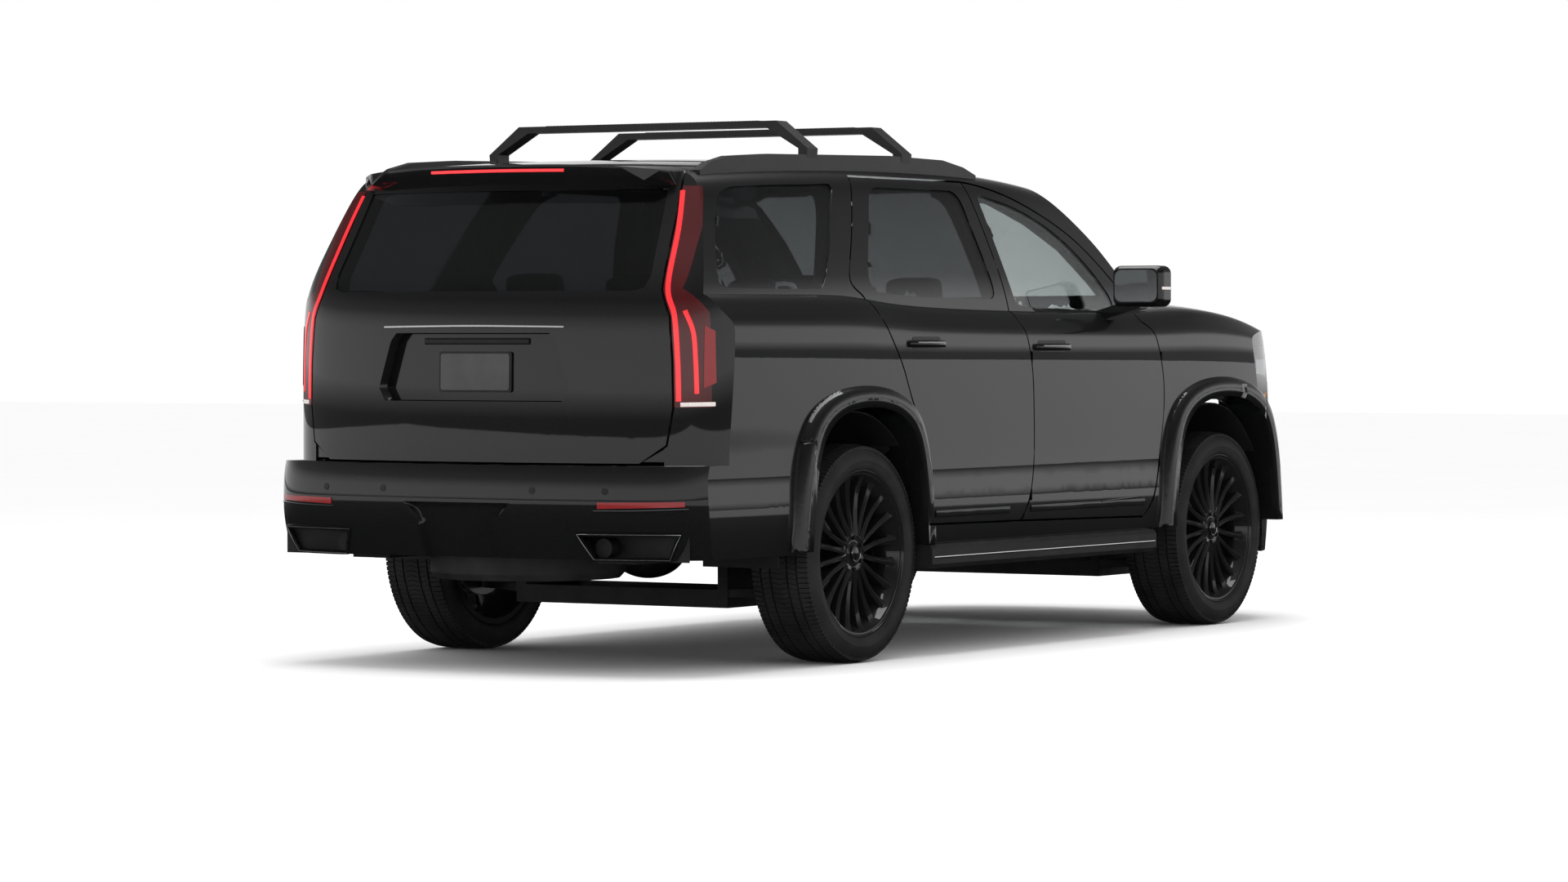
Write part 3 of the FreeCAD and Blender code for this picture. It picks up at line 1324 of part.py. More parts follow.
def hub_carrier(prefix, x):
    """The right-hand carrier of one axle, without its ball pins."""
    out = Vector(0, -1, 0)
    plate = block(
        prefix + "_plate", "knuckle_length", "knuckle_thickness", "knuckle_height",
        x, f"0 - {PLATE_Y}", PIN_FOOT)
    spindle = rod(
        prefix + "_spindle", "hub_bore / 2 - running_clearance",
        f"wheel_track / 2 + spoke_face - spoke_depth - running_clearance - {PLATE_Y}",
        x, f"0 - {PLATE_Y}", AXLE_Z, out)
    reach = "(disc_offset + disc_thickness + caliper_gap + knuckle_thickness)"
    caliper = block(
        prefix + "_caliper", "caliper_length", reach, "caliper_height",
        f"{x} - caliper_outer_radius + caliper_length / 2", f"0 - wheel_track / 2 + {reach} / 2",
        f"{AXLE_Z} - caliper_height / 2")
    slot = rod(
        prefix + "_slot", "disc_diameter / 2 + caliper_gap", "disc_thickness + 2 * caliper_gap",
        x, "0 - wheel_track / 2 + disc_offset + disc_thickness + caliper_gap", AXLE_Z, out)
    bracket = block(
        prefix + "_bracket", "caliper_outer_radius - caliper_length / 2", "knuckle_thickness",
        "caliper_height * 0.6", f"{x} - (caliper_outer_radius - caliper_length / 2) / 2",
        f"0 - {PLATE_Y}", f"{AXLE_Z} - caliper_height * 0.3")
    return [plate, spindle, bracket, less(prefix + "_gripping", caliper, slot)]


front_parts = hub_carrier("knuckle", FRONT_X)
for name, foot in (("lower", f"{PIN_FOOT} - ball_pin_length"), ("upper", PIN_HEAD)):
    front_parts.append(rod(
        "ball_pin_" + name, "ball_pin_radius", "ball_pin_length", FRONT_X, f"0 - {PLATE_Y}", foot))
knuckle = keep_bound(joined("knuckle_right", front_parts), "knuckle_right")
keep_bound(twin("knuckle_left", knuckle), "knuckle_left")


def wishbone(prefix, x, foot, bored):
    """A right-hand arm: an eye at the carrier and two legs to the frame."""
    body = placed_body(prefix + "_arm", x, f"0 - {PLATE_Y}", foot)
    run = f"({PLATE_Y} - (rail_spacing / 2 + rail_width))"
    padded(body, prefix + "_legs", "XY_Plane", [[
        ("0 - arm_width / 2", "0"), ("arm_width / 2", "0"), ("arm_spread + arm_width / 2", run),
        ("arm_spread - arm_width / 2", run), ("0", "arm_width * 1.6"),
        ("0 - arm_spread + arm_width / 2", run), ("0 - arm_spread - arm_width / 2", run),
    ]], "ball_pin_length - 2 * running_clearance")
    eye = rod(
        prefix + "_eye", "arm_eye_radius", "ball_pin_length - 2 * running_clearance",
        x, f"0 - {PLATE_Y}", foot)
    arm = joined(prefix + "_wishbone", [body, eye])
    if not bored:
        return arm
    bore = rod(
        prefix + "_bore", "ball_pin_radius + running_clearance", "3 * ball_pin_length",
        x, f"0 - {PLATE_Y}", f"{foot} - ball_pin_length")
    return less(prefix + "_bored", arm, bore)


def axle_members(prefix, x, bored):
    """Both arms of the right side, with bores for ball pins where the carrier steers."""
    lower = wishbone(prefix + "_lower", x, f"{PIN_FOOT} - ball_pin_length + running_clearance", bored)
    upper_foot = f"{PIN_HEAD} + running_clearance" if bored else f"{PIN_HEAD} - 2 * ball_pin_length"
    return lower, wishbone(prefix + "_upper", x, upper_foot, bored)


lower, upper = axle_members("front", FRONT_X, True)
spread = "2 * arm_spread + 1.4 * arm_width"
cradle = block(
    "front_cradle", spread, "2 * (rail_spacing / 2 + rail_width)", "subframe_height",
    FRONT_X, "0", "subframe_bottom")
tower = block(
    "front_tower", spread, "rail_width * 0.5", f"{PIN_HEAD} + ball_pin_length - subframe_bottom",
    FRONT_X, "0 - (rail_spacing / 2 + rail_width) + rail_width * 0.25", "subframe_bottom")
right_front = joined("front_links", [lower, upper, tower])
left_front = twin("front_links_left", right_front)
keep_bound(joined("front_suspension", [right_front, left_front, cradle]), "front_suspension")

rear_parts = hub_carrier("rear_carrier", REAR_X)
lower, upper = axle_members("rear", REAR_X, False)
stub_low = rod(
    "rear_stub_low", "ball_pin_radius", "ball_pin_length",
    REAR_X, f"0 - {PLATE_Y}", f"{PIN_FOOT} - ball_pin_length")
rear_tower = block(
    "rear_tower", spread, "rail_width * 0.5", "floor_height - subframe_bottom",
    REAR_X, "0 - (rail_spacing / 2 + rail_width) + rail_width * 0.25", "subframe_bottom")
shaft = rod("halfshaft", "halfshaft_radius", f"{PLATE_Y}", REAR_X, "0", AXLE_Z, Vector(0, -1, 0))
right_rear = joined("rear_links", rear_parts + [lower, upper, stub_low, rear_tower, shaft])
rear_cradle = block(
    "rear_cradle", spread, "2 * (rail_spacing / 2 + rail_width)", "subframe_height",
    REAR_X, "0", "subframe_bottom")
casing = bound(
    "Part::Ellipsoid", "differential", Radius1="differential_radius",
    Radius2="differential_radius * 1.15", Radius3="differential_radius * 1.35",
    Placement__Base__x=REAR_X, Placement__Base__y="0", Placement__Base__z=AXLE_Z)
left_rear = twin("rear_links_left", right_rear)
keep_bound(joined("rear_suspension", [right_rear, left_rear, rear_cradle, casing]), "rear_suspension")

# Ladder frame under the floor
RAIL_HEIGHT = "(floor_height - rail_bottom)"
RAIL_REAR = "(0 - rear_overhang + member_length)"
RAIL_FRONT = "(wheel_base + (overall_length - wheel_base - rear_overhang) * 0.76)"
frame_items = []
for name, side in (("right", -1), ("left", 1)):
    rail = placed_body("rail_" + name, REAR_X, f"{side} * rail_spacing / 2", "rail_bottom")
    padded(rail, "rail_section_" + name, "XZ_Plane", [[
        (RAIL_REAR, RAIL_HEIGHT), (RAIL_REAR, "rail_taper"), ("arch_half_length * 0.65", "rail_taper"),
        ("arch_half_length", "0"), (RAIL_FRONT, "0"), (RAIL_FRONT, RAIL_HEIGHT),
    ]], "rail_width", both=True)
    frame_items.append(rail)
BETWEEN_RAILS = "rail_spacing - rail_width"
CROSSMEMBER_SHARES = (-0.375, 0.18, 0.40, 0.62, 0.80)
for index, share in enumerate(CROSSMEMBER_SHARES):
    low = "rail_bottom + rail_taper" if share < 0 else "rail_bottom"
    frame_items.append(block(
        f"crossmember_{index}", "member_length", BETWEEN_RAILS, f"floor_height - ({low})",
        f"{REAR_X} + {share} * wheel_base", "0", low))
frame_items.append(block(
    "front_member", "member_length", "rail_spacing + 2 * rail_width", "rail_taper",
    f"{REAR_X} + {RAIL_FRONT} + member_length / 2", "0", "rail_bottom"))
for name, side in (("right", -1), ("left", 1)):
    frame_items.append(block(
        "engine_mount_" + name, "member_length", "(rail_spacing - rail_width - engine_width) / 2",
        "rail_taper", FRONT_X, f"{side} * (rail_spacing - rail_width + engine_width) / 4",
        "rail_bottom + rail_taper / 2"))
keep_bound(joined("chassis_frame", frame_items), "chassis_frame")

# Engine and radiator
ENGINE_X = f"({FRONT_X} + engine_length * 0.08)"
engine_items = [
    block(
        "crankcase", "engine_length", "engine_width * 0.62", "engine_height * 0.62",
        ENGINE_X, "0", "engine_bottom"),
    block(
        "engine_foot", "member_length", "engine_width", "rail_taper",
        FRONT_X, "0", "rail_bottom + rail_taper / 2"),
    block(
        "engine_cover", "engine_length * 0.84", "engine_width * 0.84", "engine_height * 0.40",
        ENGINE_X, "0", "engine_bottom + engine_height * 0.60"),
    rod(
        "gearbox", "engine_width * 0.11", "engine_length * 0.38",
        f"{ENGINE_X} - engine_length * 0.45", "0", "rail_bottom + engine_width * 0.115", -FORWARD),
]
keep_bound(joined("engine", engine_items), "engine")
radiator = block(
    "radiator", "radiator_thickness", "radiator_width", "radiator_height",
    f"{REAR_X} + {RAIL_FRONT} + member_length / 2", "0", "rail_bottom + rail_taper")
keep_bound(radiator, "radiator")

# Running boards
STEP_X = f"({REAR_X} + wheel_base * 0.4582)"
boards = []
for name, side in (("right", -1), ("left", 1)):
    board = placed_body(
        "board_" + name, STEP_X, f"{side} * overall_width / 2", "sill_height",
        FreeCAD.Rotation(UP, -90 * side))
    padded(board, "board_section_" + name, "XZ_Plane", [[
        ("0", "0 - step_height * 0.22"), ("step_width * 0.10", "0 - step_height * 0.05"),
        ("step_width * 0.45", "0"), ("step_width", "0"), ("step_width", "0 - step_height * 0.70"),
        ("step_width * 0.55", "0 - step_height"), ("step_width * 0.12", "0 - step_height"),
        ("0", "0 - step_height * 0.82"),
    ]], "step_length", both=True)
    boards.append(board)
keep_bound(joined("running_boards", boards), "running_boards")

# Spare wheel hung under the tail
SPARE_X = f"({REAR_X} - rear_overhang * 0.63)"
spare = placed_body("spare_disc", SPARE_X, "0", "spare_top", FreeCAD.Rotation(Vector(0, 1, 0), 90))
turned(spare, "spare_turned", [
    ("0", "spare_diameter * 0.30"), ("0", "spare_diameter * 0.47"),
    ("spare_thickness * 0.18", "spare_diameter * 0.5"),
    ("spare_thickness * 0.82", "spare_diameter * 0.5"), ("spare_thickness", "spare_diameter * 0.47"),
    ("spare_thickness", "spare_diameter * 0.32"), ("spare_thickness * 0.55", "spare_diameter * 0.28"),
    ("spare_thickness * 0.55", "0"), ("spare_thickness * 0.40", "0"),
    ("spare_thickness * 0.40", "spare_diameter * 0.28"),
])
hanger = rod(
    "spare_hanger", "hub_cap_radius", "floor_height - spare_top + spare_thickness * 0.5",
    SPARE_X, "0", "spare_top - spare_thickness * 0.5")
keep_bound(joined("spare_wheel", [spare, hanger]), "spare_wheel")

# Exhaust
MUFFLER_Y = "(rail_spacing / 2 + rail_width / 2 + muffler_width / 2 + pipe_radius)"
MUFFLER_X = f"({REAR_X} - rear_overhang * 0.60)"
exhaust_items = []
for name, side in (("right", -1), ("left", 1)):
    exhaust_items.append(block(
        "muffler_" + name, "muffler_length", "muffler_width", "muffler_height", MUFFLER_X,
        f"{side} * {MUFFLER_Y}", "floor_height - muffler_height"))
    exhaust_items.append(rod(
        "tip_" + name, "pipe_radius * 1.3", "tip_length", f"{MUFFLER_X} - muffler_length / 2",
        f"{side} * ({MUFFLER_Y} + muffler_width * 0.15)", "floor_height - muffler_height * 0.55",
        -FORWARD))
CROSS_X = f"({MUFFLER_X} + muffler_length / 2 + pipe_radius * 3.5)"
CROSS_Z = "(rail_bottom + rail_taper - pipe_radius * 1.5)"
exhaust_items.append(rod(
    "cross_pipe", "pipe_radius", f"2 * {MUFFLER_Y}", CROSS_X, f"0 - {MUFFLER_Y}", CROSS_Z, LEFT))
for name, side in (("right", -1), ("left", 1)):
    exhaust_items.append(rod(
        "muffler_inlet_" + name, "pipe_radius", "pipe_radius * 5", CROSS_X, f"{side} * {MUFFLER_Y}",
        CROSS_Z, -FORWARD))
keep_bound(joined("exhaust", exhaust_items), "exhaust")

# Seats, dashboard and steering wheel
def seat(name, x, y, width):
    """A seat as one side profile padded across its width."""
    body = placed_body(name, x, y, "floor_height + floor_thickness")
    padded(body, name + "_profile", "XZ_Plane", [[
        ("0 - seat_cushion * 0.5", "0"), ("seat_cushion * 0.9", "0"),
        ("seat_cushion * 0.9", "seat_cushion * 0.3"), ("seat_cushion * 1.1", "seat_cushion * 0.66"),
        ("seat_cushion", "seat_cushion"), ("0 - seat_cushion * 0.30", "seat_cushion * 0.88"),
        ("0 - seat_cushion * 0.80", "seat_cushion + seat_back * 0.95"),
        ("0 - seat_cushion * 0.92", "seat_cushion + seat_back"),
        ("0 - seat_cushion * 1.08", "seat_cushion + seat_back * 0.95"),
        ("0 - seat_cushion * 0.72", "seat_cushion * 0.5"),
    ]], width, both=True)
    return body


SEAT_Y = "(seat_width * 0.72)"
for row, share in (("front", 0.56), ("middle", 0.26)):
    row_x = f"{REAR_X} + wheel_base * {share}"
    pair = [
        seat(f"{row}_seat_{name}", row_x, f"{side} * {SEAT_Y}", "seat_width")
        for name, side in (("right", -1), ("left", 1))]
    keep_bound(joined(row + "_seats", pair), row + "_seats")
bench_x = f"{REAR_X} - wheel_base * 0.03"
keep_bound(seat("rear_bench", bench_x, "0", "rear_housing_inner * 2 - arm_width"), "rear_bench")

DASH_X = f"({REAR_X} + wheel_base * 0.795)"
DASH_Z = "(floor_height + floor_thickness)"
dash = placed_body("dash_body", DASH_X, "0", DASH_Z)
padded(dash, "dash_profile", "XZ_Plane", [[
    ("0 - seat_cushion * 0.85", "seat_back * 0.62"), ("0 - seat_cushion * 0.95", "seat_back * 0.98"),
    ("0 - seat_cushion * 0.70", "seat_back * 1.10"), ("0", "seat_back * 1.16"),
    ("seat_cushion * 0.2", "seat_back * 1.12"), ("seat_cushion * 0.2", "0"),
    ("0", "0"), ("0", "seat_back * 0.55"),
]], "body_width * 0.76", both=True)
console = block(
    "console", "wheel_base * 0.30", "seat_width * 0.36", "seat_cushion * 0.9",
    f"{REAR_X} + wheel_base * 0.66", "0", DASH_Z)
column_tilt = math.radians(size("column_tilt_degrees"))
COLUMN_AXIS = Vector(-math.cos(column_tilt), 0, math.sin(column_tilt))
column_x = f"({DASH_X} - seat_cushion * 0.80)"
column_z = f"({DASH_Z} + seat_back * 0.83)"
column_y = SEAT_Y
socket = rod(
    "column_socket", "column_radius + running_clearance", "seat_cushion * 2",
    f"{column_x} + seat_cushion * 0.4", column_y, f"{column_z} - seat_cushion * 0.187", COLUMN_AXIS)
keep_bound(less("dashboard", joined("dash_and_console", [dash, console]), socket), "dashboard")
wheel_turn = FreeCAD.Rotation(UP, COLUMN_AXIS)
shaft = rod(
    "column_shaft", "column_radius", "seat_cushion",
    f"{column_x} + seat_cushion * 0.2", column_y, f"{column_z} - seat_cushion * 0.0933", COLUMN_AXIS)
rim_x = f"{column_x} - seat_cushion * 0.70"
rim_z = f"{column_z} + seat_cushion * 0.3264"
grip = bound("Part::Torus", "steering_grip", Radius1="steering_wheel_radius", Radius2="steering_grip_radius")
grip.Placement.Rotation = wheel_turn
boss = bound("Part::Cylinder", "steering_boss", Radius="column_radius * 2.4", Height="column_radius * 1.6")
boss.Placement.Rotation = wheel_turn
bar = bound(
    "Part::Cylinder", "steering_spokes", Radius="steering_grip_radius * 0.8",
    Height="2 * steering_wheel_radius")
bar.Placement.Rotation = FreeCAD.Rotation(UP, LEFT)
for item, x, y, z in (
        (grip, rim_x, column_y, rim_z),
        (boss, f"{column_x} - seat_cushion * 0.62", column_y, f"{column_z} + seat_cushion * 0.289"),
        (bar, rim_x, f"{column_y} - steering_wheel_radius", rim_z)):
    for key, text in (("x", x), ("y", y), ("z", z)):
        item.setExpression(f"Placement.Base.{key}", cell(text))
keep_bound(joined("steering_wheel", [grip, boss, bar, shaft]), "steering_wheel")


# Floor pan with the wheelhouse liners and the firewall
FIREWALL_SHARE = 0.835
FIREWALL_TOP_SHARE = 0.685
LINK_WINDOW_SHARE = 0.335
FLOOR_REAR_SHARE = -0.36
LINER_FOOT = size("rail_bottom") + size("rail_taper") - size("liner_wall")
floor_top = size("floor_height") + size("floor_thickness")
firewall_x = along(FIREWALL_SHARE)
floor = room.common(box(
    (along(FLOOR_REAR_SHARE), firewall_x), (-FAR, FAR), (size("floor_height"), floor_top)))
firewall = ring_room.common(box(
    (firewall_x - size("floor_thickness"), firewall_x), (-FAR, FAR),
    (size("floor_height"), high(FIREWALL_TOP_SHARE))))
link_reach = size("arm_spread") + 2 * size("arm_width")
windows = []
for axle_x, inner, top in (
        (REAR_AXLE_X, size("rear_housing_inner"), size("floor_height")),
        (FRONT_AXLE_X, size("front_housing_inner"), high(LINK_WINDOW_SHARE))):
    windows.append(box(
        (axle_x - link_reach, axle_x + link_reach),
        (-inner - size("arm_width"), -size("rail_spacing") / 2), (0, top)))
liners = []
for arch, inner in ((REAR_ARCH, size("rear_housing_inner")), (FRONT_ARCH, size("front_housing_inner"))):
    thick = size("liner_wall")
    liner = arch_solid(*arch, thick, -FAR, thick - inner)
    liner = liner.common(box((-FAR, FAR), (-FAR, 0), (LINER_FOOT, FAR)))
    liners.append(liner.cut([arch_solid(*arch, 0, -FAR, -inner)] + windows).common(room))
half_pan = floor.common(RIGHT).fuse([firewall.common(RIGHT)] + liners).cut([frame] + arches)
keep("floor_pan", biggest(half_pan.fuse(mirrored(half_pan)).removeSplitter()))

# Door mirrors: a rounded head on an arm that stands on the door's shoulder
MIRROR_SHARE = 0.6757
MIRROR_OUT_SHARE = 1.111
MIRROR_HEIGHT_SHARE = 0.7526
MIRROR_ARM_SHARES = [
    (0.900, 0.672), (0.900, 0.698), (1.040, 0.719), (1.120, 0.722), (1.120, 0.706), (1.010, 0.690),
]
mirror_size = Vector(size("mirror_depth"), size("mirror_width"), size("mirror_height"))
mirror_middle = Vector(along(MIRROR_SHARE), -wide(MIRROR_OUT_SHARE), high(MIRROR_HEIGHT_SHARE))
head = Part.makeBox(*mirror_size, mirror_middle - mirror_size / 2)
head = head.makeFillet(size("mirror_round"), head.Edges)
arm_half = size("mirror_arm_half")
arm_outline = [(-wide(y), high(z)) for y, z in MIRROR_ARM_SHARES]
arm = rear_prism(arm_outline, mirror_middle.x - arm_half, mirror_middle.x + arm_half)
mirror = biggest(head.fuse(arm).cut(outer))
keep("mirror_right", mirror)
keep("mirror_left", mirrored(mirror))

# Roof rails and the cross bars clamped on them
RACK_SHARE = 0.7207
RACK_ROOT_SHARE = 0.90
RACK_RISE_SHARES = [
    (-0.257, 0.15), (-0.235, 0.60), (-0.190, 0.95), (-0.100, 1.0), (0.200, 1.0), (0.340, 0.95),
    (0.395, 0.60), (0.429, 0.15),
]
CROSS_BAR_SHARES = [0.0065, 0.2436]
BAR_KNEE_SHARE = 1.018
BAR_FOOT_SHARE = 0.995
rail_half = size("rack_rail_width") / 2
rail_y = -wide(RACK_SHARE)
rail_top = [
    (along(x), skin_z(along(x), rail_y) + rise * size("rack_rail_rise")) for x, rise in RACK_RISE_SHARES]
rail_root = [(rail_top[-1][0], high(RACK_ROOT_SHARE)), (rail_top[0][0], high(RACK_ROOT_SHARE))]
rail_side = [Vector(x, rail_y - rail_half, z) for x, z in rail_top + rail_root]
rack = Part.Face(Part.makePolygon(rail_side + rail_side[:1])).extrude(LEFT * (2 * rail_half))
rack = biggest(rack.cut(outer))
keep("roof_rails", [rack, mirrored(rack)])
bar_top = size("bar_top")
bar_low = bar_top - size("bar_height")
bar_knee = high(BAR_KNEE_SHARE)
bar_foot = high(BAR_FOOT_SHARE)
BAR_SHARES = [
    (0.0, bar_low), (0.555, bar_low), (0.700, bar_knee), (0.700, bar_foot), (0.738, bar_foot),
    (0.742, bar_knee), (0.600, bar_top), (0.0, bar_top),
]
bar_outline = both_sides([(wide(y), z) for y, z in BAR_SHARES])
bars = []
for share in CROSS_BAR_SHARES:
    bar = rear_prism(bar_outline, along(share) - size("bar_width") / 2, along(share) + size("bar_width") / 2)
    bars.append(biggest(bar.cut([rack, mirrored(rack), outer])))
keep("cross_bars", bars)

# Every object checked, and one STEP file written for each node
doc.recompute()
for item in doc.Objects:
    if "Invalid" in item.State or "Error" in item.State:
        raise ValueError(f"{item.Label} does not recompute")
for piece in PIECES:
    if piece.Shape.isNull() or not piece.Shape.isValid() or piece.Shape.Volume <= 0:
        raise ValueError(f"{piece.Label} has no valid shape")
os.makedirs("parts", exist_ok=True)
for piece in PIECES:
    piece.Shape.exportStep(f"parts/{piece.Label}.step")
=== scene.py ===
"""Looks of a full-size black suv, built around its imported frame.

Every length is in metres: +X forward, +Y to the vehicle's left, +Z up, origin on the ground.
"""

import json
import logging
import math
from collections.abc import Callable
from dataclasses import dataclass, field
from enum import Enum
from functools import cache

import bmesh
import bpy
import numpy as np
from bpy.types import Material, Mesh, Node, NodeTree, Object
from mathutils import Matrix, Vector
from mathutils.bvhtree import BVHTree
from mathutils.interpolate import poly_3d_calc

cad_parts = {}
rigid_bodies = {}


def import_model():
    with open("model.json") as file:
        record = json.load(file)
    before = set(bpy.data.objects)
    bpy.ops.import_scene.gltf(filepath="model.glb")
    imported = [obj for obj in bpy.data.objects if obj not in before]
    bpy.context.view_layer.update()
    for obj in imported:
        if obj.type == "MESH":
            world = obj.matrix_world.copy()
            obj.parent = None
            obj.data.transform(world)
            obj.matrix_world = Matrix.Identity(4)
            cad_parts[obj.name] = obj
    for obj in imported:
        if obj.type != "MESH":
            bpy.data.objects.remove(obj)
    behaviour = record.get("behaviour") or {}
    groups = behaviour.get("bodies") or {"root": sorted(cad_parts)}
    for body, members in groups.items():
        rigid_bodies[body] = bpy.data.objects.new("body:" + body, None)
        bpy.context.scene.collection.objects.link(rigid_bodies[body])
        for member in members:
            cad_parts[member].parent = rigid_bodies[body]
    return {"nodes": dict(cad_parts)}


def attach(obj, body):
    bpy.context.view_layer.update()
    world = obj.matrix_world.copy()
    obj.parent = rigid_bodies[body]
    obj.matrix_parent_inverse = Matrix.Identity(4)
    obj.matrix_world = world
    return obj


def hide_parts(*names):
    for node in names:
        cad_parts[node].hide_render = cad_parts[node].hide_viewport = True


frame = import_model()
logging.basicConfig(level=logging.INFO, format="%(levelname)s %(message)s")
LOG = logging.getLogger("suv")

Point = tuple[float, float, float]
Colour = tuple[float, float, float]
Pair = tuple[float, float]
Table = tuple[tuple[float, ...], ...]
Rows = list[list[Point]]
BMesh = bmesh.types.BMesh
Found = tuple[Vector, Vector]
Finder = Callable[[float, float], Found | None]


class Side(Enum):
    """The two flanks, with the sign of their Y."""

    RIGHT = -1
    LEFT = 1

    @property
    def word(self) -> str:
        """The side's name as the nodes spell it."""
        return self.name.lower()


# Finishes
NOISE_RANGE = (0.3, 0.7)
TINT_RANGE = (0.35, 0.65)


class Shader:
    """A material's node tree, with short calls for the nodes used here."""

    def __init__(self, name: str) -> None:
        """Starts an empty node tree with one principled shader.

        Args:
            name: Name of the material.
        """
        self.material = bpy.data.materials.new(name)
        self.material.use_nodes = True
        self.tree = self.material.node_tree
        self.tree.nodes.clear()
        self.output = self.tree.nodes.new("ShaderNodeOutputMaterial")
        self.surface = self.tree.nodes.new("ShaderNodeBsdfPrincipled")
        self.link(self.surface, "BSDF", self.output, "Surface")
        self.place = self.tree.nodes.new("ShaderNodeTexCoord")

    def link(self, source: Node, out: str, target: Node, into: str) -> None:
        """Links one socket to another by their names."""
        self.tree.links.new(source.outputs[out], target.inputs[into])

    def set(self, **values: object) -> None:
        """Sets sockets of the principled shader, with underscores for spaces."""
        for key, value in values.items():
            self.surface.inputs[key.replace("_", " ")].default_value = value

    def noise(self, scale: float, detail: float = 3.0, stretch: Point = (1.0, 1.0, 1.0)) -> Node:
        """A noise texture on object coordinates.

        Args:
            scale: Waves per metre.
            detail: Octaves.
            stretch: Scale along each axis.

        Returns:
            The texture node.
        """
        mapping = self.tree.nodes.new("ShaderNodeMapping")
        mapping.inputs["Scale"].default_value = stretch
        self.link(self.place, "Object", mapping, "Vector")
        texture = self.tree.nodes.new("ShaderNodeTexNoise")
        texture.inputs["Scale"].default_value = scale
        texture.inputs["Detail"].default_value = detail
        self.link(mapping, "Vector", texture, "Vector")
        return texture

    def varies(self, socket: str, texture: Node, low: float, high: float) -> None:
        """Lets a socket of the surface vary with a noise texture.

        Args:
            socket: Name of the surface's socket.
            texture: The noise texture.
            low: Value at the texture's low end.
            high: Value at its high end.
        """
        mapped = self.tree.nodes.new("ShaderNodeMapRange")
        limits = zip(("From Min", "From Max", "To Min", "To Max"), (*NOISE_RANGE, low, high))
        for key, value in limits:
            mapped.inputs[key].default_value = value
        self.link(texture, "Fac", mapped, "Value")
        self.link(mapped, "Result", self.surface, socket)

    def two_colours(self, texture: Node, first: Colour, second: Colour) -> None:
        """Colours the surface between two colours by a noise texture.

        Args:
            texture: The noise texture.
            first: Colour at the texture's low end.
            second: Colour at its high end.
        """
        ramp = self.tree.nodes.new("ShaderNodeValToRGB")
        for element, position, colour in zip(ramp.color_ramp.elements, TINT_RANGE, (first, second)):
            element.position = position
            element.color = (*colour, 1.0)
        self.link(texture, "Fac", ramp, "Fac")
        self.link(ramp, "Color", self.surface, "Base Color")

    def bump(self, texture: Node, strength: float, distance: float) -> None:
        """Adds a bump from a noise texture.

        Args:
            texture: The noise texture.
            strength: Strength of the bump, from 0 to 1.
            distance: Its height.
        """
        node = self.tree.nodes.new("ShaderNodeBump")
        node.inputs["Strength"].default_value = strength
        node.inputs["Distance"].default_value = distance
        self.link(texture, "Fac", node, "Height")
        self.link(node, "Normal", self.surface, "Normal")


@dataclass(frozen=True)
class Paint:
    """Body paint: a dark base with fine flake under a clear coat."""

    name: str = "black_paint"
    base: Colour = (0.0045, 0.0045, 0.0050)
    flake: Colour = (0.0070, 0.0072, 0.0080)
    roughness: float = 0.32
    swing: float = 0.03
    flake_scale: float = 900.0
    wave_scale: float = 1.3
    under_gloss: float = 0.12
    coat_roughness: float = 0.012
    coat_ior: float = 1.55

    def material(self) -> Material:
        """Makes the paint's material.

        Returns:
            The material.
        """
        shader = Shader(self.name)
        shader.two_colours(shader.noise(self.flake_scale, 2.0), self.base, self.flake)
        wave = shader.noise(self.wave_scale, 2.0)
        shader.varies("Roughness", wave, self.roughness - self.swing, self.roughness + self.swing)
        shader.set(Coat_Weight=1.0, Coat_Roughness=self.coat_roughness, Coat_IOR=self.coat_ior, Metallic=0.0,
                   Specular_IOR_Level=self.under_gloss)
        return shader.material


@dataclass(frozen=True)
class Moulding:
    """Moulded plastic or rubber with a grain."""

    name: str
    base: Colour
    tint: Colour
    roughness: float
    grain: float = 260.0
    depth: float = 0.0003
    coat: float = 0.0
    swing: float = 0.05
    cloud_scale: float = 9.0
    strength: float = 0.35
    coat_roughness: float = 0.03

    def material(self) -> Material:
        """Makes the moulding's material.

        Returns:
            The material.
        """
        shader = Shader(self.name)
        shader.two_colours(shader.noise(self.cloud_scale, 4.0), self.base, self.tint)
        fine = shader.noise(self.grain, 2.0)
        shader.varies("Roughness", fine, self.roughness - self.swing, self.roughness + self.swing)
        if self.depth:
            shader.bump(fine, self.strength, self.depth)
        shader.set(Coat_Weight=self.coat, Coat_Roughness=self.coat_roughness)
        return shader.material


@dataclass(frozen=True)
class Metal:
    """Bare or plated metal with a faint machined streak."""

    name: str
    base: Colour
    tint: Colour
    roughness: float
    metallic: float = 1.0
    stretch: Point = (1.0, 1.0, 14.0)
    swing: float = 0.2
    streak_scale: float = 60.0

    def material(self) -> Material:
        """Makes the metal's material.

        Returns:
            The material.
        """
        shader = Shader(self.name)
        streak = shader.noise(self.streak_scale, 3.0, self.stretch)
        shader.two_colours(streak, self.base, self.tint)
        shader.varies("Roughness", streak, self.roughness * (1.0 - self.swing), self.roughness * (1.0 + self.swing))
        shader.set(Metallic=self.metallic)
        return shader.material


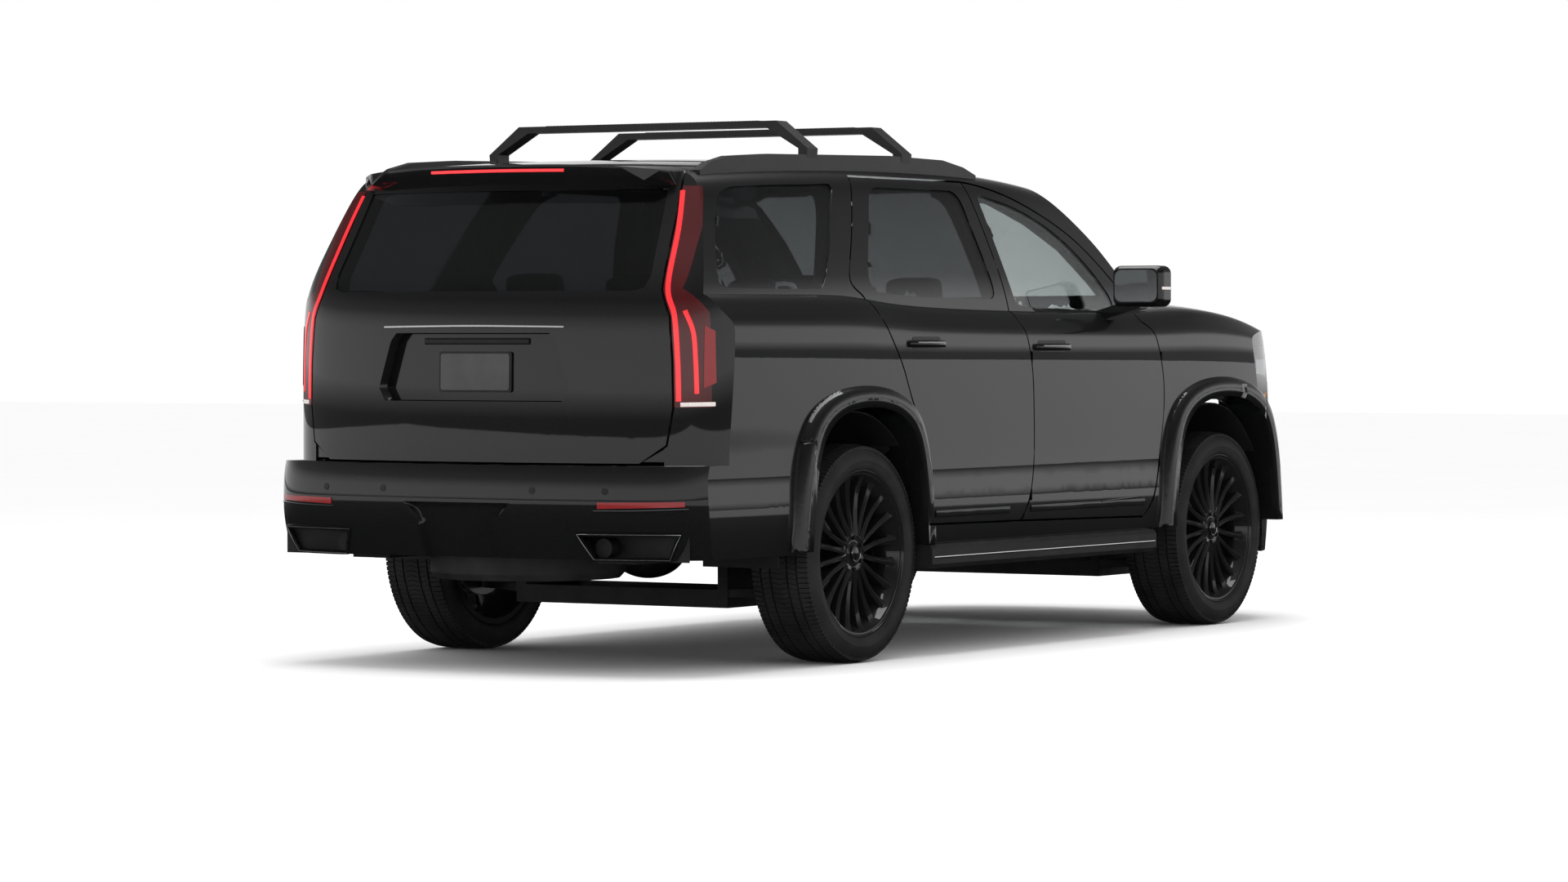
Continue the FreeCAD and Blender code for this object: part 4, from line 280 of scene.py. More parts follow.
@dataclass(frozen=True)
class Glazing:
    """Safety glass with its tint, thin enough to bend what is behind it only a little."""

    name: str
    tint: Colour
    deeper: float = 0.85
    wave_scale: float = 0.8
    ior: float = 1.10
    coat_ior: float = 1.5

    def material(self) -> Material:
        """Makes the glass's material.

        Returns:
            The material.
        """
        shader = Shader(self.name)
        deep = tuple(value * self.deeper for value in self.tint)
        shader.two_colours(shader.noise(self.wave_scale, 2.0), self.tint, deep)
        shader.set(Transmission_Weight=1.0, IOR=self.ior, Roughness=0.0, Specular_IOR_Level=0.5,
                   Coat_Weight=1.0, Coat_Roughness=0.0, Coat_IOR=self.coat_ior)
        return shader.material


@dataclass(frozen=True)
class Glow:
    """A coloured lens or strip that gives a little light of its own; on the reflectors, which are no lamps, this light
    is a painted glow.
    """

    name: str
    colour: Colour
    light: Colour
    strength: float
    scale: float = 140.0
    dimmer: float = 0.6
    swing: float = 0.2
    roughness: float = 0.25
    coat_roughness: float = 0.02

    def material(self) -> Material:
        """Makes the lamp's material.

        Returns:
            The material.
        """
        shader = Shader(self.name)
        cells = shader.noise(self.scale, 1.0)
        shader.two_colours(cells, self.colour, tuple(value * self.dimmer for value in self.colour))
        low, high = self.strength * (1.0 - self.swing), self.strength * (1.0 + self.swing)
        shader.varies("Emission Strength", cells, low, high)
        shader.set(Emission_Color=(*self.light, 1.0), Roughness=self.roughness, Coat_Weight=1.0,
                   Coat_Roughness=self.coat_roughness)
        return shader.material


class Finish(Enum):
    """Every finish on the suv."""

    PAINT = Paint()
    GLOSS_BLACK = Paint("gloss_black", (0.0035, 0.0035, 0.0038), (0.0050, 0.0050, 0.0055), 0.28)
    MATTE_BLACK = Moulding("matte_black", (0.010, 0.010, 0.011), (0.015, 0.015, 0.016), 0.55)
    SATIN_BLACK = Moulding("satin_black", (0.007, 0.007, 0.008), (0.011, 0.011, 0.012), 0.32, depth=0.0001)
    RUBBER = Moulding("tyre_rubber", (0.011, 0.011, 0.011), (0.018, 0.018, 0.018), 0.62, 420.0, 0.0004)
    WHEEL = Paint("wheel_black", (0.006, 0.006, 0.0065), (0.012, 0.012, 0.013), 0.30)
    CAST = Metal("cast_iron", (0.10, 0.10, 0.10), (0.16, 0.16, 0.16), 0.55, 0.7, (1.0, 1.0, 1.0))
    STEEL = Metal("brushed_steel", (0.42, 0.42, 0.43), (0.56, 0.56, 0.57), 0.32)
    CHASSIS = Moulding("chassis_coat", (0.008, 0.008, 0.009), (0.014, 0.014, 0.015), 0.50, 40.0, 0.0006)
    ALLOY = Metal("cast_alloy", (0.30, 0.30, 0.31), (0.42, 0.42, 0.43), 0.48, 0.9, (1.0, 1.0, 1.0))
    BRIGHT = Metal("bright_trim", (0.70, 0.70, 0.71), (0.80, 0.80, 0.81), 0.10)
    LEATHER = Moulding("seat_leather", (0.020, 0.018, 0.017), (0.032, 0.029, 0.027), 0.48, 330.0, 0.0005)
    TRIM = Moulding("cabin_trim", (0.016, 0.015, 0.015), (0.026, 0.025, 0.024), 0.6, 300.0, 0.0004)
    CLEAR_GLASS = Glazing("clear_glass", (0.62, 0.66, 0.66))
    DARK_GLASS = Glazing("dark_glass", (0.10, 0.105, 0.11))
    MIRROR = Metal("mirror_silver", (0.82, 0.83, 0.84), (0.88, 0.89, 0.90), 0.02)
    LAMP_RED = Glow("lamp_red", (0.30, 0.006, 0.008), (1.0, 0.035, 0.045), 0.9)
    LAMP_LENS = Glow("lamp_lens", (0.045, 0.002, 0.003), (1.0, 0.03, 0.04), 0.03, 18.0)
    # Painted glow: reflectors give no light, so this faint red emission stands in for the light they bounce back.
    REFLECTOR = Glow("reflector", (0.20, 0.004, 0.006), (1.0, 0.03, 0.04), 0.06, 300.0)
    PLATE = Moulding("blank_plate", (0.030, 0.030, 0.032), (0.040, 0.040, 0.042), 0.22, 60.0, 0.0, 0.6)
    LAMP_WHITE = Glow("lamp_white", (0.55, 0.50, 0.48), (1.0, 0.93, 0.88), 0.35)
    AMBER = Glow("marker_amber", (0.55, 0.16, 0.01), (1.0, 0.35, 0.03), 0.5)

    def dress(self, thing: Object) -> None:
        """Gives an object this finish as its only material."""
        thing.data.materials.clear()
        thing.data.materials.append(material_of(self))


@cache
def material_of(finish: Finish) -> Material:
    """Makes a finish's material on first use, and keeps it."""
    return finish.value.material()


# Meshes
SMOOTH_DEGREES = 35.0
HAIR = 1e-5


def smoothed_faces(mesh: Mesh, degrees: float) -> None:
    """Shades a mesh smooth, apart from edges sharper than an angle in degrees."""
    mesh.shade_smooth()
    mesh.set_sharp_from_angle(angle=math.radians(degrees))


def linked(name: str, data: bpy.types.ID) -> Object:
    """Puts data into the scene as a new object.

    Args:
        name: Name of the object.
        data: Its mesh, camera or lamp.

    Returns:
        The object.
    """
    thing = bpy.data.objects.new(name, data)
    bpy.context.scene.collection.objects.link(thing)
    return thing


def carried(thing: Object, body: str, slot: str) -> None:
    """Puts a finished piece on its body.

    Args:
        thing: The piece.
        body: Body it rides on.
        slot: Not used.
    """
    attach(thing, body)


def mesh_object(name: str, bm: BMesh, finish: Finish,
                smooth: float | None = SMOOTH_DEGREES) -> Object:
    """Turns a bmesh into a linked object with one finish.

    Args:
        name: Name of the piece.
        bm: Its mesh, which is freed.
        finish: Its finish.
        smooth: Angle in degrees under which edges are smooth, or None for flat faces.

    Returns:
        The new object, at the origin.
    """
    mesh = bpy.data.meshes.new(name)
    bm.to_mesh(mesh)
    bm.free()
    thing = linked(name, mesh)
    if smooth is not None:
        smoothed_faces(mesh, smooth)
    finish.dress(thing)
    return thing


def closed(bm: BMesh) -> BMesh:
    """Merges doubles and turns the faces outwards.

    Args:
        bm: A mesh of closed shells.

    Returns:
        The same mesh.
    """
    bmesh.ops.remove_doubles(bm, verts=bm.verts, dist=HAIR)
    bmesh.ops.recalc_face_normals(bm, faces=bm.faces)
    return bm


def add_loft(bm: BMesh, rings: list[list[Vector]], caps: bool = True, loop: bool = False) -> None:
    """Adds the skin through rings of points, each ring closed on itself.

    Args:
        bm: Mesh to add to.
        rings: Rings with the same number of points.
        caps: Whether the first and last ring get a face.
        loop: Whether the last ring joins the first.
    """
    rows = [[bm.verts.new(point) for point in ring] for ring in rings]
    count = len(rows[0])
    pairs = list(zip(rows, rows[1:])) + ([(rows[-1], rows[0])] if loop else [])
    for low, top in pairs:
        for index in range(count):
            after = (index + 1) % count
            bm.faces.new((low[index], low[after], top[after], top[index]))
    if caps and not loop:
        bm.faces.new(list(reversed(rows[0])))
        bm.faces.new(rows[-1])


def add_box(bm: BMesh, low: Point, top: Point) -> None:
    """Adds a box between two corners.

    Args:
        bm: Mesh to add to.
        low: Its corner with the least coordinates.
        top: Its corner with the greatest coordinates.
    """
    place = Matrix.Translation((Vector(low) + Vector(top)) / 2)
    size = Vector(top) - Vector(low)
    bmesh.ops.create_cube(bm, size=1.0, matrix=place @ Matrix.Diagonal((*size, 1.0)))


def circle(radius: float, count: int) -> list[Pair]:
    """Even points round a circle about its middle."""
    angles = (2 * math.pi * k / count for k in range(count))
    return [(radius * math.cos(angle), radius * math.sin(angle)) for angle in angles]


def rounded_ring(half_wide: float, half_tall: float, radius: float, steps: int = 4) -> list[Pair]:
    """Makes points round a rectangle with rounded corners, about its middle.

    Args:
        half_wide: Half its width.
        half_tall: Half its height.
        radius: Radius of its corners.
        steps: Runs in each corner.

    Returns:
        The points, in order.
    """
    points = []
    for corner, (sx, sy) in enumerate(((1, 1), (-1, 1), (-1, -1), (1, -1))):
        for step in range(steps + 1):
            angle = math.pi / 2 * (corner + step / steps)
            points.append((sx * (half_wide - radius) + radius * math.cos(angle),
                           sy * (half_tall - radius) + radius * math.sin(angle)))
    return points


def smoothed(points: list[Point], steps: int = 6, loop: bool = False) -> list[Vector]:
    """Points of a smooth curve through given points.

    Args:
        points: Points to pass through.
        steps: Points per run.
        loop: Whether the curve closes on itself.

    Returns:
        The curve's points, with the given ones among them.
    """
    fixed = [Vector(point) for point in points]
    count = len(fixed)
    runs = count if loop else count - 1
    result = []
    for run in range(runs):
        four = [fixed[(run + shift) % count] if loop else fixed[min(max(run + shift, 0), count - 1)]
                for shift in (-1, 0, 1, 2)]
        for step in range(steps):
            t = step / steps
            result.append(0.5 * (2 * four[1] + (four[2] - four[0]) * t
                                 + (2 * four[0] - 5 * four[1] + 4 * four[2] - four[3]) * t * t
                                 + (3 * four[1] - four[0] - 3 * four[2] + four[3]) * t * t * t))
    if not loop:
        result.append(fixed[-1])
    return result


def add_strip(bm: BMesh, path: list[Vector], section: list[Pair], side: Vector | list[Vector],
              loop: bool = False) -> None:
    """Adds a bar with one section along a path.

    Args:
        bm: Mesh to add to.
        path: Points of the path.
        section: Points of the section, first along the side, then square to path and side.
        side: Direction of the section's first axis, one for all or one for each point.
        loop: Whether the path closes on itself.
    """
    count = len(path)
    rings = []
    for index, point in enumerate(path):
        before = path[(index - 1) % count] if loop else path[max(index - 1, 0)]
        after = path[(index + 1) % count] if loop else path[min(index + 1, count - 1)]
        run = (after - before).normalized()
        across = side[index] if isinstance(side, list) else side
        across = (across - run * across.dot(run)).normalized()
        up = run.cross(across)
        rings.append([point + across * u + up * v for u, v in section])
    add_loft(bm, rings, caps=not loop, loop=loop)


# The body's surfaces
WHEELBASE = 3.071
REAR_AXLE_X = -1.361
FRONT_AXLE_X = REAR_AXLE_X + WHEELBASE
LENGTH = 5.382
REAR_OVERHANG = 1.330
FRONT_OVERHANG = LENGTH - WHEELBASE - REAR_OVERHANG
BODY_HALF = 0.999
ROOF = 1.940


def along(share: float) -> float:
    """X of a place given as a share of the wheelbase ahead of the rear axle."""
    return REAR_AXLE_X + share * WHEELBASE


def high(share: float) -> float:
    """Z of a place given as a share of the roof's height."""
    return share * ROOF


def wide(share: float) -> float:
    """Y of a place given as a share of the body's half width."""
    return share * BODY_HALF


def spline_weights(count: int, samples: int) -> np.ndarray:
    """Weights of a clamped uniform cubic B-spline's poles at even parameters.

    Args:
        count: Number of poles.
        samples: Number of parameters.

    Returns:
        One row of weights for each parameter.
    """
    degree = min(3, count - 1)
    spans = count - degree
    knots = np.array([0.0] * degree + [i / spans for i in range(spans + 1)] + [1.0] * degree)
    places = np.linspace(0.0, 1.0 - 1e-9, samples)[:, None]
    weights = ((knots[:-1] <= places) & (places < knots[1:])).astype(float)
    for order in range(1, degree + 1):
        size = len(knots) - 1 - order
        left = knots[order:order + size] - knots[:size]
        right = knots[order + 1:order + 1 + size] - knots[1:1 + size]
        rise = np.where(left > 0, (places - knots[:size]) / np.where(left > 0, left, 1), 0.0)
        behind = knots[order + 1:order + 1 + size] - places
        fall = np.where(right > 0, behind / np.where(right > 0, right, 1), 0.0)
        weights = rise * weights[:, :size] + fall * weights[:, 1:size + 1]
    return weights


class Skin:
    """One smooth surface of the body, which gives its nearest point and true normal."""

    def __init__(self, rows: Rows, outward: Vector, fine: tuple[int, int] = (160, 160)) -> None:
        """Samples the surface whose poles are the given rows.

        Args:
            rows: Rows of poles.
            outward: A direction its normals agree with on the whole.
            fine: Samples along the rows and across them.
        """
        poles = np.array(rows, dtype=float)
        first = spline_weights(poles.shape[0], fine[0])
        second = spline_weights(poles.shape[1], fine[1])
        grid = np.einsum("ia,jb,abk->ijk", first, second, poles)
        normals = np.cross(np.gradient(grid, axis=0), np.gradient(grid, axis=1))
        length = np.linalg.norm(normals, axis=2, keepdims=True)
        normals = normals / np.where(length > 1e-12, length, 1.0)
        if normals.reshape(-1, 3).mean(axis=0) @ np.array(outward) < 0:
            normals = -normals
        self.points = [Vector(point) for point in grid.reshape(-1, 3)]
        self.normals = [Vector(normal) for normal in normals.reshape(-1, 3)]
        wide_count = fine[1]
        self.faces = [
            (row * wide_count + col, row * wide_count + col + 1, (row + 1) * wide_count + col + 1,
             (row + 1) * wide_count + col)
            for row in range(fine[0] - 1) for col in range(wide_count - 1)]
        self.tree = BVHTree.FromPolygons(self.points, self.faces)

    def blended(self, place: Vector, index: int) -> Vector:
        """Blends the normal at a place on one of the sampled faces.

        Args:
            place: The place.
            index: Number of the face.

        Returns:
            The unit normal.
        """
        corners = self.faces[index]
        weights = poly_3d_calc([self.points[c] for c in corners], place)
        normal = Vector((0.0, 0.0, 0.0))
        for corner, weight in zip(corners, weights):
            normal += self.normals[corner] * weight
        return normal.normalized()

    def nearest(self, place: Vector, reach: float) -> Found | None:
        """The nearest point within a reach, with its normal."""
        spot, _, index, _ = self.tree.find_nearest(place, reach)
        return None if spot is None else (spot, self.blended(spot, index))

    def hit(self, start: Vector, direction: Vector) -> Found | None:
        """Where a ray meets the surface, with the normal there."""
        spot, _, index, _ = self.tree.ray_cast(start, direction)
        return None if spot is None else (spot, self.blended(spot, index))


def mirrored_row(x: float, half: list[Pair]) -> list[Point]:
    """Makes a full pole row at one station from one half of it.

    Args:
        x: The station.
        half: Its (y, z) places, from the edge to the centre.

    Returns:
        The row, from the right edge to the left one.
    """
    right = [(x, -y, z) for y, z in half]
    left = [(x, y, z) for y, z in reversed(half)]
    return right + (left[1:] if half[-1][0] == 0 else left)


def faced_row(z: float, half: list[Pair]) -> list[Point]:
    """A full pole row at one height from (y, x) places, listed from the centre to the edge."""
    return [(x, -y, z) for y, x in reversed(half)] + [(x, y, z) for y, x in half[1:]]


@dataclass
class BodySkins:
    """The surfaces that the panels were cut from."""

    section: Table = (
        (0.965, 0.130), (0.985, 0.215), (1.004, 0.290), (0.990, 0.365), (0.996, 0.470), (1.002, 0.580),
        (1.003, 0.655), (0.998, 0.674), (0.972, 0.695), (0.938, 0.727))
    stations: Table = (
        (-0.450, 0.955, 0.735), (-0.300, 0.975, 0.735), (-0.120, 0.993, 0.735), (0.000, 1.000, 0.736),
        (0.100, 1.000, 0.716), (0.300, 1.000, 0.708), (0.600, 1.000, 0.704), (0.800, 0.998, 0.704),
        (0.930, 0.995, 0.716), (1.050, 0.990, 0.704), (1.150, 0.975, 0.682), (1.240, 0.950, 0.645),
        (1.340, 0.920, 0.600))
    deck: Table = ((0.86, 0.0), (0.70, 0.6), (0.35, 1.0), (0.0, 1.0))
    deck_crown: float = 0.020
    fixed_height: float = 0.580
    shoulder_height: float = 0.735
    nose_across: Table = (
        (0.0, 1.0), (0.30, 0.995), (0.58, 0.955), (0.78, 0.86), (0.90, 0.70), (0.97, 0.46), (1.04, 0.10))
    nose_up: Table = (
        (0.10, -0.060), (0.20, -0.010), (0.32, 0.0), (0.48, -0.004), (0.60, -0.030), (0.68, -0.085),
        (0.80, -0.22))
    tail_across: Table = (
        (0.0, 0.0), (0.30, 0.008), (0.58, 0.040), (0.80, 0.085), (0.93, 0.150), (1.00, 0.260), (1.06, 0.42))
    tail_up: Table = (
        (0.15, 0.93), (0.38, 0.930), (0.50, 0.930), (0.62, 0.928), (0.70, 0.922), (0.745, 0.900),
        (0.82, 0.830), (0.92, 0.745), (1.02, 0.660), (1.08, 0.600))
    bumper_bow: float = 0.85
    bumper_up: Table = (
        (0.10, 0.900), (0.19, 0.930), (0.24, 0.975), (0.29, 0.998), (0.34, 1.0), (0.39, 0.994), (0.42, 0.975),
        (0.50, 0.95))
    cabin_section: Table = (
        (0.925, 0.600), (0.930, 0.680), (0.925, 0.745), (0.880, 0.830), (0.822, 0.925), (0.775, 0.978),
        (0.660, 0.996))
    cabin_stations: Table = (
        (-0.420, 0.965, 0.958), (-0.250, 0.985, 0.980), (0.0, 1.0, 0.995), (0.250, 1.0, 1.0),
        (0.450, 1.0, 0.995), (0.620, 0.995, 0.975), (0.800, 0.985, 0.930), (1.000, 0.97, 0.88))
    roof_crown: float = 0.008
    roof_crown_half: float = 0.33
    screen_across: Table = (
        (0.0, 0.0), (0.30, -0.008), (0.58, -0.035), (0.76, -0.075), (0.88, -0.130), (1.00, -0.22))
    screen_up: Table = (
        (0.60, 1.110), (0.72, 0.945), (0.78, 0.885), (0.84, 0.826), (0.90, 0.750), (0.945, 0.686),
        (0.985, 0.612), (1.02, 0.500), (1.08, 0.300))
    glass_inset: float = 0.003
    flank_samples: tuple[int, int] = (220, 260)
    cabin_samples: tuple[int, int] = (180, 260)
    ray_start: float = 4.0
    skins: dict[str, Skin] = field(default_factory=dict)

    def build(self) -> None:
        """Samples every surface."""
        up, ahead, behind = Vector((0, 0, 1)), Vector((1, 0, 0)), Vector((-1, 0, 0))
        inset = self.glass_inset
        self.skins = {
            "flank": Skin(self.flank_rows(), up, self.flank_samples),
            "nose": Skin(self.nose_rows(), ahead),
            "tail": Skin(self.tail_rows(0.0), behind),
            "bumper": Skin(self.bumper_rows(), behind),
            "cabin": Skin(self.cabin_rows(0.0), up, self.cabin_samples),
            "screen": Skin(self.screen_rows(0.0), ahead),
            "cabin_glass": Skin(self.cabin_rows(inset), up, self.cabin_samples),
            "screen_glass": Skin(self.screen_rows(inset), ahead),
            "tail_glass": Skin(self.tail_rows(inset), behind)}

    def flank_rows(self) -> Rows:
        """Places the poles of the lower body.

        Returns:
            One row of poles for each station.
        """
        rows = []
        for x, width, top in self.stations:
            half = []
            for y, z in self.section:
                rise = max(0.0, z - self.fixed_height) / (self.shoulder_height - self.fixed_height)
                height = min(z, self.fixed_height) + rise * (top - self.fixed_height)
                half.append((wide(y * width), high(height)))
            half += [(wide(y * width), high(top + self.deck_crown * crown)) for y, crown in self.deck]
            rows.append(mirrored_row(along(x), half))
        return rows

    def nose_rows(self) -> Rows:
        """Poles of the front face."""
        return [faced_row(high(z), [(wide(y), FRONT_AXLE_X + FRONT_OVERHANG * (reach + back))
                                    for y, reach in self.nose_across]) for z, back in self.nose_up]

    def tail_rows(self, inset: float) -> Rows:
        """Poles of the rear face, moved inwards by an inset."""
        return [faced_row(high(z), [(wide(y), REAR_AXLE_X - REAR_OVERHANG * (back - forward) + inset)
                                    for y, forward in self.tail_across]) for z, back in self.tail_up]

    def bumper_rows(self) -> Rows:
        """Places the poles of the rear bumper's face.

        Returns:
            One row of poles for each height.
        """
        bow = self.bumper_bow
        return [faced_row(high(z), [(wide(y), REAR_AXLE_X - REAR_OVERHANG * (back - forward * bow))
                                    for y, forward in self.tail_across]) for z, back in self.bumper_up]

    def cabin_rows(self, inset: float) -> Rows:
        """Places the poles of the greenhouse.

        Args:
            inset: How far the surface is moved inwards.

        Returns:
            One row of poles for each station.
        """
        base = self.cabin_section[0][1]
        rows = []
        for x, width, top in self.cabin_stations:
            half = []
            for index, (y, z) in enumerate(self.cabin_section):
                lowered = inset * index / (len(self.cabin_section) - 1)
                height = high(base + (z - base) * (top - base) / (1 - base))
                half.append((wide(y * width) - inset, height - lowered))
            crown = high(top + self.roof_crown) - inset
            half += [(wide(self.roof_crown_half * width), crown), (0.0, crown)]
            rows.append(mirrored_row(along(x), half))
        return rows

    def screen_rows(self, inset: float) -> Rows:
        """Poles of the windscreen, moved inwards by an inset."""
        return [faced_row(high(z), [(wide(y), along(forward + back) - inset) for y, back in self.screen_across])
                for z, forward in self.screen_up]

    def match(self, place: Vector, normal: Vector, reach: float, names: tuple[str, ...],
              facing: float = 0.9) -> str | None:
        """The surface that a face lies on.

        Args:
            place: Middle of the face.
            normal: Its normal.
            reach: How far it may be off.
            names: Surfaces to try.
            facing: How well the normals must agree, from 0 to 1.

        Returns:
            The surface's name, or None.
        """
        best, best_gap = None, reach
        for name in names:
            found = self.skins[name].nearest(place, best_gap)
            if found and found[1].dot(normal) > facing:
                best, best_gap = name, (found[0] - place).length
        return best

    def rear_at(self, y: float, z: float) -> Found | None:
        """The rear face's place and normal across and up."""
        return self.skins["tail"].hit(Vector((-self.ray_start, y, z)), Vector((1, 0, 0)))

    def bumper_at(self, y: float, z: float) -> Found | None:
        """The rear bumper's place and normal across and up."""
        return self.skins["bumper"].hit(Vector((-self.ray_start, y, z)), Vector((1, 0, 0)))

    def front_at(self, y: float, z: float) -> Found | None:
        """The front face's place and normal across and up."""
        return self.skins["nose"].hit(Vector((self.ray_start, y, z)), Vector((-1, 0, 0)))


SKINS = BodySkins()


@dataclass
class SmoothPanel:
    """A copy of a CAD panel whose outer faces are refined and follow the body's true surfaces."""

    node: str
    body: str
    finish: Finish
    slot: str
    surfaces: tuple[str, ...] = ("flank", "cabin", "tail", "nose", "screen", "bumper")
    reach: float = 0.004
    cell: float = 0.055
    angle: float = 32.0
    facing: float = 0.9
    merge: float = 2e-5
    across: float = 0.8

    def build(self) -> None:
        """Makes the panel in place of its node."""
        bm = bmesh.new()
        bm.from_mesh(frame["nodes"][self.node].data)
        bmesh.ops.remove_doubles(bm, verts=bm.verts, dist=self.merge)
        bmesh.ops.dissolve_degenerate(bm, edges=bm.edges, dist=HAIR)
        skin_of = self.cut(bm)
        mesh = bpy.data.meshes.new(self.node + "_skin")
        normals = self.normals(bm, skin_of)
        bm.to_mesh(mesh)
        bm.free()
        smoothed_faces(mesh, self.angle)
        mesh.normals_split_custom_set(normals)
        piece = linked(self.node + "_skin", mesh)
        self.finish.dress(piece)
        carried(piece, self.body, self.slot)
        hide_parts(self.node)

    def classify(self, bm: BMesh) -> bmesh.types.BMLayerItem:
        """Marks each face with the number of the surface it lies on, from one.

        Args:
            bm: The panel's mesh.

        Returns:
            The layer that holds the numbers.
        """
        layer = bm.faces.layers.int.get("skin") or bm.faces.layers.int.new("skin")
        for face in bm.faces:
            name = SKINS.match(face.calc_center_median(), face.normal, self.reach, self.surfaces, self.facing)
            face[layer] = self.surfaces.index(name) + 1 if name else 0
        return layer

    def cut(self, bm: BMesh) -> list[int]:
        """Cuts the outer faces into cells and moves the new corners onto the surfaces.

        Args:
            bm: The panel's mesh.

        Returns:
            For each face the number of its surface, or -1.
        """
        layer = self.classify(bm)
        bm.verts.ensure_lookup_table()
        old = set(bm.verts)
        low = [min(v.co[axis] for v in bm.verts) for axis in range(3)]
        top = [max(v.co[axis] for v in bm.verts) for axis in range(3)]
        for axis in range(3):
            normal = Vector([1.0 if k == axis else 0.0 for k in range(3)])
            steps = int((top[axis] - low[axis]) / self.cell)
            for step in range(1, steps + 1):
                level = low[axis] + (top[axis] - low[axis]) * step / (steps + 1)
                faces = [f for f in bm.faces if f[layer] and abs(f.normal[axis]) < self.across
                         and min(v.co[axis] for v in f.verts) < level - HAIR
                         and level + HAIR < max(v.co[axis] for v in f.verts)]
                if not faces:
                    continue
                edges = {e for f in faces for e in f.edges}
                verts = {v for f in faces for v in f.verts}
                bmesh.ops.bisect_plane(bm, geom=faces + list(edges) + list(verts), dist=1e-6,
                                       plane_co=normal * level, plane_no=normal)
        bmesh.ops.triangulate(bm, faces=[f for f in bm.faces if len(f.verts) > 4])
        for vertex in bm.verts:
            if vertex in old:
                continue
            kinds = {f[layer] for f in vertex.link_faces if f[layer]}
            if len(kinds) == 1:
                found = SKINS.skins[self.surfaces[kinds.pop() - 1]].nearest(vertex.co, 2 * self.reach)
                if found:
                    vertex.co = found[0]
        bm.normal_update()
        bm.faces.ensure_lookup_table()
        return [f[layer] - 1 for f in bm.faces]

    def normals(self, bm: BMesh, skin_of: list[int]) -> list[Point]:
        """Finds the true normal of each face corner.

        Args:
            bm: The panel's mesh.
            skin_of: For each face the number of its surface, or -1.

        Returns:
            The normals, which are zeros off the surfaces.
        """
        result = []
        for number, face in zip(skin_of, bm.faces):
            skin = SKINS.skins[self.surfaces[number]] if number >= 0 else None
            for loop in face.loops:
                found = skin.nearest(loop.vert.co, 3 * self.reach) if skin else None
                result.append(tuple(found[1]) if found else (0.0, 0.0, 0.0))
        return result


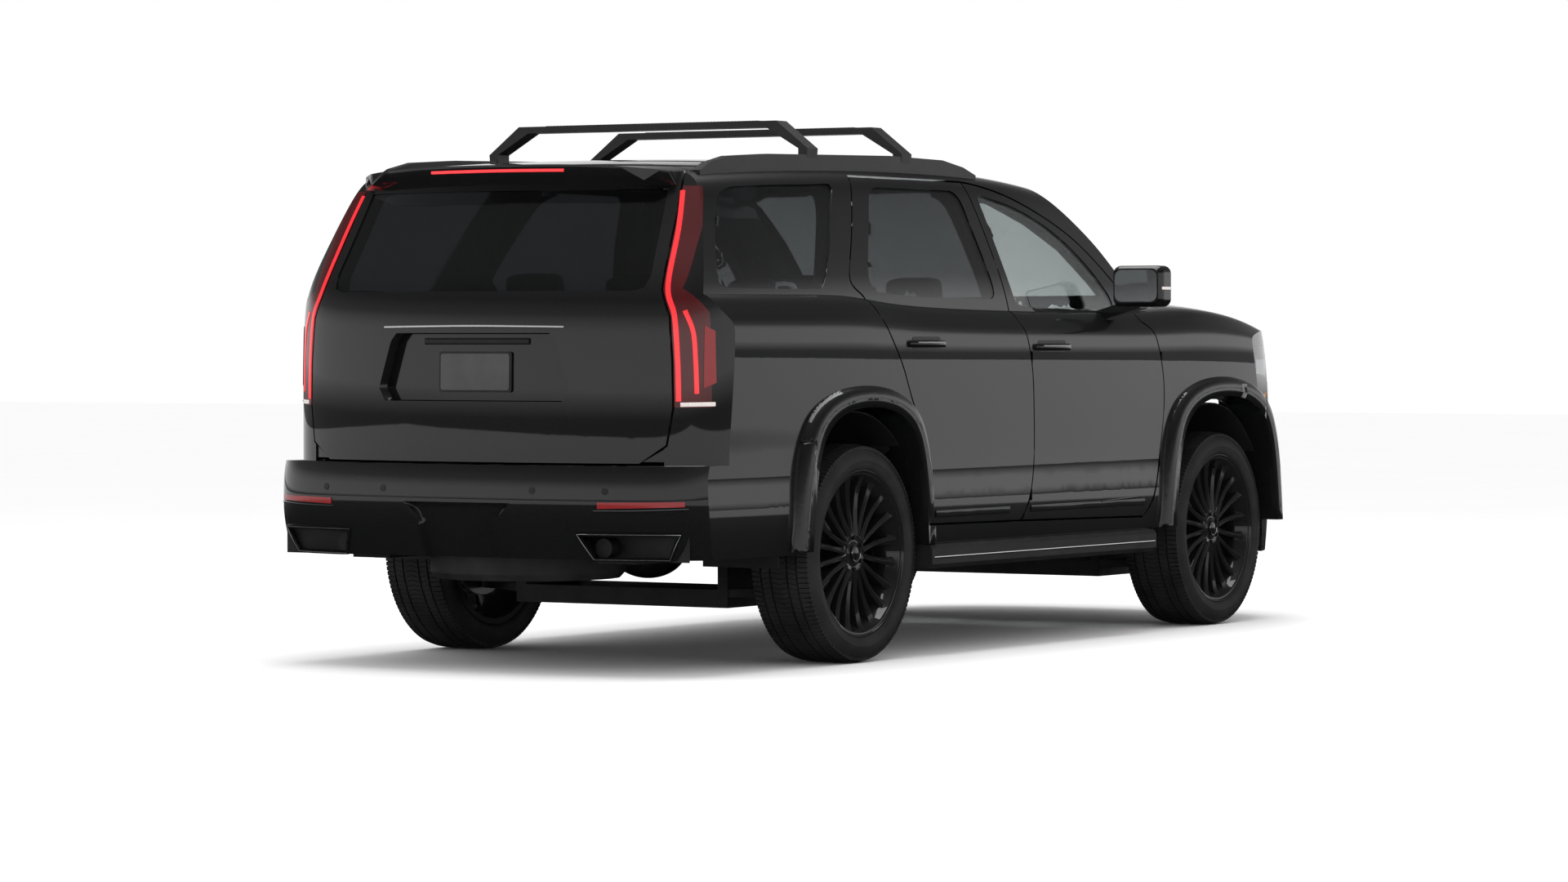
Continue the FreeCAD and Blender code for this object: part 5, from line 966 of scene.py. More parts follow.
# The studio
@dataclass
class Studio:
    """Floor, background, lamp and the camera."""

    camera_place: Point = (-18.025, -10.729, 1.2375)
    camera_turn_degrees: Pair = (88.851, -58.768)
    lens: float = 115.815
    sensor: float = 36.0
    sight: float = 400.0
    floor_half: float = 60.0
    floor_drop: float = 0.0005
    floor_pale: tuple[Colour, Colour] = ((0.955, 0.955, 0.955), (0.965, 0.965, 0.965))
    floor_in_gloss: tuple[Pair, Pair] = ((14.5, 18.0), (0.012, 0.75))
    sky: Table = (
        (0.0, 0.01), (0.496, 0.02), (0.504, 0.80), (0.550, 0.75), (0.610, 0.20), (0.720, 0.05), (1.0, 0.16))
    sky_blue: float = 1.01
    lamp_size: Pair = (9.0, 5.0)
    lamp_power: float = 420.0
    lamp_height: float = 7.0

    def build(self) -> None:
        """Makes the studio."""
        bpy.context.scene.view_settings.view_transform = "Standard"
        self.camera()
        self.floor()
        self.world()
        self.lamp()

    def camera(self) -> None:
        """Puts the camera where the photograph was taken."""
        data = bpy.data.cameras.new("camera")
        data.lens = self.lens
        data.sensor_width = self.sensor
        data.clip_end = self.sight
        camera = linked("camera", data)
        camera.location = self.camera_place
        pitch, turn = self.camera_turn_degrees
        camera.rotation_euler = (math.radians(pitch), 0.0, math.radians(turn))
        bpy.context.scene.camera = camera

    def floor(self) -> None:
        """Lays a pale floor that keeps the shadow, and that glossy paint sees as dark nearby."""
        bm = bmesh.new()
        bmesh.ops.create_grid(bm, x_segments=1, y_segments=1, size=self.floor_half)
        floor = mesh_object("floor", bm, Finish.MATTE_BLACK, None)
        floor.location.z = -self.floor_drop
        shader = Shader("pale_floor")
        shader.set(Roughness=0.9, Specular_IOR_Level=0.0)
        shader.two_colours(shader.noise(0.6, 2.0), *self.floor_pale)
        span = shader.tree.nodes.new("ShaderNodeVectorMath")
        span.operation = "LENGTH"
        shader.link(shader.place, "Object", span, "Vector")
        reach = shader.tree.nodes.new("ShaderNodeMapRange")
        limits = (*self.floor_in_gloss[0], *self.floor_in_gloss[1])
        for key, value in zip(("From Min", "From Max", "To Min", "To Max"), limits):
            reach.inputs[key].default_value = value
        shader.link(span, "Value", reach, "Value")
        dark = shader.tree.nodes.new("ShaderNodeEmission")
        shader.link(reach, "Result", dark, "Strength")
        path = shader.tree.nodes.new("ShaderNodeLightPath")
        mixed = shader.tree.nodes.new("ShaderNodeMixShader")
        shader.link(path, "Is Glossy Ray", mixed, "Fac")
        shader.tree.links.new(shader.surface.outputs["BSDF"], mixed.inputs[1])
        shader.tree.links.new(dark.outputs["Emission"], mixed.inputs[2])
        shader.link(mixed, "Shader", shader.output, "Surface")
        floor.data.materials.clear()
        floor.data.materials.append(shader.material)

    def world(self) -> None:
        """Makes a white background, and a soft studio for what the paint and glass reflect."""
        world = bpy.data.worlds.new("studio")
        bpy.context.scene.world = world
        world.use_nodes = True
        tree = world.node_tree
        tree.nodes.clear()
        link = tree.links.new
        output = tree.nodes.new("ShaderNodeOutputWorld")
        white, mirror = (tree.nodes.new("ShaderNodeBackground") for _ in range(2))
        white.inputs["Color"].default_value = (1.0, 1.0, 1.0, 1.0)
        self.sky_ramp(tree, mirror)
        path = tree.nodes.new("ShaderNodeLightPath")
        glossy = tree.nodes.new("ShaderNodeMixShader")
        link(path.outputs["Is Glossy Ray"], glossy.inputs["Fac"])
        link(white.outputs[0], glossy.inputs[1])
        link(mirror.outputs[0], glossy.inputs[2])
        seen = tree.nodes.new("ShaderNodeMixShader")
        either = tree.nodes.new("ShaderNodeMath")
        either.operation = "MAXIMUM"
        link(path.outputs["Is Camera Ray"], either.inputs[0])
        link(path.outputs["Is Transmission Ray"], either.inputs[1])
        link(either.outputs[0], seen.inputs["Fac"])
        link(glossy.outputs[0], seen.inputs[1])
        link(white.outputs[0], seen.inputs[2])
        link(seen.outputs[0], output.inputs["Surface"])

    def sky_ramp(self, tree: NodeTree, mirror: Node) -> None:
        """Colours the reflected sky by its height over the horizon.

        Args:
            tree: The world's node tree.
            mirror: Background that glossy rays see.
        """
        place = tree.nodes.new("ShaderNodeTexCoord")
        split = tree.nodes.new("ShaderNodeSeparateXYZ")
        tree.links.new(place.outputs["Generated"], split.inputs[0])
        rise = tree.nodes.new("ShaderNodeMapRange")
        rise.inputs["From Min"].default_value = -1.0
        rise.inputs["From Max"].default_value = 1.0
        tree.links.new(split.outputs["Z"], rise.inputs["Value"])
        ramp = tree.nodes.new("ShaderNodeValToRGB")
        while len(ramp.color_ramp.elements) < len(self.sky):
            ramp.color_ramp.elements.new(0.5)
        for element, (position, value) in zip(ramp.color_ramp.elements, self.sky):
            element.position = position
            element.color = (value, value, value * self.sky_blue, 1.0)
        tree.links.new(rise.outputs["Result"], ramp.inputs["Fac"])
        tree.links.new(ramp.outputs["Color"], mirror.inputs["Color"])

    def lamp(self) -> None:
        """Hangs a large soft lamp over the vehicle."""
        data = bpy.data.lights.new("overhead", "AREA")
        data.shape = "RECTANGLE"
        data.size, data.size_y = self.lamp_size
        data.energy = self.lamp_power
        lamp = linked("overhead", data)
        lamp.location = (0.0, 0.0, self.lamp_height)


# What keeps its CAD shape
CORNERS = ("front_right", "front_left", "rear_right", "rear_left")


@dataclass
class CarriedNodes:
    """CAD nodes that stay as they are and get a finish."""

    finishes: tuple[tuple[Finish, tuple[str, ...]], ...] = (
        (Finish.CHASSIS, ("chassis_frame", "front_suspension", "rear_suspension", "exhaust")),
        (Finish.ALLOY, ("engine", "radiator")),
        (Finish.CAST, ("knuckle_right", "knuckle_left")),
        (Finish.TRIM, ("floor_pan", "dashboard")),
        (Finish.LEATHER, ("steering_wheel",)),
        (Finish.MATTE_BLACK, ("running_boards", "cowl")),
        (Finish.GLOSS_BLACK, ("grille", "mirror_right", "mirror_left")),
        (Finish.CLEAR_GLASS, ("headlamps",)),
        (Finish.SATIN_BLACK, ("roof_rails", "cross_bars")),
        (Finish.RUBBER, ("spare_wheel", *(f"tyre_{corner}" for corner in CORNERS))),
        (Finish.WHEEL, tuple(f"wheel_{corner}" for corner in CORNERS)))

    def build(self) -> None:
        """Gives each carried node its finish."""
        for finish, nodes in self.finishes:
            for node in nodes:
                finish.dress(frame["nodes"][node])


@dataclass
class PaintedShell:
    """Every painted panel, as a smooth copy of its node."""

    fixed: tuple[str, ...] = (
        "bodyside_right", "bodyside_left", "front_fenders", "roof_panel", "front_bumper", "rear_bumper")
    gate_match: Pair = (0.0018, 0.99)

    def build(self) -> None:
        """Makes the panels of the shell, the doors, the hood and the tailgate."""
        for node in self.fixed:
            SmoothPanel(node, "shell", Finish.PAINT, "paint").build()
        SmoothPanel("hood", "hood_lid", Finish.PAINT, "paint").build()
        reach, facing = self.gate_match
        SmoothPanel("tailgate", "tailgate_lid", Finish.PAINT, "paint", reach=reach, facing=facing).build()
        for side in Side:
            for end in ("front", "rear"):
                SmoothPanel(f"door_{end}_{side.word}", f"{end}_{side.word}_door", Finish.PAINT, "paint").build()


@dataclass
class Windows:
    """Every pane, as a smooth copy of its node."""

    surfaces: tuple[str, ...] = ("cabin_glass", "screen_glass", "tail_glass")
    reach: float = 0.003
    cell: float = 0.08

    def build(self) -> None:
        """Makes all panes."""
        panes = [("windshield", "shell", Finish.CLEAR_GLASS), ("quarter_glass", "shell", Finish.DARK_GLASS),
                 ("rear_glass", "tailgate_lid", Finish.DARK_GLASS)]
        for side in Side:
            panes.append((f"door_front_glass_{side.word}", f"front_{side.word}_door", Finish.CLEAR_GLASS))
            panes.append((f"door_rear_glass_{side.word}", f"rear_{side.word}_door", Finish.DARK_GLASS))
        for node, body, finish in panes:
            SmoothPanel(node, body, finish, finish.value.name, self.surfaces, self.reach, self.cell).build()


# Repeats
class RepeatTree:
    """A Geometry Nodes tree that repeats a mesh, with named inputs."""

    def __init__(self, name: str, inputs: dict[str, str]) -> None:
        """Starts the tree with its inputs and its output.

        Args:
            name: Name of the tree.
            inputs: Names and kinds of the inputs besides the mesh and the material.
        """
        self.tree = bpy.data.node_groups.new(name, "GeometryNodeTree")
        face = self.tree.interface
        face.new_socket("Geometry", in_out="OUTPUT", socket_type="NodeSocketGeometry")
        self.sockets = {
            key: face.new_socket(key, in_out="INPUT", socket_type="NodeSocket" + kind).identifier
            for key, kind in {"Geometry": "Geometry", **inputs, "Material": "Material"}.items()}
        self.start = self.tree.nodes.new("NodeGroupInput")
        self.placed = self.tree.nodes.new("GeometryNodeInstanceOnPoints")
        self.join()

    def join(self) -> None:
        """Links the repeated mesh to its places, makes it real and gives it its material."""
        end = self.tree.nodes.new("NodeGroupOutput")
        solid = self.tree.nodes.new("GeometryNodeRealizeInstances")
        dress = self.tree.nodes.new("GeometryNodeSetMaterial")
        link = self.tree.links.new
        link(self.start.outputs["Geometry"], self.placed.inputs["Instance"])
        link(self.placed.outputs[0], solid.inputs[0])
        link(solid.outputs[0], dress.inputs["Geometry"])
        link(self.start.outputs["Material"], dress.inputs["Material"])
        link(dress.outputs[0], end.inputs[0])

    def baked(self, bm: BMesh, finish: Finish, name: str, **values: object) -> Mesh:
        """Repeats a mesh and turns the result into a plain one.

        Args:
            bm: The mesh that is repeated, which is freed.
            finish: Finish of the result.
            name: Name of the result.
            values: Values of the tree's own inputs.

        Returns:
            The repeated mesh.
        """
        thing = mesh_object(name + "_source", bm, finish, None)
        modifier = thing.modifiers.new("repeat", "NODES")
        modifier.node_group = self.tree
        for key, value in values.items():
            modifier[self.sockets[key]] = value
        modifier[self.sockets["Material"]] = material_of(finish)
        shown = thing.evaluated_get(bpy.context.evaluated_depsgraph_get())
        mesh = bpy.data.meshes.new_from_object(shown)
        mesh.name = name
        thing.modifiers.clear()
        bpy.data.objects.remove(thing)
        return mesh


class RingTree(RepeatTree):
    """Repeats a mesh round the Y axis."""

    def __init__(self) -> None:
        """Builds the tree: as many points in the middle as copies, each turned by its share."""
        super().__init__("ring_repeat", {"Count": "Int"})
        nodes, link = self.tree.nodes, self.tree.links.new
        points = nodes.new("GeometryNodePoints")
        index = nodes.new("GeometryNodeInputIndex")
        turn = nodes.new("ShaderNodeMath")
        turn.operation = "MULTIPLY"
        share = nodes.new("ShaderNodeMath")
        share.operation = "DIVIDE"
        share.inputs[0].default_value = 2.0 * math.pi
        spin = nodes.new("ShaderNodeCombineXYZ")
        link(self.start.outputs["Count"], points.inputs["Count"])
        link(self.start.outputs["Count"], share.inputs[1])
        link(index.outputs[0], turn.inputs[0])
        link(share.outputs[0], turn.inputs[1])
        link(turn.outputs[0], spin.inputs["Y"])
        link(points.outputs[0], self.placed.inputs["Points"])
        link(spin.outputs[0], self.placed.inputs["Rotation"])

    def apply(self, bm: BMesh, count: int, finish: Finish, name: str) -> Mesh:
        """Repeats a mesh, which is freed, round the Y axis through the origin."""
        return self.baked(bm, finish, name, Count=count)


class RowTree(RepeatTree):
    """Repeats a mesh along a line."""

    def __init__(self) -> None:
        """Builds the tree: a line of points, each with a copy."""
        super().__init__("row_repeat", {"Count": "Int", "Start": "Vector", "Step": "Vector"})
        line = self.tree.nodes.new("GeometryNodeMeshLine")
        line.mode = "OFFSET"
        for key, target in (("Count", "Count"), ("Start", "Start Location"), ("Step", "Offset")):
            self.tree.links.new(self.start.outputs[key], line.inputs[target])
        self.tree.links.new(line.outputs[0], self.placed.inputs["Points"])

    def apply(self, bm: BMesh, count: int, start: Point, step: Point, finish: Finish,
              name: str) -> Mesh:
        """Repeats a mesh, which is freed, from a start by even steps."""
        return self.baked(bm, finish, name, Count=count, Start=start, Step=step)


RINGS = RingTree()
ROWS = RowTree()


def settled(name: str, mesh: Mesh, body: str, slot: str, smooth: float | None = SMOOTH_DEGREES,
            place: Matrix | None = None) -> Object:
    """Makes a finished piece of a mesh, on its body.

    Args:
        name: Name of the piece.
        mesh: Its mesh.
        body: Body it rides on.
        slot: Its material slot.
        smooth: Angle in degrees under which edges are smooth, or None for flat faces.
        place: Where the mesh goes.

    Returns:
        The piece.
    """
    if place is not None:
        mesh.transform(place)
    piece = linked(name, mesh)
    if smooth is not None:
        smoothed_faces(mesh, smooth)
    carried(piece, body, slot)
    return piece


def revolved(profile: list[Pair], steps: int) -> BMesh:
    """Turns a closed profile round the Y axis.

    Args:
        profile: Its (y, radius) points.
        steps: Number of facets round the axis.

    Returns:
        The closed mesh.
    """
    bm = bmesh.new()
    add_loft(bm, [[Vector((radius * math.sin(angle), y, radius * math.cos(angle)))
                   for angle in (2 * math.pi * k / steps for k in range(steps))] for y, radius in profile],
             loop=True)
    return closed(bm)


# Wheels and tyres
@dataclass
class Tyre:
    """A road tyre: a carcass with bead and sidewall rings, and a tread of blocks.

    In its own frame the axle is Y, and +Y looks away from the vehicle.
    """

    radius: float = 0.419
    bead: float = 0.305
    groove: float = 0.0085
    pitches: int = 66
    steps: int = 144
    flat_half: float = 0.070
    crown_fall: Pair = (2.6, 130.0)
    shoulder_block: Table = (
        (0.0825, 0.02), (0.100, 0.02), (0.117, 0.04), (0.1235, 0.06), (0.1235, 0.42), (0.117, 0.43),
        (0.100, 0.44), (0.0825, 0.46))
    slanted_block: Table = ((0.0405, 0.03), (0.0755, 0.21), (0.0755, 0.66), (0.0405, 0.48))
    centre_blocks: tuple[Table, Table] = (
        ((-0.0335, 0.02), (0.0, 0.20), (0.0, 0.64), (-0.0335, 0.46)),
        ((0.0, 0.20), (0.0335, 0.02), (0.0335, 0.46), (0.0, 0.64)))
    block_shifts: Pair = (0.0, 0.5)
    block_slope: float = 0.12
    centre_slope: float = 0.05
    slope_across: float = 0.3
    block_foot: float = 0.002

    def carcass(self) -> BMesh:
        """Makes the carcass with its sidewalls.

        Returns:
            The closed mesh.
        """
        r, g = self.radius, self.groove
        half = [
            (0.0, r - g), (0.080, r - g - 0.0005), (0.108, r - g - 0.003), (0.1185, r - 0.014),
            (0.1265, r - 0.026), (0.1325, r - 0.040), (0.1362, r - 0.052), (0.1370, r - 0.060),
            (0.1374, r - 0.0615), (0.1374, r - 0.0645), (0.1366, r - 0.066), (0.1355, r - 0.076),
            (0.1335, r - 0.086), (0.1300, r - 0.0935), (0.1275, r - 0.0955), (0.1262, r - 0.0972),
            (0.1215, r - 0.0985), (0.1185, self.bead + 0.012), (0.1180, self.bead)]
        inner = [(0.104, self.bead), (0.104, self.bead + 0.02), (0.120, r - 0.055), (0.100, r - 0.030),
                 (0.0, r - 0.024)]
        outline = half + inner
        outline += [(-y, radius) for y, radius in reversed(outline[1:-1])]
        return revolved(outline, self.steps)

    def surface(self, y: float, angle: float, depth: float) -> Vector:
        """Finds a point of the crowned tread.

        Args:
            y: Place across.
            angle: Angle round the axle, in radians.
            depth: Depth under the tread.

        Returns:
            The point.
        """
        over = max(0.0, abs(y) - self.flat_half)
        radius = self.radius - depth - self.crown_fall[0] * over * over - self.crown_fall[1] * over ** 4
        return Vector((radius * math.sin(angle), y, radius * math.cos(angle)))

    def block(self, bm: BMesh, corners: list[Pair], slope: float) -> None:
        """Adds one block of the tread.

        Args:
            bm: Mesh to add to.
            corners: Places across and shares of a pitch, in order round the block.
            slope: Share by which the foot is longer than the top.
        """
        pitch = 2 * math.pi / self.pitches
        middle = (sum(c[0] for c in corners) / len(corners), sum(c[1] for c in corners) / len(corners))
        top, foot = [], []
        for y, share in corners:
            top.append(self.surface(y, share * pitch, 0.0))
            foot_y = y + (y - middle[0]) * slope * self.slope_across
            foot_angle = (share + (share - middle[1]) * slope) * pitch
            foot.append(self.surface(foot_y, foot_angle, self.groove + self.block_foot))
        add_loft(bm, [foot, top])

    def tread(self) -> Mesh:
        """Makes the ring of tread blocks.

        Returns:
            The mesh.
        """
        bm = bmesh.new()
        for sign in (-1, 1):
            for corners in (self.shoulder_block, self.slanted_block):
                for shift in self.block_shifts:
                    self.block(bm, [(sign * y, share + shift) for y, share in corners], self.block_slope)
        for shift in self.block_shifts:
            for corners in self.centre_blocks:
                self.block(bm, [(y, share + shift) for y, share in corners], self.centre_slope)
        return RINGS.apply(closed(bm), self.pitches, Finish.RUBBER, "tread")


@dataclass
class RoadWheel:
    """A cast wheel with ten twin blades, its rim and a plain cap.

    In its own frame the axle is Y, and +Y looks away from the vehicle.
    """

    rim_radius: float = 0.321
    half_width: float = 0.125
    seat: float = 0.305
    wall: float = 0.009
    face: float = 0.098
    pairs: int = 10
    blade_stations: Table = (
        (0.066, 0.013, 0.0115, 0.094, 0.050, 0.30), (0.105, 0.0165, 0.0110, 0.090, 0.048, 0.22),
        (0.160, 0.0235, 0.0105, 0.0855, 0.044, 0.10), (0.215, 0.0330, 0.0115, 0.0860, 0.042, 0.0),
        (0.262, 0.0430, 0.0150, 0.0930, 0.045, -0.10), (0.288, 0.0500, 0.0210, 0.1020, 0.055, -0.20),
        (0.303, 0.0540, 0.0270, 0.1090, 0.070, -0.25))
    shoulder_drop: float = 0.0095
    ridge_half: float = 0.0009
    back_share: float = 0.86
    blade_bevel: float = 0.0007
    bevel_degrees: float = 20.0
    nut_rings: Table = ((0.070, 0.0835, 0.0135, 20), (0.0835, 0.0925, 0.0098, 6))
    nut_circle: float = 0.061
    nut_count: int = 6
    valve_radii: Pair = (0.0048, 0.0036)
    valve_length: float = 0.034
    valve_place: Point = (0.0, 0.088, 0.270)
    valve_degrees: float = 68.0

    def rim(self) -> BMesh:
        """Makes the barrel with its rounded outer lip.

        Returns:
            The closed mesh.
        """
        w, s, r = self.half_width, self.seat, self.rim_radius
        return revolved([
            (-w, s - self.wall), (-w, r - 0.002), (-w + 0.002, r), (-w + 0.006, r), (-w + 0.007, s),
            (0.0, s - 0.022), (w - 0.007, s), (w - 0.006, r), (w - 0.003, r + 0.0015), (w, r),
            (w + 0.0008, r - 0.003), (w - 0.001, r - 0.007), (w - 0.006, r - 0.010), (w - 0.012, s - 0.004),
            (w - 0.030, s - 0.013), (w - 0.060, s - 0.030), (0.0, s - 0.034), (-w + 0.03, s - 0.012)], 128)

    def blade(self, bm: BMesh, sign: int) -> None:
        """Adds one blade of a pair, as a chiselled bar that flares into the rim.

        Args:
            bm: Mesh to add to.
            sign: Which of the two it is, -1 or 1.
        """
        rings = []
        for radius, offset, half, ridge, back, lean in self.blade_stations:
            x = sign * offset
            crest = x + sign * lean * half
            shoulder = ridge - self.shoulder_drop
            ring = [(x - half, shoulder), (crest - self.ridge_half, ridge), (crest + self.ridge_half, ridge),
                    (x + half, shoulder), (x + half * self.back_share, back), (x - half * self.back_share, back)]
            rings.append([Vector((u, y, radius)) for u, y in ring])
        add_loft(bm, rings)

    def blades(self) -> Mesh:
        """Makes the ring of twin blades.

        Returns:
            The mesh.
        """
        bm = bmesh.new()
        for sign in (-1, 1):
            self.blade(bm, sign)
        closed(bm)
        sharp = [e for e in bm.edges if e.calc_face_angle(0) > math.radians(self.bevel_degrees)]
        bmesh.ops.bevel(bm, geom=sharp, offset=self.blade_bevel, segments=1, affect="EDGES", profile=0.5)
        return RINGS.apply(bm, self.pairs, Finish.WHEEL, "blades")

    def hub(self) -> BMesh:
        """Makes the hub with a dished face, open behind over the carrier's spindle.

        Returns:
            The closed mesh.
        """
        f = self.face
        return revolved([
            (-0.030, 0.040), (-0.030, 0.085), (0.060, 0.086), (0.078, 0.084), (0.0865, 0.078), (0.0890, 0.070),
            (0.0845, 0.052), (0.0860, 0.044), (f - 0.0075, 0.0385), (f - 0.0075, 0.030), (f - 0.044, 0.030),
            (f - 0.044, 0.040)], 72)

    def cap(self) -> BMesh:
        """Makes the plain cap in the hub's middle.

        Returns:
            The closed mesh.
        """
        f = self.face
        return revolved([
            (f - 0.020, 0.0005), (f - 0.020, 0.031), (f - 0.0045, 0.0338), (f - 0.001, 0.0328), (f, 0.0300),
            (f - 0.0008, 0.0285), (f - 0.0028, 0.0272), (f - 0.0010, 0.020), (f + 0.0006, 0.0005)], 48)

    def ring(self) -> BMesh:
        """Makes the bright edge ring of the cap.

        Returns:
            The closed mesh.
        """
        f = self.face
        return revolved([(f - 0.003, 0.0292), (f + 0.0009, 0.0300), (f + 0.0013, 0.0314),
                         (f + 0.0004, 0.0328), (f - 0.003, 0.0332)], 64)

    def nuts(self) -> Mesh:
        """Makes the ring of wheel nuts in their pockets.

        Returns:
            The mesh.
        """
        bm = bmesh.new()
        for low, top, radius, corners in self.nut_rings:
            places = [(x, self.nut_circle + z) for x, z in circle(radius, corners)]
            add_loft(bm, [[Vector((x, y, z)) for x, z in places] for y in (low, top)])
        return RINGS.apply(closed(bm), self.nut_count, Finish.GLOSS_BLACK, "nuts")

    def valve(self) -> BMesh:
        """Makes the tyre valve beside the rim.

        Returns:
            The closed mesh.
        """
        bm = bmesh.new()
        foot, tip = self.valve_radii
        turn = Matrix.Rotation(math.radians(self.valve_degrees), 4, "X")
        bmesh.ops.create_cone(bm, cap_ends=True, segments=12, radius1=foot, radius2=tip,
                              depth=self.valve_length, matrix=Matrix.Translation(self.valve_place) @ turn)
        return closed(bm)

    def disc(self) -> BMesh:
        """Makes the brake disc with its bell.

        Returns:
            The closed mesh.
        """
        return revolved([
            (-0.0305, 0.040), (-0.0305, 0.110), (-0.0300, 0.202), (-0.0315, 0.205), (-0.0440, 0.205),
            (-0.0445, 0.196), (-0.0495, 0.196), (-0.0500, 0.205), (-0.0625, 0.205), (-0.0640, 0.202),
            (-0.0640, 0.040)], 96)


@dataclass
class Wheels:
    """The four road wheels with their tyres and brake discs."""

    track_half: float = 0.850
    axle_height: float = 0.419
    tyre: Tyre = field(default_factory=Tyre)
    wheel: RoadWheel = field(default_factory=RoadWheel)

    def build(self) -> None:
        """Makes one wheel's meshes and settles a copy of each at every corner."""
        made = [
            ("tyre_carcass", self.mesh("carcass", self.tyre.carcass(), Finish.RUBBER), "tyre", 30.0),
            ("tyre_tread", self.tyre.tread(), "tyre", 25.0),
            ("rim", self.mesh("rim", self.wheel.rim(), Finish.WHEEL), "wheel", 30.0),
            ("blades", self.wheel.blades(), "wheel", 18.0),
            ("hub", self.mesh("hub", self.wheel.hub(), Finish.WHEEL), "wheel", 30.0),
            ("cap", self.mesh("cap", self.wheel.cap(), Finish.GLOSS_BLACK), "gloss_black", 30.0),
            ("cap_ring", self.mesh("cap_ring", self.wheel.ring(), Finish.BRIGHT), "wheel", 40.0),
            ("nuts", self.wheel.nuts(), "wheel", 25.0),
            ("valve", self.mesh("valve", self.wheel.valve(), Finish.GLOSS_BLACK), "wheel", 40.0),
            ("disc", self.mesh("disc", self.wheel.disc(), Finish.STEEL), "steel", 25.0)]
        for end, x in (("front", FRONT_AXLE_X), ("rear", REAR_AXLE_X)):
            for side in Side:
                turn = Matrix.Rotation(math.pi, 4, "Z") if side is Side.RIGHT else Matrix.Identity(4)
                place = Matrix.Translation((x, side.value * self.track_half, self.axle_height)) @ turn
                name = f"{end}_{side.word}"
                for kind, mesh, slot, smooth in made:
                    piece = settled(f"{kind}_{name}", mesh.copy(), name + "_wheel", slot, smooth, place)
                    if kind == "tyre_carcass":
                        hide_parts("tyre_" + name)
                    elif kind == "blades":
                        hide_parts("wheel_" + name)

    def mesh(self, name: str, bm: BMesh, finish: Finish) -> Mesh:
        """Makes a mesh with its finish.

        Args:
            name: Name of the mesh.
            bm: Its shape, which is freed.
            finish: Its finish.

        Returns:
            The mesh.
        """
        mesh = bpy.data.meshes.new(name)
        bm.to_mesh(mesh)
        bm.free()
        mesh.materials.append(material_of(finish))
        return mesh


# Trim laid on the body's surfaces
def laid(points: list[Pair] | Table, where: Finder, steps: int,
         loop: bool) -> tuple[list[Vector], list[Vector]]:
    """Lays a smooth path on a surface.

    Args:
        points: Places as the surface's finder takes them.
        where: Finder that gives the place and normal on the surface.
        steps: Points per run.
        loop: Whether the path closes on itself.

    Returns:
        The path's points and the normals there.
    """
    path, normals = [], []
    for point in smoothed([(a, b, 0.0) for a, b in points], steps, loop):
        found = where(point.x, point.y)
        if found is not None:
            path.append(found[0])
            normals.append(found[1])
    return path, normals


def straightened(points: list[Pair], spacing: float = 0.03) -> list[Pair]:
    """Divides straight runs between places into even steps.

    Args:
        points: The places.
        spacing: Greatest length of a step.

    Returns:
        The places with those between them.
    """
    result = []
    for (a, b), (c, d) in zip(points, points[1:]):
        count = max(1, int(math.hypot(c - a, d - b) / spacing))
        result += [(a + (c - a) * k / count, b + (d - b) * k / count) for k in range(count)]
    return result + [points[-1]]


def on_side(where: Finder, side: Side) -> Finder:
    """Mirrors a finder of (y, z) places, so that y counts outwards on one side.

    Args:
        where: Finder of the surface.
        side: The side.

    Returns:
        The mirrored finder.
    """

    def found(y: float, z: float) -> Found | None:
        """The place and normal at a place outwards and up."""
        return where(side.value * y, z)

    return found


BAR = ((0.5, 0.0), (0.42, 0.8), (0.0, 1.0), (-0.42, 0.8), (-0.5, 0.0), (0.0, -0.4))


def bar_section(width: float, height: float) -> list[Pair]:
    """Section of a low crowned bar of some width and height."""
    return [(height * v, width * u) for u, v in BAR]


def laid_bar(name: str, points: list[Pair] | Table, where: Finder, size: Pair, finish: Finish, body: str,
             slot: str, loop: bool = False, smooth: int = 1) -> None:
    """Makes a crowned bar that follows a surface.

    Args:
        name: Name of the piece.
        points: Places along the bar.
        where: Finder of the surface.
        size: Width of the bar, and how proud it stands.
        finish: Its finish.
        body: Body it rides on.
        slot: Its material slot.
        loop: Whether it closes on itself.
        smooth: Points per run.
    """
    path, normals = laid(points, where, smooth, loop)
    bm = bmesh.new()
    add_strip(bm, path, bar_section(*size), normals, loop)
    carried(mesh_object(name, closed(bm), finish), body, slot)


PLATE_SMOOTH_DEGREES = 50.0


def grid_of(outline: list[Pair] | Table, cell: float) -> BMesh:
    """Fills a closed outline with facets.

    Args:
        outline: Its corners, either way round.
        cell: Size of the facets.

    Returns:
        The flat mesh.
    """
    bm = bmesh.new()
    ring = straightened([*outline, outline[0]], cell)[:-1]
    verts = [bm.verts.new((a, b, 0.0)) for a, b in ring]
    bm.faces.new(verts)
    spans = [(min(v.co[axis] for v in verts), max(v.co[axis] for v in verts)) for axis in (0, 1)]
    for (low, top), normal in zip(spans, (Vector((1.0, 0.0, 0.0)), Vector((0.0, 1.0, 0.0)))):
        steps = int((top - low) / cell)
        for step in range(1, steps + 1):
            level = low + (top - low) * step / (steps + 1)
            bmesh.ops.bisect_plane(bm, geom=bm.verts[:] + bm.edges[:] + bm.faces[:], dist=1e-7,
                                   plane_co=normal * level, plane_no=normal)
    return bm


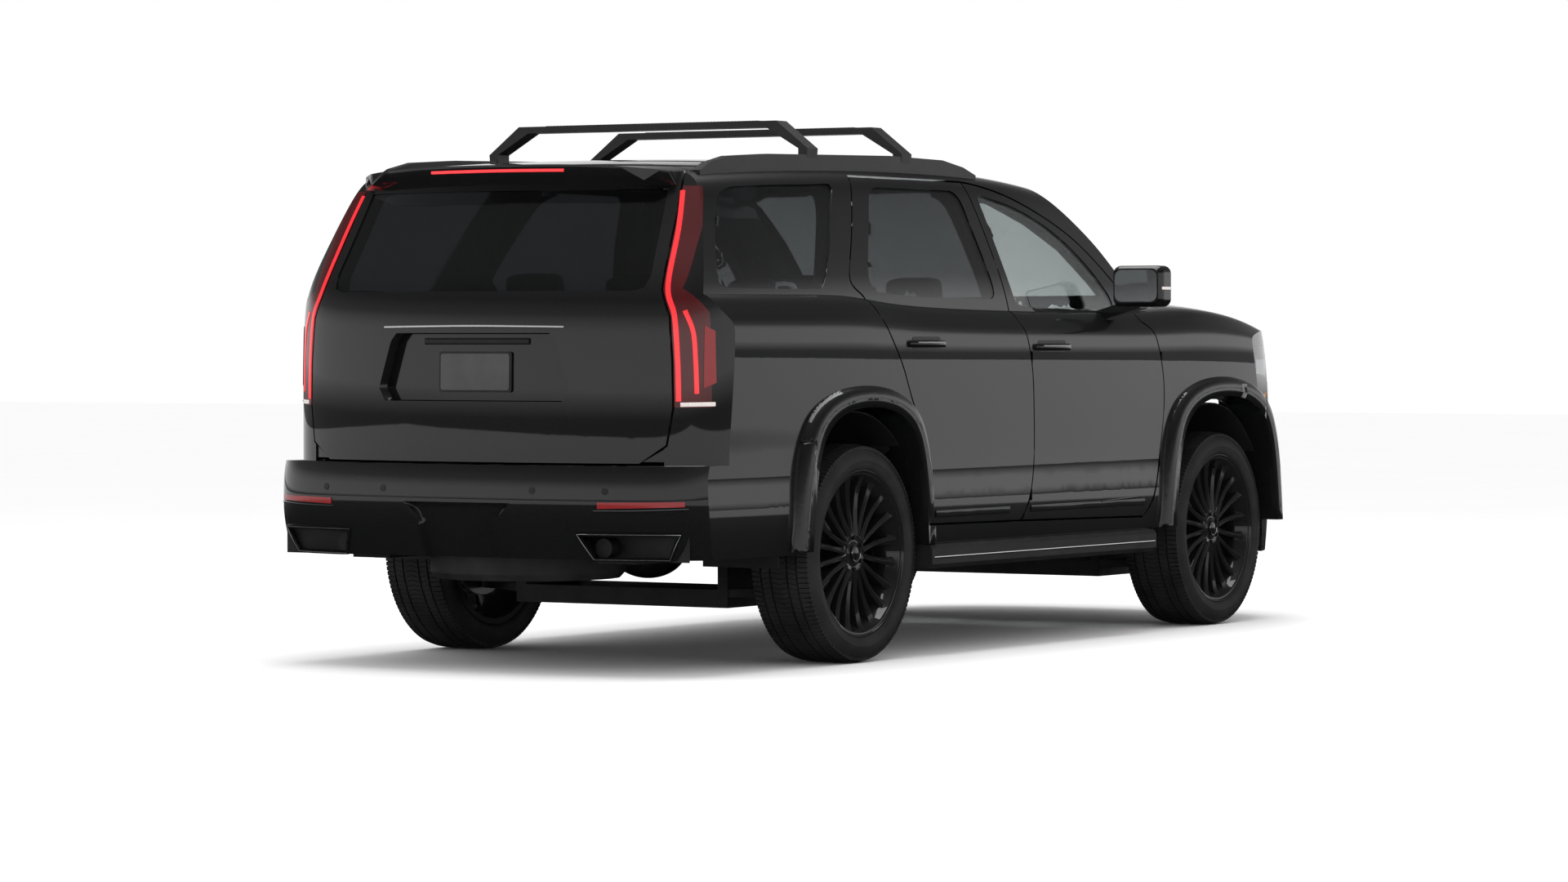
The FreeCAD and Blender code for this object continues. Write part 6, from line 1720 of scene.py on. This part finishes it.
def patch(name: str, outline: list[Pair] | Table, where: Finder, thick: float, finish: Finish, body: str,
          slot: str, lift: float = 0.0, cell: float = 0.02) -> None:
    """Makes a plate with a closed outline that follows a surface.

    Args:
        name: Name of the piece.
        outline: Corners as the surface's finder takes them, either way round.
        where: Finder of the surface.
        thick: Thickness of the plate.
        finish: Its finish.
        body: Body it rides on.
        slot: Its material slot.
        lift: How far its back lies off the surface.
        cell: Size of its facets.
    """
    flat = grid_of(outline, cell)
    solid = bmesh.new()
    back, front = {}, {}
    for vertex in flat.verts:
        spot, normal = where(vertex.co.x, vertex.co.y)
        back[vertex] = solid.verts.new(spot + normal * lift)
        front[vertex] = solid.verts.new(spot + normal * (lift + thick))
    for face in flat.faces:
        solid.faces.new([front[v] for v in face.verts])
        solid.faces.new([back[v] for v in reversed(face.verts)])
    for edge in flat.edges:
        if len(edge.link_faces) == 1:
            a, b = edge.verts
            solid.faces.new((front[a], front[b], back[b], back[a]))
    flat.free()
    bmesh.ops.recalc_face_normals(solid, faces=solid.faces)
    carried(mesh_object(name, solid, finish, PLATE_SMOOTH_DEGREES), body, slot)


class NodeRay:
    """Finds places on the outside of one CAD node by rays along one axis."""

    def __init__(self, node: str, start: Point, direction: Point, first: Point, second: Point) -> None:
        """Prepares rays onto a node.

        Args:
            node: Name of the node.
            start: A place from which all rays start, before their own two shifts.
            direction: Direction of the rays.
            first: Direction of the finder's first place.
            second: Direction of its second place.
        """
        mesh = frame["nodes"][node].data
        points = [vertex.co.copy() for vertex in mesh.vertices]
        self.tree = BVHTree.FromPolygons(points, [tuple(face.vertices) for face in mesh.polygons])
        self.start, self.direction = Vector(start), Vector(direction)
        self.first, self.second = Vector(first), Vector(second)

    def __call__(self, a: float, b: float) -> Found | None:
        """Finds a place on the node.

        Args:
            a: Its place along the first direction.
            b: Its place along the second direction.

        Returns:
            The place and its outward normal, or None.
        """
        spot, normal, _, _ = self.tree.ray_cast(self.start + self.first * a + self.second * b, self.direction)
        if spot is None:
            return None
        return spot, normal if normal.dot(self.direction) < 0 else -normal


def from_side(node: str, side: Side) -> NodeRay:
    """Rays onto a node from beside the vehicle, for (x, z) places."""
    return NodeRay(node, (0, side.value * 3.0, 0), (0, -side.value, 0), (1, 0, 0), (0, 0, 1))


def from_behind(node: str) -> NodeRay:
    """Rays onto a node from behind the vehicle, for (y, z) places."""
    return NodeRay(node, (-5.0, 0, 0), (1, 0, 0), (0, 1, 0), (0, 0, 1))


def from_above(node: str, height: float) -> NodeRay:
    """Rays down onto a node from a height, for (x, y) places."""
    return NodeRay(node, (0, 0, height), (0, 0, -1), (1, 0, 0), (0, 1, 0))


@dataclass
class TailLamps:
    """Tall tail lamps: a dark lens, two lit strips, a reflector and a reversing lamp."""

    inner: Table = (
        (0.727, 1.790), (0.755, 1.649), (0.783, 1.430), (0.818, 1.325), (0.832, 1.164), (0.836, 1.012))
    outer: Table = ((0.850, 1.345), (0.877, 1.270), (0.886, 1.164), (0.890, 1.040))
    reflector: Table = ((0.908, 1.290), (0.934, 1.270), (0.938, 1.080), (0.908, 1.060))
    reverse: Table = ((0.842, 1.000), (0.936, 1.002))
    inner_size: Pair = (0.020, 0.003)
    outer_size: Pair = (0.018, 0.003)
    reverse_size: Pair = (0.016, 0.003)
    reflector_thick: float = 0.002
    reflector_lift: float = 0.0005

    def build(self) -> None:
        """Makes the lamps of both sides."""
        SmoothPanel("tail_lamps", "shell", Finish.LAMP_LENS, "lamp", ("flank", "tail", "cabin")).build()
        for side in Side:
            self.lamp(side.word, on_side(SKINS.rear_at, side))

    def lamp(self, word: str, where: Finder) -> None:
        """Lays one side's strips on its lens.

        Args:
            word: The side's name.
            where: Finder of the rear face on that side.
        """
        for kind, points, size, finish, steps in (
                ("inner_strip", self.inner, self.inner_size, Finish.LAMP_RED, 10),
                ("outer_strip", self.outer, self.outer_size, Finish.LAMP_RED, 10),
                ("reverse", self.reverse, self.reverse_size, Finish.LAMP_WHITE, 12)):
            laid_bar(f"lamp_{kind}_{word}", points, where, size, finish, "shell", "lamp", smooth=steps)
        # The reflector's faint red glow is painted light, not a lamp.
        patch(f"lamp_reflector_{word}", self.reflector, where, self.reflector_thick, Finish.REFLECTOR, "shell",
              "lamp", self.reflector_lift)


@dataclass
class TailgateTrim:
    """What the tailgate carries: plate, bright bar, handle bar, recess floor and high brake lamp."""

    body: str = "tailgate_lid"
    bright_bar: Table = ((-0.405, 1.286), (0.0, 1.290), (0.405, 1.286))
    bright_size: Pair = (0.011, 0.004)
    handle_bar: Table = ((-0.235, 1.232), (0.235, 1.232))
    handle_size: Pair = (0.026, 0.012)
    recess_side: Table = ((0.393, 1.012), (0.424, 1.060), (0.367, 1.230), (0.342, 1.259))
    recess_middle: float = 1.120
    recess_lift: float = 0.0015
    recess_thick: float = 0.001
    corner: Table = ((0.712, 0.790), (0.812, 0.790), (0.812, 0.856), (0.798, 0.842), (0.730, 0.800))
    corner_thick: float = 0.004
    corner_depth: float = 0.010
    plate_half: float = 0.155
    plate_foot: float = 1.050
    plate_head: float = 1.186
    plate_corner: float = 0.010
    plate_lift: float = 0.003
    plate_thick: float = 0.008
    plate_frame: Pair = (0.008, 0.005)
    brake_strip: Table = ((-0.30, 1.868), (0.0, 1.870), (0.30, 1.868))
    brake_size: Pair = (0.012, 0.003)

    def build(self) -> None:
        """Makes the tailgate's trim."""
        laid_bar("gate_bright_bar", self.bright_bar, SKINS.rear_at, self.bright_size, Finish.BRIGHT, self.body,
                 "steel", smooth=24)
        gate = from_behind("tailgate")
        laid_bar("gate_handle_bar", self.handle_bar, gate, self.handle_size, Finish.SATIN_BLACK, self.body,
                 "trim", smooth=24)
        self.recess(gate)
        self.plate(gate)
        laid_bar("high_brake_lamp", self.brake_strip, gate, self.brake_size, Finish.LAMP_RED, self.body, "lamp",
                 smooth=16)

    def recess(self, gate: NodeRay) -> None:
        """Lays a smooth floor in the plate's recess, and fillets beside the gate's lower corners.

        Args:
            gate: Finder of the tailgate.
        """
        floor, skin = gate(0.0, self.recess_middle), SKINS.rear_at(0.0, self.recess_middle)
        shift = Vector((floor[0].x - skin[0].x - self.recess_lift, 0.0, 0.0))

        def where(y: float, z: float) -> Found | None:
            """The recess floor at a place across and up."""
            found = SKINS.rear_at(y, z)
            return None if found is None else (found[0] + shift, found[1])

        outline = [*self.recess_side, *((-y, z) for y, z in reversed(self.recess_side))]
        patch("recess_floor", outline, where, self.recess_thick, Finish.GLOSS_BLACK, self.body, "gloss_black",
              cell=0.04)
        for side in Side:
            patch(f"corner_fillet_{side.word}", self.corner, on_side(SKINS.rear_at, side), self.corner_thick,
                  Finish.PAINT, "shell", "paint", -self.corner_depth)

    def plate(self, gate: NodeRay) -> None:
        """Makes a blank plate in a slim frame, leaning with the recess.

        Args:
            gate: Finder of the tailgate.
        """
        (low, _), (top, _) = gate(0.0, self.plate_foot), gate(0.0, self.plate_head)
        up = (top - low).normalized()
        out = Vector((-up.z, 0.0, up.x))
        across = Vector((0.0, 1.0, 0.0))
        middle = (low + top) / 2 + out * self.plate_lift
        half_tall = (top - low).length / 2
        for name, (grow, thick), finish in (("plate_frame", self.plate_frame, Finish.SATIN_BLACK),
                                            ("plate", (0.0, self.plate_thick), Finish.PLATE)):
            bm = bmesh.new()
            ring = rounded_ring(self.plate_half + grow, half_tall + grow, self.plate_corner)
            add_loft(bm, [[middle + across * y + up * z + out * depth for y, z in ring] for depth in (0.0, thick)])
            carried(mesh_object(name, closed(bm), finish, PLATE_SMOOTH_DEGREES), self.body, "trim")


@dataclass
class RearBumperTrim:
    """Reflectors with their bright edges, and parking sensors, of the rear bumper."""

    reflector: Table = ((0.600, 0.620), (0.600, 0.643), (0.905, 0.647), (0.905, 0.628))
    reflector_thick: float = 0.004
    edge: Table = ((0.585, 0.612), (0.750, 0.614), (0.915, 0.620))
    edge_size: Pair = (0.006, 0.006)
    sensors: Pair = (0.336, 0.628)
    sensor_height: float = 0.684
    sensor_radius: float = 0.013
    sensor_thick: float = 0.0015

    def build(self) -> None:
        """Makes the bumper's trim."""
        for side in Side:
            where, word = on_side(SKINS.bumper_at, side), side.word
            # The reflectors' faint red glow is painted light, not a lamp.
            patch(f"bumper_reflector_{word}", self.reflector, where, self.reflector_thick, Finish.REFLECTOR,
                  "shell", "lamp")
            laid_bar(f"reflector_edge_{word}", self.edge, where, self.edge_size, Finish.BRIGHT, "shell",
                     "steel", smooth=10)
            for index, middle in enumerate(self.sensors):
                ring = [(middle + y, self.sensor_height + z) for y, z in circle(self.sensor_radius, 16)]
                patch(f"sensor_{index}_{word}", ring, where, self.sensor_thick, Finish.SATIN_BLACK, "shell",
                      "trim")


@dataclass
class OutletFrames:
    """A gloss frame with a bright edge round each exhaust outlet, and the pipe's dark mouth behind it."""

    corners: Table = ((0.512, 0.527), (0.888, 0.527), (0.838, 0.434), (0.558, 0.434))
    spacing: float = 0.03
    frame_size: Pair = (0.016, 0.006)
    edge_size: Pair = (0.004, 0.008)
    back_x: Pair = (-2.500, -2.494)
    back_y: Pair = (0.490, 0.910)
    back_z: Pair = (0.424, 0.550)

    def build(self) -> None:
        """Makes both frames and what closes them behind the pipes."""
        for side in Side:
            word = side.word
            bm = bmesh.new()
            low, top = sorted(side.value * y for y in self.back_y)
            add_box(bm, (self.back_x[0], low, self.back_z[0]), (self.back_x[1], top, self.back_z[1]))
            carried(mesh_object(f"outlet_back_{word}", closed(bm), Finish.MATTE_BLACK, None), "shell", "matte_black")
            points = straightened([*self.corners, self.corners[0]], self.spacing)[:-1]
            where = on_side(SKINS.bumper_at, side)
            laid_bar(f"outlet_frame_{word}", points, where, self.frame_size, Finish.GLOSS_BLACK, "shell",
                     "gloss_black", loop=True)
            laid_bar(f"outlet_edge_{word}", points, where, self.edge_size, Finish.STEEL, "shell", "steel",
                     loop=True)


@dataclass
class DoorTrim:
    """Pull handles with their cups, the lower moulding and its bright spear."""

    handles: tuple[tuple[str, float, float, float], ...] = (
        ("front", -0.026, 0.271, 1.208), ("rear", -1.050, -0.772, 1.222))
    bow: float = 0.026
    bow_power: float = 0.6
    foot: float = 0.004
    half_tall: float = 0.014
    half_thick: float = 0.006
    inner_share: float = 0.6
    steps: int = 24
    cup_share: float = 0.82
    cup_half: float = 0.024
    cup_corner: float = 0.022
    cup_thick: float = 0.0012
    cup_lift: float = 0.0002
    cup_rise: float = 0.004
    facet_size: Pair = (0.006, 0.0012)
    facet_out: float = 0.9
    facet_up: float = 0.35
    moulding_runs: tuple[tuple[str, float, float], ...] = (("front", -0.20, 0.96), ("rear", -0.83, -0.23))
    moulding_height: float = 0.556
    moulding_size: Pair = (0.030, 0.005)
    spear_run: Pair = (0.56, 0.92)
    spear_rise: Pair = (0.566, 0.012)
    spear_size: Pair = (0.006, 0.007)

    def build(self) -> None:
        """Makes the trim of all four doors."""
        for side in Side:
            for end, start, stop, z in self.handles:
                name = f"{end}_{side.word}"
                self.handle(f"handle_{name}", from_side(f"door_{name}", side), (start, stop), z, f"{name}_door")
            self.moulding(side)

    def handle(self, name: str, door: NodeRay, run: Pair, z: float, body: str) -> None:
        """Makes a bowed pull bar over a shallow cup, its ends resting on the door.

        Args:
            name: Name of the bar.
            door: Finder of the door.
            run: Where the bar starts and stops along the vehicle.
            z: Its height.
            body: Body it rides on.
        """
        middle, half = (run[0] + run[1]) / 2, (run[1] - run[0]) / 2
        cup = [(middle + u * self.cup_share, z + self.cup_rise + v)
               for u, v in rounded_ring(half, self.cup_half, self.cup_corner, 5)]
        patch(name + "_cup", cup, door, self.cup_thick, Finish.SATIN_BLACK, body, "trim", self.cup_lift)
        path, normals = [], []
        for index in range(self.steps + 1):
            t = index / self.steps
            found = door(run[0] + (run[1] - run[0]) * t, z)
            if found is not None:
                path.append(found[0] + found[1] * (self.foot + self.bow * math.sin(math.pi * t) ** self.bow_power))
                normals.append(found[1])
        section = [(self.half_thick * out * (1.0 if out > 0 else self.inner_share), self.half_tall * up)
                   for out, up in circle(1.0, 14)]
        bm = bmesh.new()
        add_strip(bm, path, section, normals)
        carried(mesh_object(name, closed(bm), Finish.GLOSS_BLACK), body, "gloss_black")
        rise = Vector((0, 0, self.half_tall * self.facet_up))
        crest = [point + normal * self.half_thick * self.facet_out + rise
                 for point, normal in zip(path[3:-3], normals[3:-3])]
        bm = bmesh.new()
        add_strip(bm, crest, bar_section(*self.facet_size), normals[3:-3])
        carried(mesh_object(name + "_facet", closed(bm), Finish.STEEL), body, "steel")

    def moulding(self, side: Side) -> None:
        """Lays a low moulding along both doors, with a bright spear at its front end.

        Args:
            side: Side of the vehicle.
        """
        for end, start, stop in self.moulding_runs:
            name = f"{end}_{side.word}"
            points = [(x, self.moulding_height) for x in np.linspace(start, stop, 24)]
            laid_bar(f"moulding_{name}", points, from_side(f"door_{name}", side), self.moulding_size,
                     Finish.GLOSS_BLACK, f"{name}_door", "gloss_black")
        start, stop = self.spear_run
        height, rise = self.spear_rise
        spear = [(x, height + rise * (x - start) / (stop - start)) for x in np.linspace(start, stop, 12)]
        laid_bar(f"spear_{side.word}", spear, from_side(f"door_front_{side.word}", side), self.spear_size,
                 Finish.BRIGHT, f"front_{side.word}_door", "steel")


@dataclass
class Mirrors:
    """Mirror glass, its rim and the clear repeater on each mirror's outer end."""

    half_wide: float = 0.098
    half_tall: float = 0.066
    corner: float = 0.030
    middle: Pair = (1.112, 1.462)
    sunk: float = 0.0005
    repeater: Table = ((0.672, 1.452), (0.760, 1.452))
    repeater_size: Pair = (0.012, 0.002)

    def build(self) -> None:
        """Makes both mirrors' faces and repeaters."""
        for side in Side:
            node, body = f"mirror_{side.word}", f"front_{side.word}_door"
            y, z = side.value * self.middle[0], self.middle[1]
            face, _ = from_behind(node)(y, z)
            for kind, grow, thick, lift, finish, slot in (
                    ("rim", 0.006, 0.002, 0.0, Finish.SATIN_BLACK, "trim"),
                    ("glass", 0.0, 0.0015, 0.002, Finish.MIRROR, "steel")):
                ring = rounded_ring(self.half_wide + grow, self.half_tall + grow, self.corner, 6)
                x = face.x - self.sunk - lift
                bm = bmesh.new()
                add_loft(bm, [[Vector((x - depth, y + u, z + v)) for u, v in ring] for depth in (0.0, thick)])
                carried(mesh_object(f"mirror_{kind}_{side.word}", closed(bm), finish, PLATE_SMOOTH_DEGREES), body,
                        slot)
            laid_bar(f"mirror_repeater_{side.word}", self.repeater, from_side(node, side), self.repeater_size,
                     Finish.LAMP_WHITE, body, "lamp", smooth=6)


@dataclass
class RoofRack:
    """Ribs on the cross bars' tops."""

    bars: Pair = (-1.341, -0.613)
    half: float = 0.50
    pitch: float = 0.016
    rib_half: Pair = (0.022, 0.0045)
    rib_z: Pair = (-0.001, 0.0025)

    def build(self) -> None:
        """Makes the ribs of both bars."""
        count = int(2 * self.half / self.pitch)
        for index, x in enumerate(self.bars):
            crest, _ = from_above("cross_bars", 5.0)(x, 0.0)
            bm = bmesh.new()
            (long, across), (low, top) = self.rib_half, self.rib_z
            add_box(bm, (-long, -across, low), (long, across, top))
            mesh = ROWS.apply(bm, count, (x, -self.half, crest.z), (0.0, self.pitch, 0.0), Finish.MATTE_BLACK,
                              f"bar_ribs_{index}")
            settled(f"bar_ribs_{index}", mesh, "shell", "matte_black", None)


@dataclass
class RunningBoards:
    """Tread ribs and the bright edge of each running board."""

    start: float = -0.86
    stop: float = 0.95
    middle: float = 0.965
    first_rib: float = 0.915
    pitch: float = 0.016
    ribs: int = 6
    rib_half: float = 0.0035
    rib_z: Pair = (-0.0005, 0.0020)
    edge_height: float = 0.388
    edge_past: float = 0.04
    edge_size: Pair = (0.008, 0.003)

    def build(self) -> None:
        """Makes the trim of both boards."""
        for side in Side:
            tread, _ = from_above("running_boards", 2.0)(0.0, side.value * self.middle)
            bm = bmesh.new()
            low, top = self.rib_z
            add_box(bm, (self.start, -self.rib_half, low), (self.stop, self.rib_half, top))
            mesh = ROWS.apply(bm, self.ribs, (0.0, side.value * self.first_rib, tread.z),
                              (0.0, side.value * self.pitch, 0.0), Finish.RUBBER, f"tread_{side.word}")
            settled(f"tread_{side.word}", mesh, "shell", "matte_black", None)
            stations = np.linspace(self.start - self.edge_past, self.stop + self.edge_past, 12)
            laid_bar(f"board_edge_{side.word}", [(x, self.edge_height) for x in stations],
                     from_side("running_boards", side), self.edge_size, Finish.BRIGHT, "shell", "steel")


@dataclass
class ArchLiners:
    """A moulded liner over each wheel."""

    radius: float = 0.542
    inner: float = 0.600
    outer: float = 0.930
    flange: float = 0.102
    wall: float = 0.004
    axle_height: float = 0.419
    arc_degrees: Pair = (-4.0, 188.0)
    steps: int = 32

    def build(self) -> None:
        """Makes the four liners."""
        for side in Side:
            for end, x in (("front", FRONT_AXLE_X), ("rear", REAR_AXLE_X)):
                self.liner(f"liner_{end}_{side.word}", x, side)

    def liner(self, name: str, x: float, side: Side) -> None:
        """Makes one liner with a flange on its inner side.

        Args:
            name: Name of the piece.
            x: Station of its axle.
            side: Side of the vehicle.
        """
        over, under = self.radius + self.wall, self.radius - self.flange
        section = [(self.inner, self.radius), (self.outer, self.radius), (self.outer, over),
                   (self.inner - self.wall, over), (self.inner - self.wall, under), (self.inner, under)]
        rings = []
        for step in range(self.steps + 1):
            angle = math.radians(self.arc_degrees[0] + self.arc_degrees[1] * step / self.steps)
            rings.append([Vector((x + r * math.cos(angle), side.value * y, self.axle_height + r * math.sin(angle)))
                          for y, r in section])
        bm = bmesh.new()
        add_loft(bm, rings)
        carried(mesh_object(name, closed(bm), Finish.MATTE_BLACK, 40.0), "shell", "matte_black")


# Cabin
@dataclass
class Pad:
    """A crowned leather pad with sewn channels across it."""

    middle: Point
    half: Point
    lean_degrees: float = 0.0
    channels: int = 3
    channel_axis: int = 1
    face_axis: int = 2
    cuts: int = 22
    power: float = 5.0
    groove: float = 0.007
    seam_half: float = 0.009
    crown: Pair = (0.10, 0.08)
    pinch: float = 0.035

    def add(self, bm: BMesh) -> None:
        """Adds the pad to a mesh.

        Args:
            bm: Mesh to add to.
        """
        part = bmesh.new()
        bmesh.ops.create_cube(part, size=2.0)
        bmesh.ops.subdivide_edges(part, edges=part.edges[:], cuts=self.cuts, use_grid_fill=True)
        turn = Matrix.Rotation(math.radians(self.lean_degrees), 3, "Y")
        for vertex in part.verts:
            vertex.co = turn @ self.formed(vertex.co) + Vector(self.middle)
        mesh = bpy.data.meshes.new("pad")
        part.to_mesh(mesh)
        part.free()
        bm.from_mesh(mesh)
        bpy.data.meshes.remove(mesh)

    def formed(self, place: Vector) -> Vector:
        """Moves a point of a cube onto the pad's surface.

        Args:
            place: The point, each coordinate from -1 to 1.

        Returns:
            Its place about the pad's middle.
        """
        norm = sum(abs(value) ** self.power for value in place) ** (1 / self.power)
        form = place / norm
        channel, face = self.channel_axis, self.face_axis
        other = 3 - face - channel
        run = form[channel]
        wave = 0.0
        for number in range(self.channels):
            seam = -1.0 + 2.0 * (number + 1) / (self.channels + 1)
            wave += math.exp(-((run - seam) * self.half[channel] / self.seam_half) ** 2)
        point = Vector(tuple(form[axis] * self.half[axis] for axis in range(3)))
        point[face] *= 1.0 - self.crown[0] * run ** 2 - self.crown[1] * form[other] ** 2
        point[other] *= 1.0 - self.pinch * (1.0 - run ** 2) * abs(form[other])
        point[face] -= self.groove * wave * max(0.0, form[face]) ** 2
        return point


@dataclass
class Seats:
    """Leather seats in three rows, each with a base, a cushion, a back, bolsters and headrests."""

    rows: tuple[tuple[str, float, Pair, float], ...] = (
        ("front_seats", 0.0, (-0.389, 0.389), 0.540), ("middle_seats", -0.921, (-0.389, 0.389), 0.540),
        ("rear_bench", -1.812, (-0.270, 0.270), 0.535))
    bolster_room: float = 0.075
    bolster_inset: float = 0.040
    bolster_half: float = 0.038
    base_x: Pair = (0.20, 0.64)
    base_z: Pair = (0.578, 0.740)
    cushion_lean: float = -4.0
    back_lean: float = -9.0
    post_y: float = 0.06
    post_foot: Pair = (0.080, 1.300)
    post_head: Pair = (0.066, 1.410)
    post_radius: float = 0.006

    def build(self) -> None:
        """Makes all rows in place of their CAD solids."""
        for node, x, places, width in self.rows:
            cushion, base, posts = bmesh.new(), bmesh.new(), bmesh.new()
            for y in places:
                self.pads(cushion, x, y, width / 2)
                self.carrier(base, posts, x, y, width / 2)
            pads = mesh_object(node + "_leather", closed(cushion), Finish.LEATHER, 60.0)
            carried(pads, "shell", "seat")
            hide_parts(node)
            carried(mesh_object(node + "_base", closed(base), Finish.TRIM), "shell", "trim")
            carried(mesh_object(node + "_posts", closed(posts), Finish.STEEL), "shell", "steel")

    def pads(self, cushion: BMesh, x: float, y: float, half: float) -> None:
        """Adds one seat's cushion, back, bolsters and headrest.

        Args:
            cushion: Mesh to add to.
            x: Where the row stands.
            y: Middle of the seat.
            half: Half the seat's width.
        """
        inner = half - self.bolster_room
        cushion_lean, back_lean = self.cushion_lean, self.back_lean
        Pad((x + 0.445, y, 0.800), (0.255, inner, 0.085), cushion_lean, 4, 0, 2).add(cushion)
        Pad((x + 0.130, y, 1.075), (0.070, inner, 0.275), back_lean, 5, 2, 0).add(cushion)
        for sign in (-1, 1):
            edge, thick = y + sign * (half - self.bolster_inset), self.bolster_half
            Pad((x + 0.445, edge, 0.815), (0.245, thick, 0.092), cushion_lean, 0, 0, 2, 12).add(cushion)
            Pad((x + 0.150, edge, 1.065), (0.078, thick, 0.265), back_lean, 0, 2, 0, 12).add(cushion)
        Pad((x + 0.062, y, 1.425), (0.045, 0.125, 0.068), back_lean, 0, 2, 0, 14).add(cushion)

    def carrier(self, base: BMesh, posts: BMesh, x: float, y: float,
                half: float) -> None:
        """Adds one seat's base and headrest posts.

        Args:
            base: Mesh of the bases.
            posts: Mesh of the posts.
            x: Where the row stands.
            y: Middle of the seat.
            half: Half the seat's width.
        """
        inner = half - self.bolster_room
        add_box(base, (x + self.base_x[0], y - inner, self.base_z[0]), (x + self.base_x[1], y + inner, self.base_z[1]))
        for sign in (-1, 1):
            post = [Vector((x + ahead, y + sign * self.post_y, z)) for ahead, z in (self.post_foot, self.post_head)]
            add_strip(posts, post, circle(self.post_radius, 8), Vector((0, 1, 0)))


@dataclass
class DashTrim:
    """A wide display and a bright line on the dashboard."""

    display: Table = ((-0.30, 1.120), (0.62, 1.120), (0.62, 1.225), (-0.30, 1.225))
    display_thick: float = 0.006
    display_lift: float = 0.001
    display_cell: float = 0.05
    edge: Table = ((-0.70, 1.095), (0.70, 1.095))
    edge_size: Pair = (0.006, 0.004)

    def build(self) -> None:
        """Makes the display and the line under it."""
        dash = from_behind("dashboard")
        patch("display", self.display, dash, self.display_thick, Finish.GLOSS_BLACK, "shell", "gloss_black",
              self.display_lift, self.display_cell)
        laid_bar("dash_edge", self.edge, dash, self.edge_size, Finish.STEEL, "shell", "steel", smooth=24)


@dataclass
class FrontEnd:
    """Lit strips of the headlamps, bright edge of the grille, and side markers."""

    headlamp: Table = ((0.63, 1.165), (0.75, 1.168), (0.86, 1.172))
    headlamp_size: Pair = (0.010, 0.003)
    strip: Table = ((0.870, 1.050), (0.880, 0.850), (0.875, 0.620))
    strip_size: Pair = (0.016, 0.004)
    marker: Table = ((2.245, 0.860), (2.262, 0.930), (2.240, 1.000))
    marker_size: Pair = (0.014, 0.003)
    grille_edge: Table = ((-0.560, 1.150), (0.0, 1.158), (0.560, 1.150))
    grille_edge_size: Pair = (0.010, 0.004)

    def build(self) -> None:
        """Makes the front's trim."""
        for side in Side:
            where, word = on_side(SKINS.front_at, side), side.word
            laid_bar(f"headlamp_strip_{word}", self.headlamp, where, self.headlamp_size, Finish.LAMP_WHITE, "shell",
                     "headlamp", smooth=8)
            laid_bar(f"front_strip_{word}", self.strip, where, self.strip_size, Finish.LAMP_WHITE, "shell",
                     "headlamp", smooth=8)
            laid_bar(f"front_marker_{word}", self.marker, from_side("front_bumper", side), self.marker_size,
                     Finish.AMBER, "shell", "lamp", smooth=5)
        laid_bar("grille_edge", self.grille_edge, SKINS.front_at, self.grille_edge_size, Finish.STEEL, "shell",
                 "steel", smooth=20)


def main() -> None:
    """Builds the scene, one sub-assembly after another."""
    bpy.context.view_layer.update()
    Studio().build()
    SKINS.build()
    assemblies = (
        CarriedNodes(), PaintedShell(), Windows(), Wheels(), TailLamps(), TailgateTrim(), RearBumperTrim(),
        OutletFrames(), DoorTrim(), Mirrors(), RoofRack(), RunningBoards(), ArchLiners(), Seats(), DashTrim(),
        FrontEnd())
    for part in assemblies:
        before = len(bpy.data.objects)
        part.build()
        LOG.info("%s: %d pieces", type(part).__name__, len(bpy.data.objects) - before)


if __name__ == "__main__":
    main()
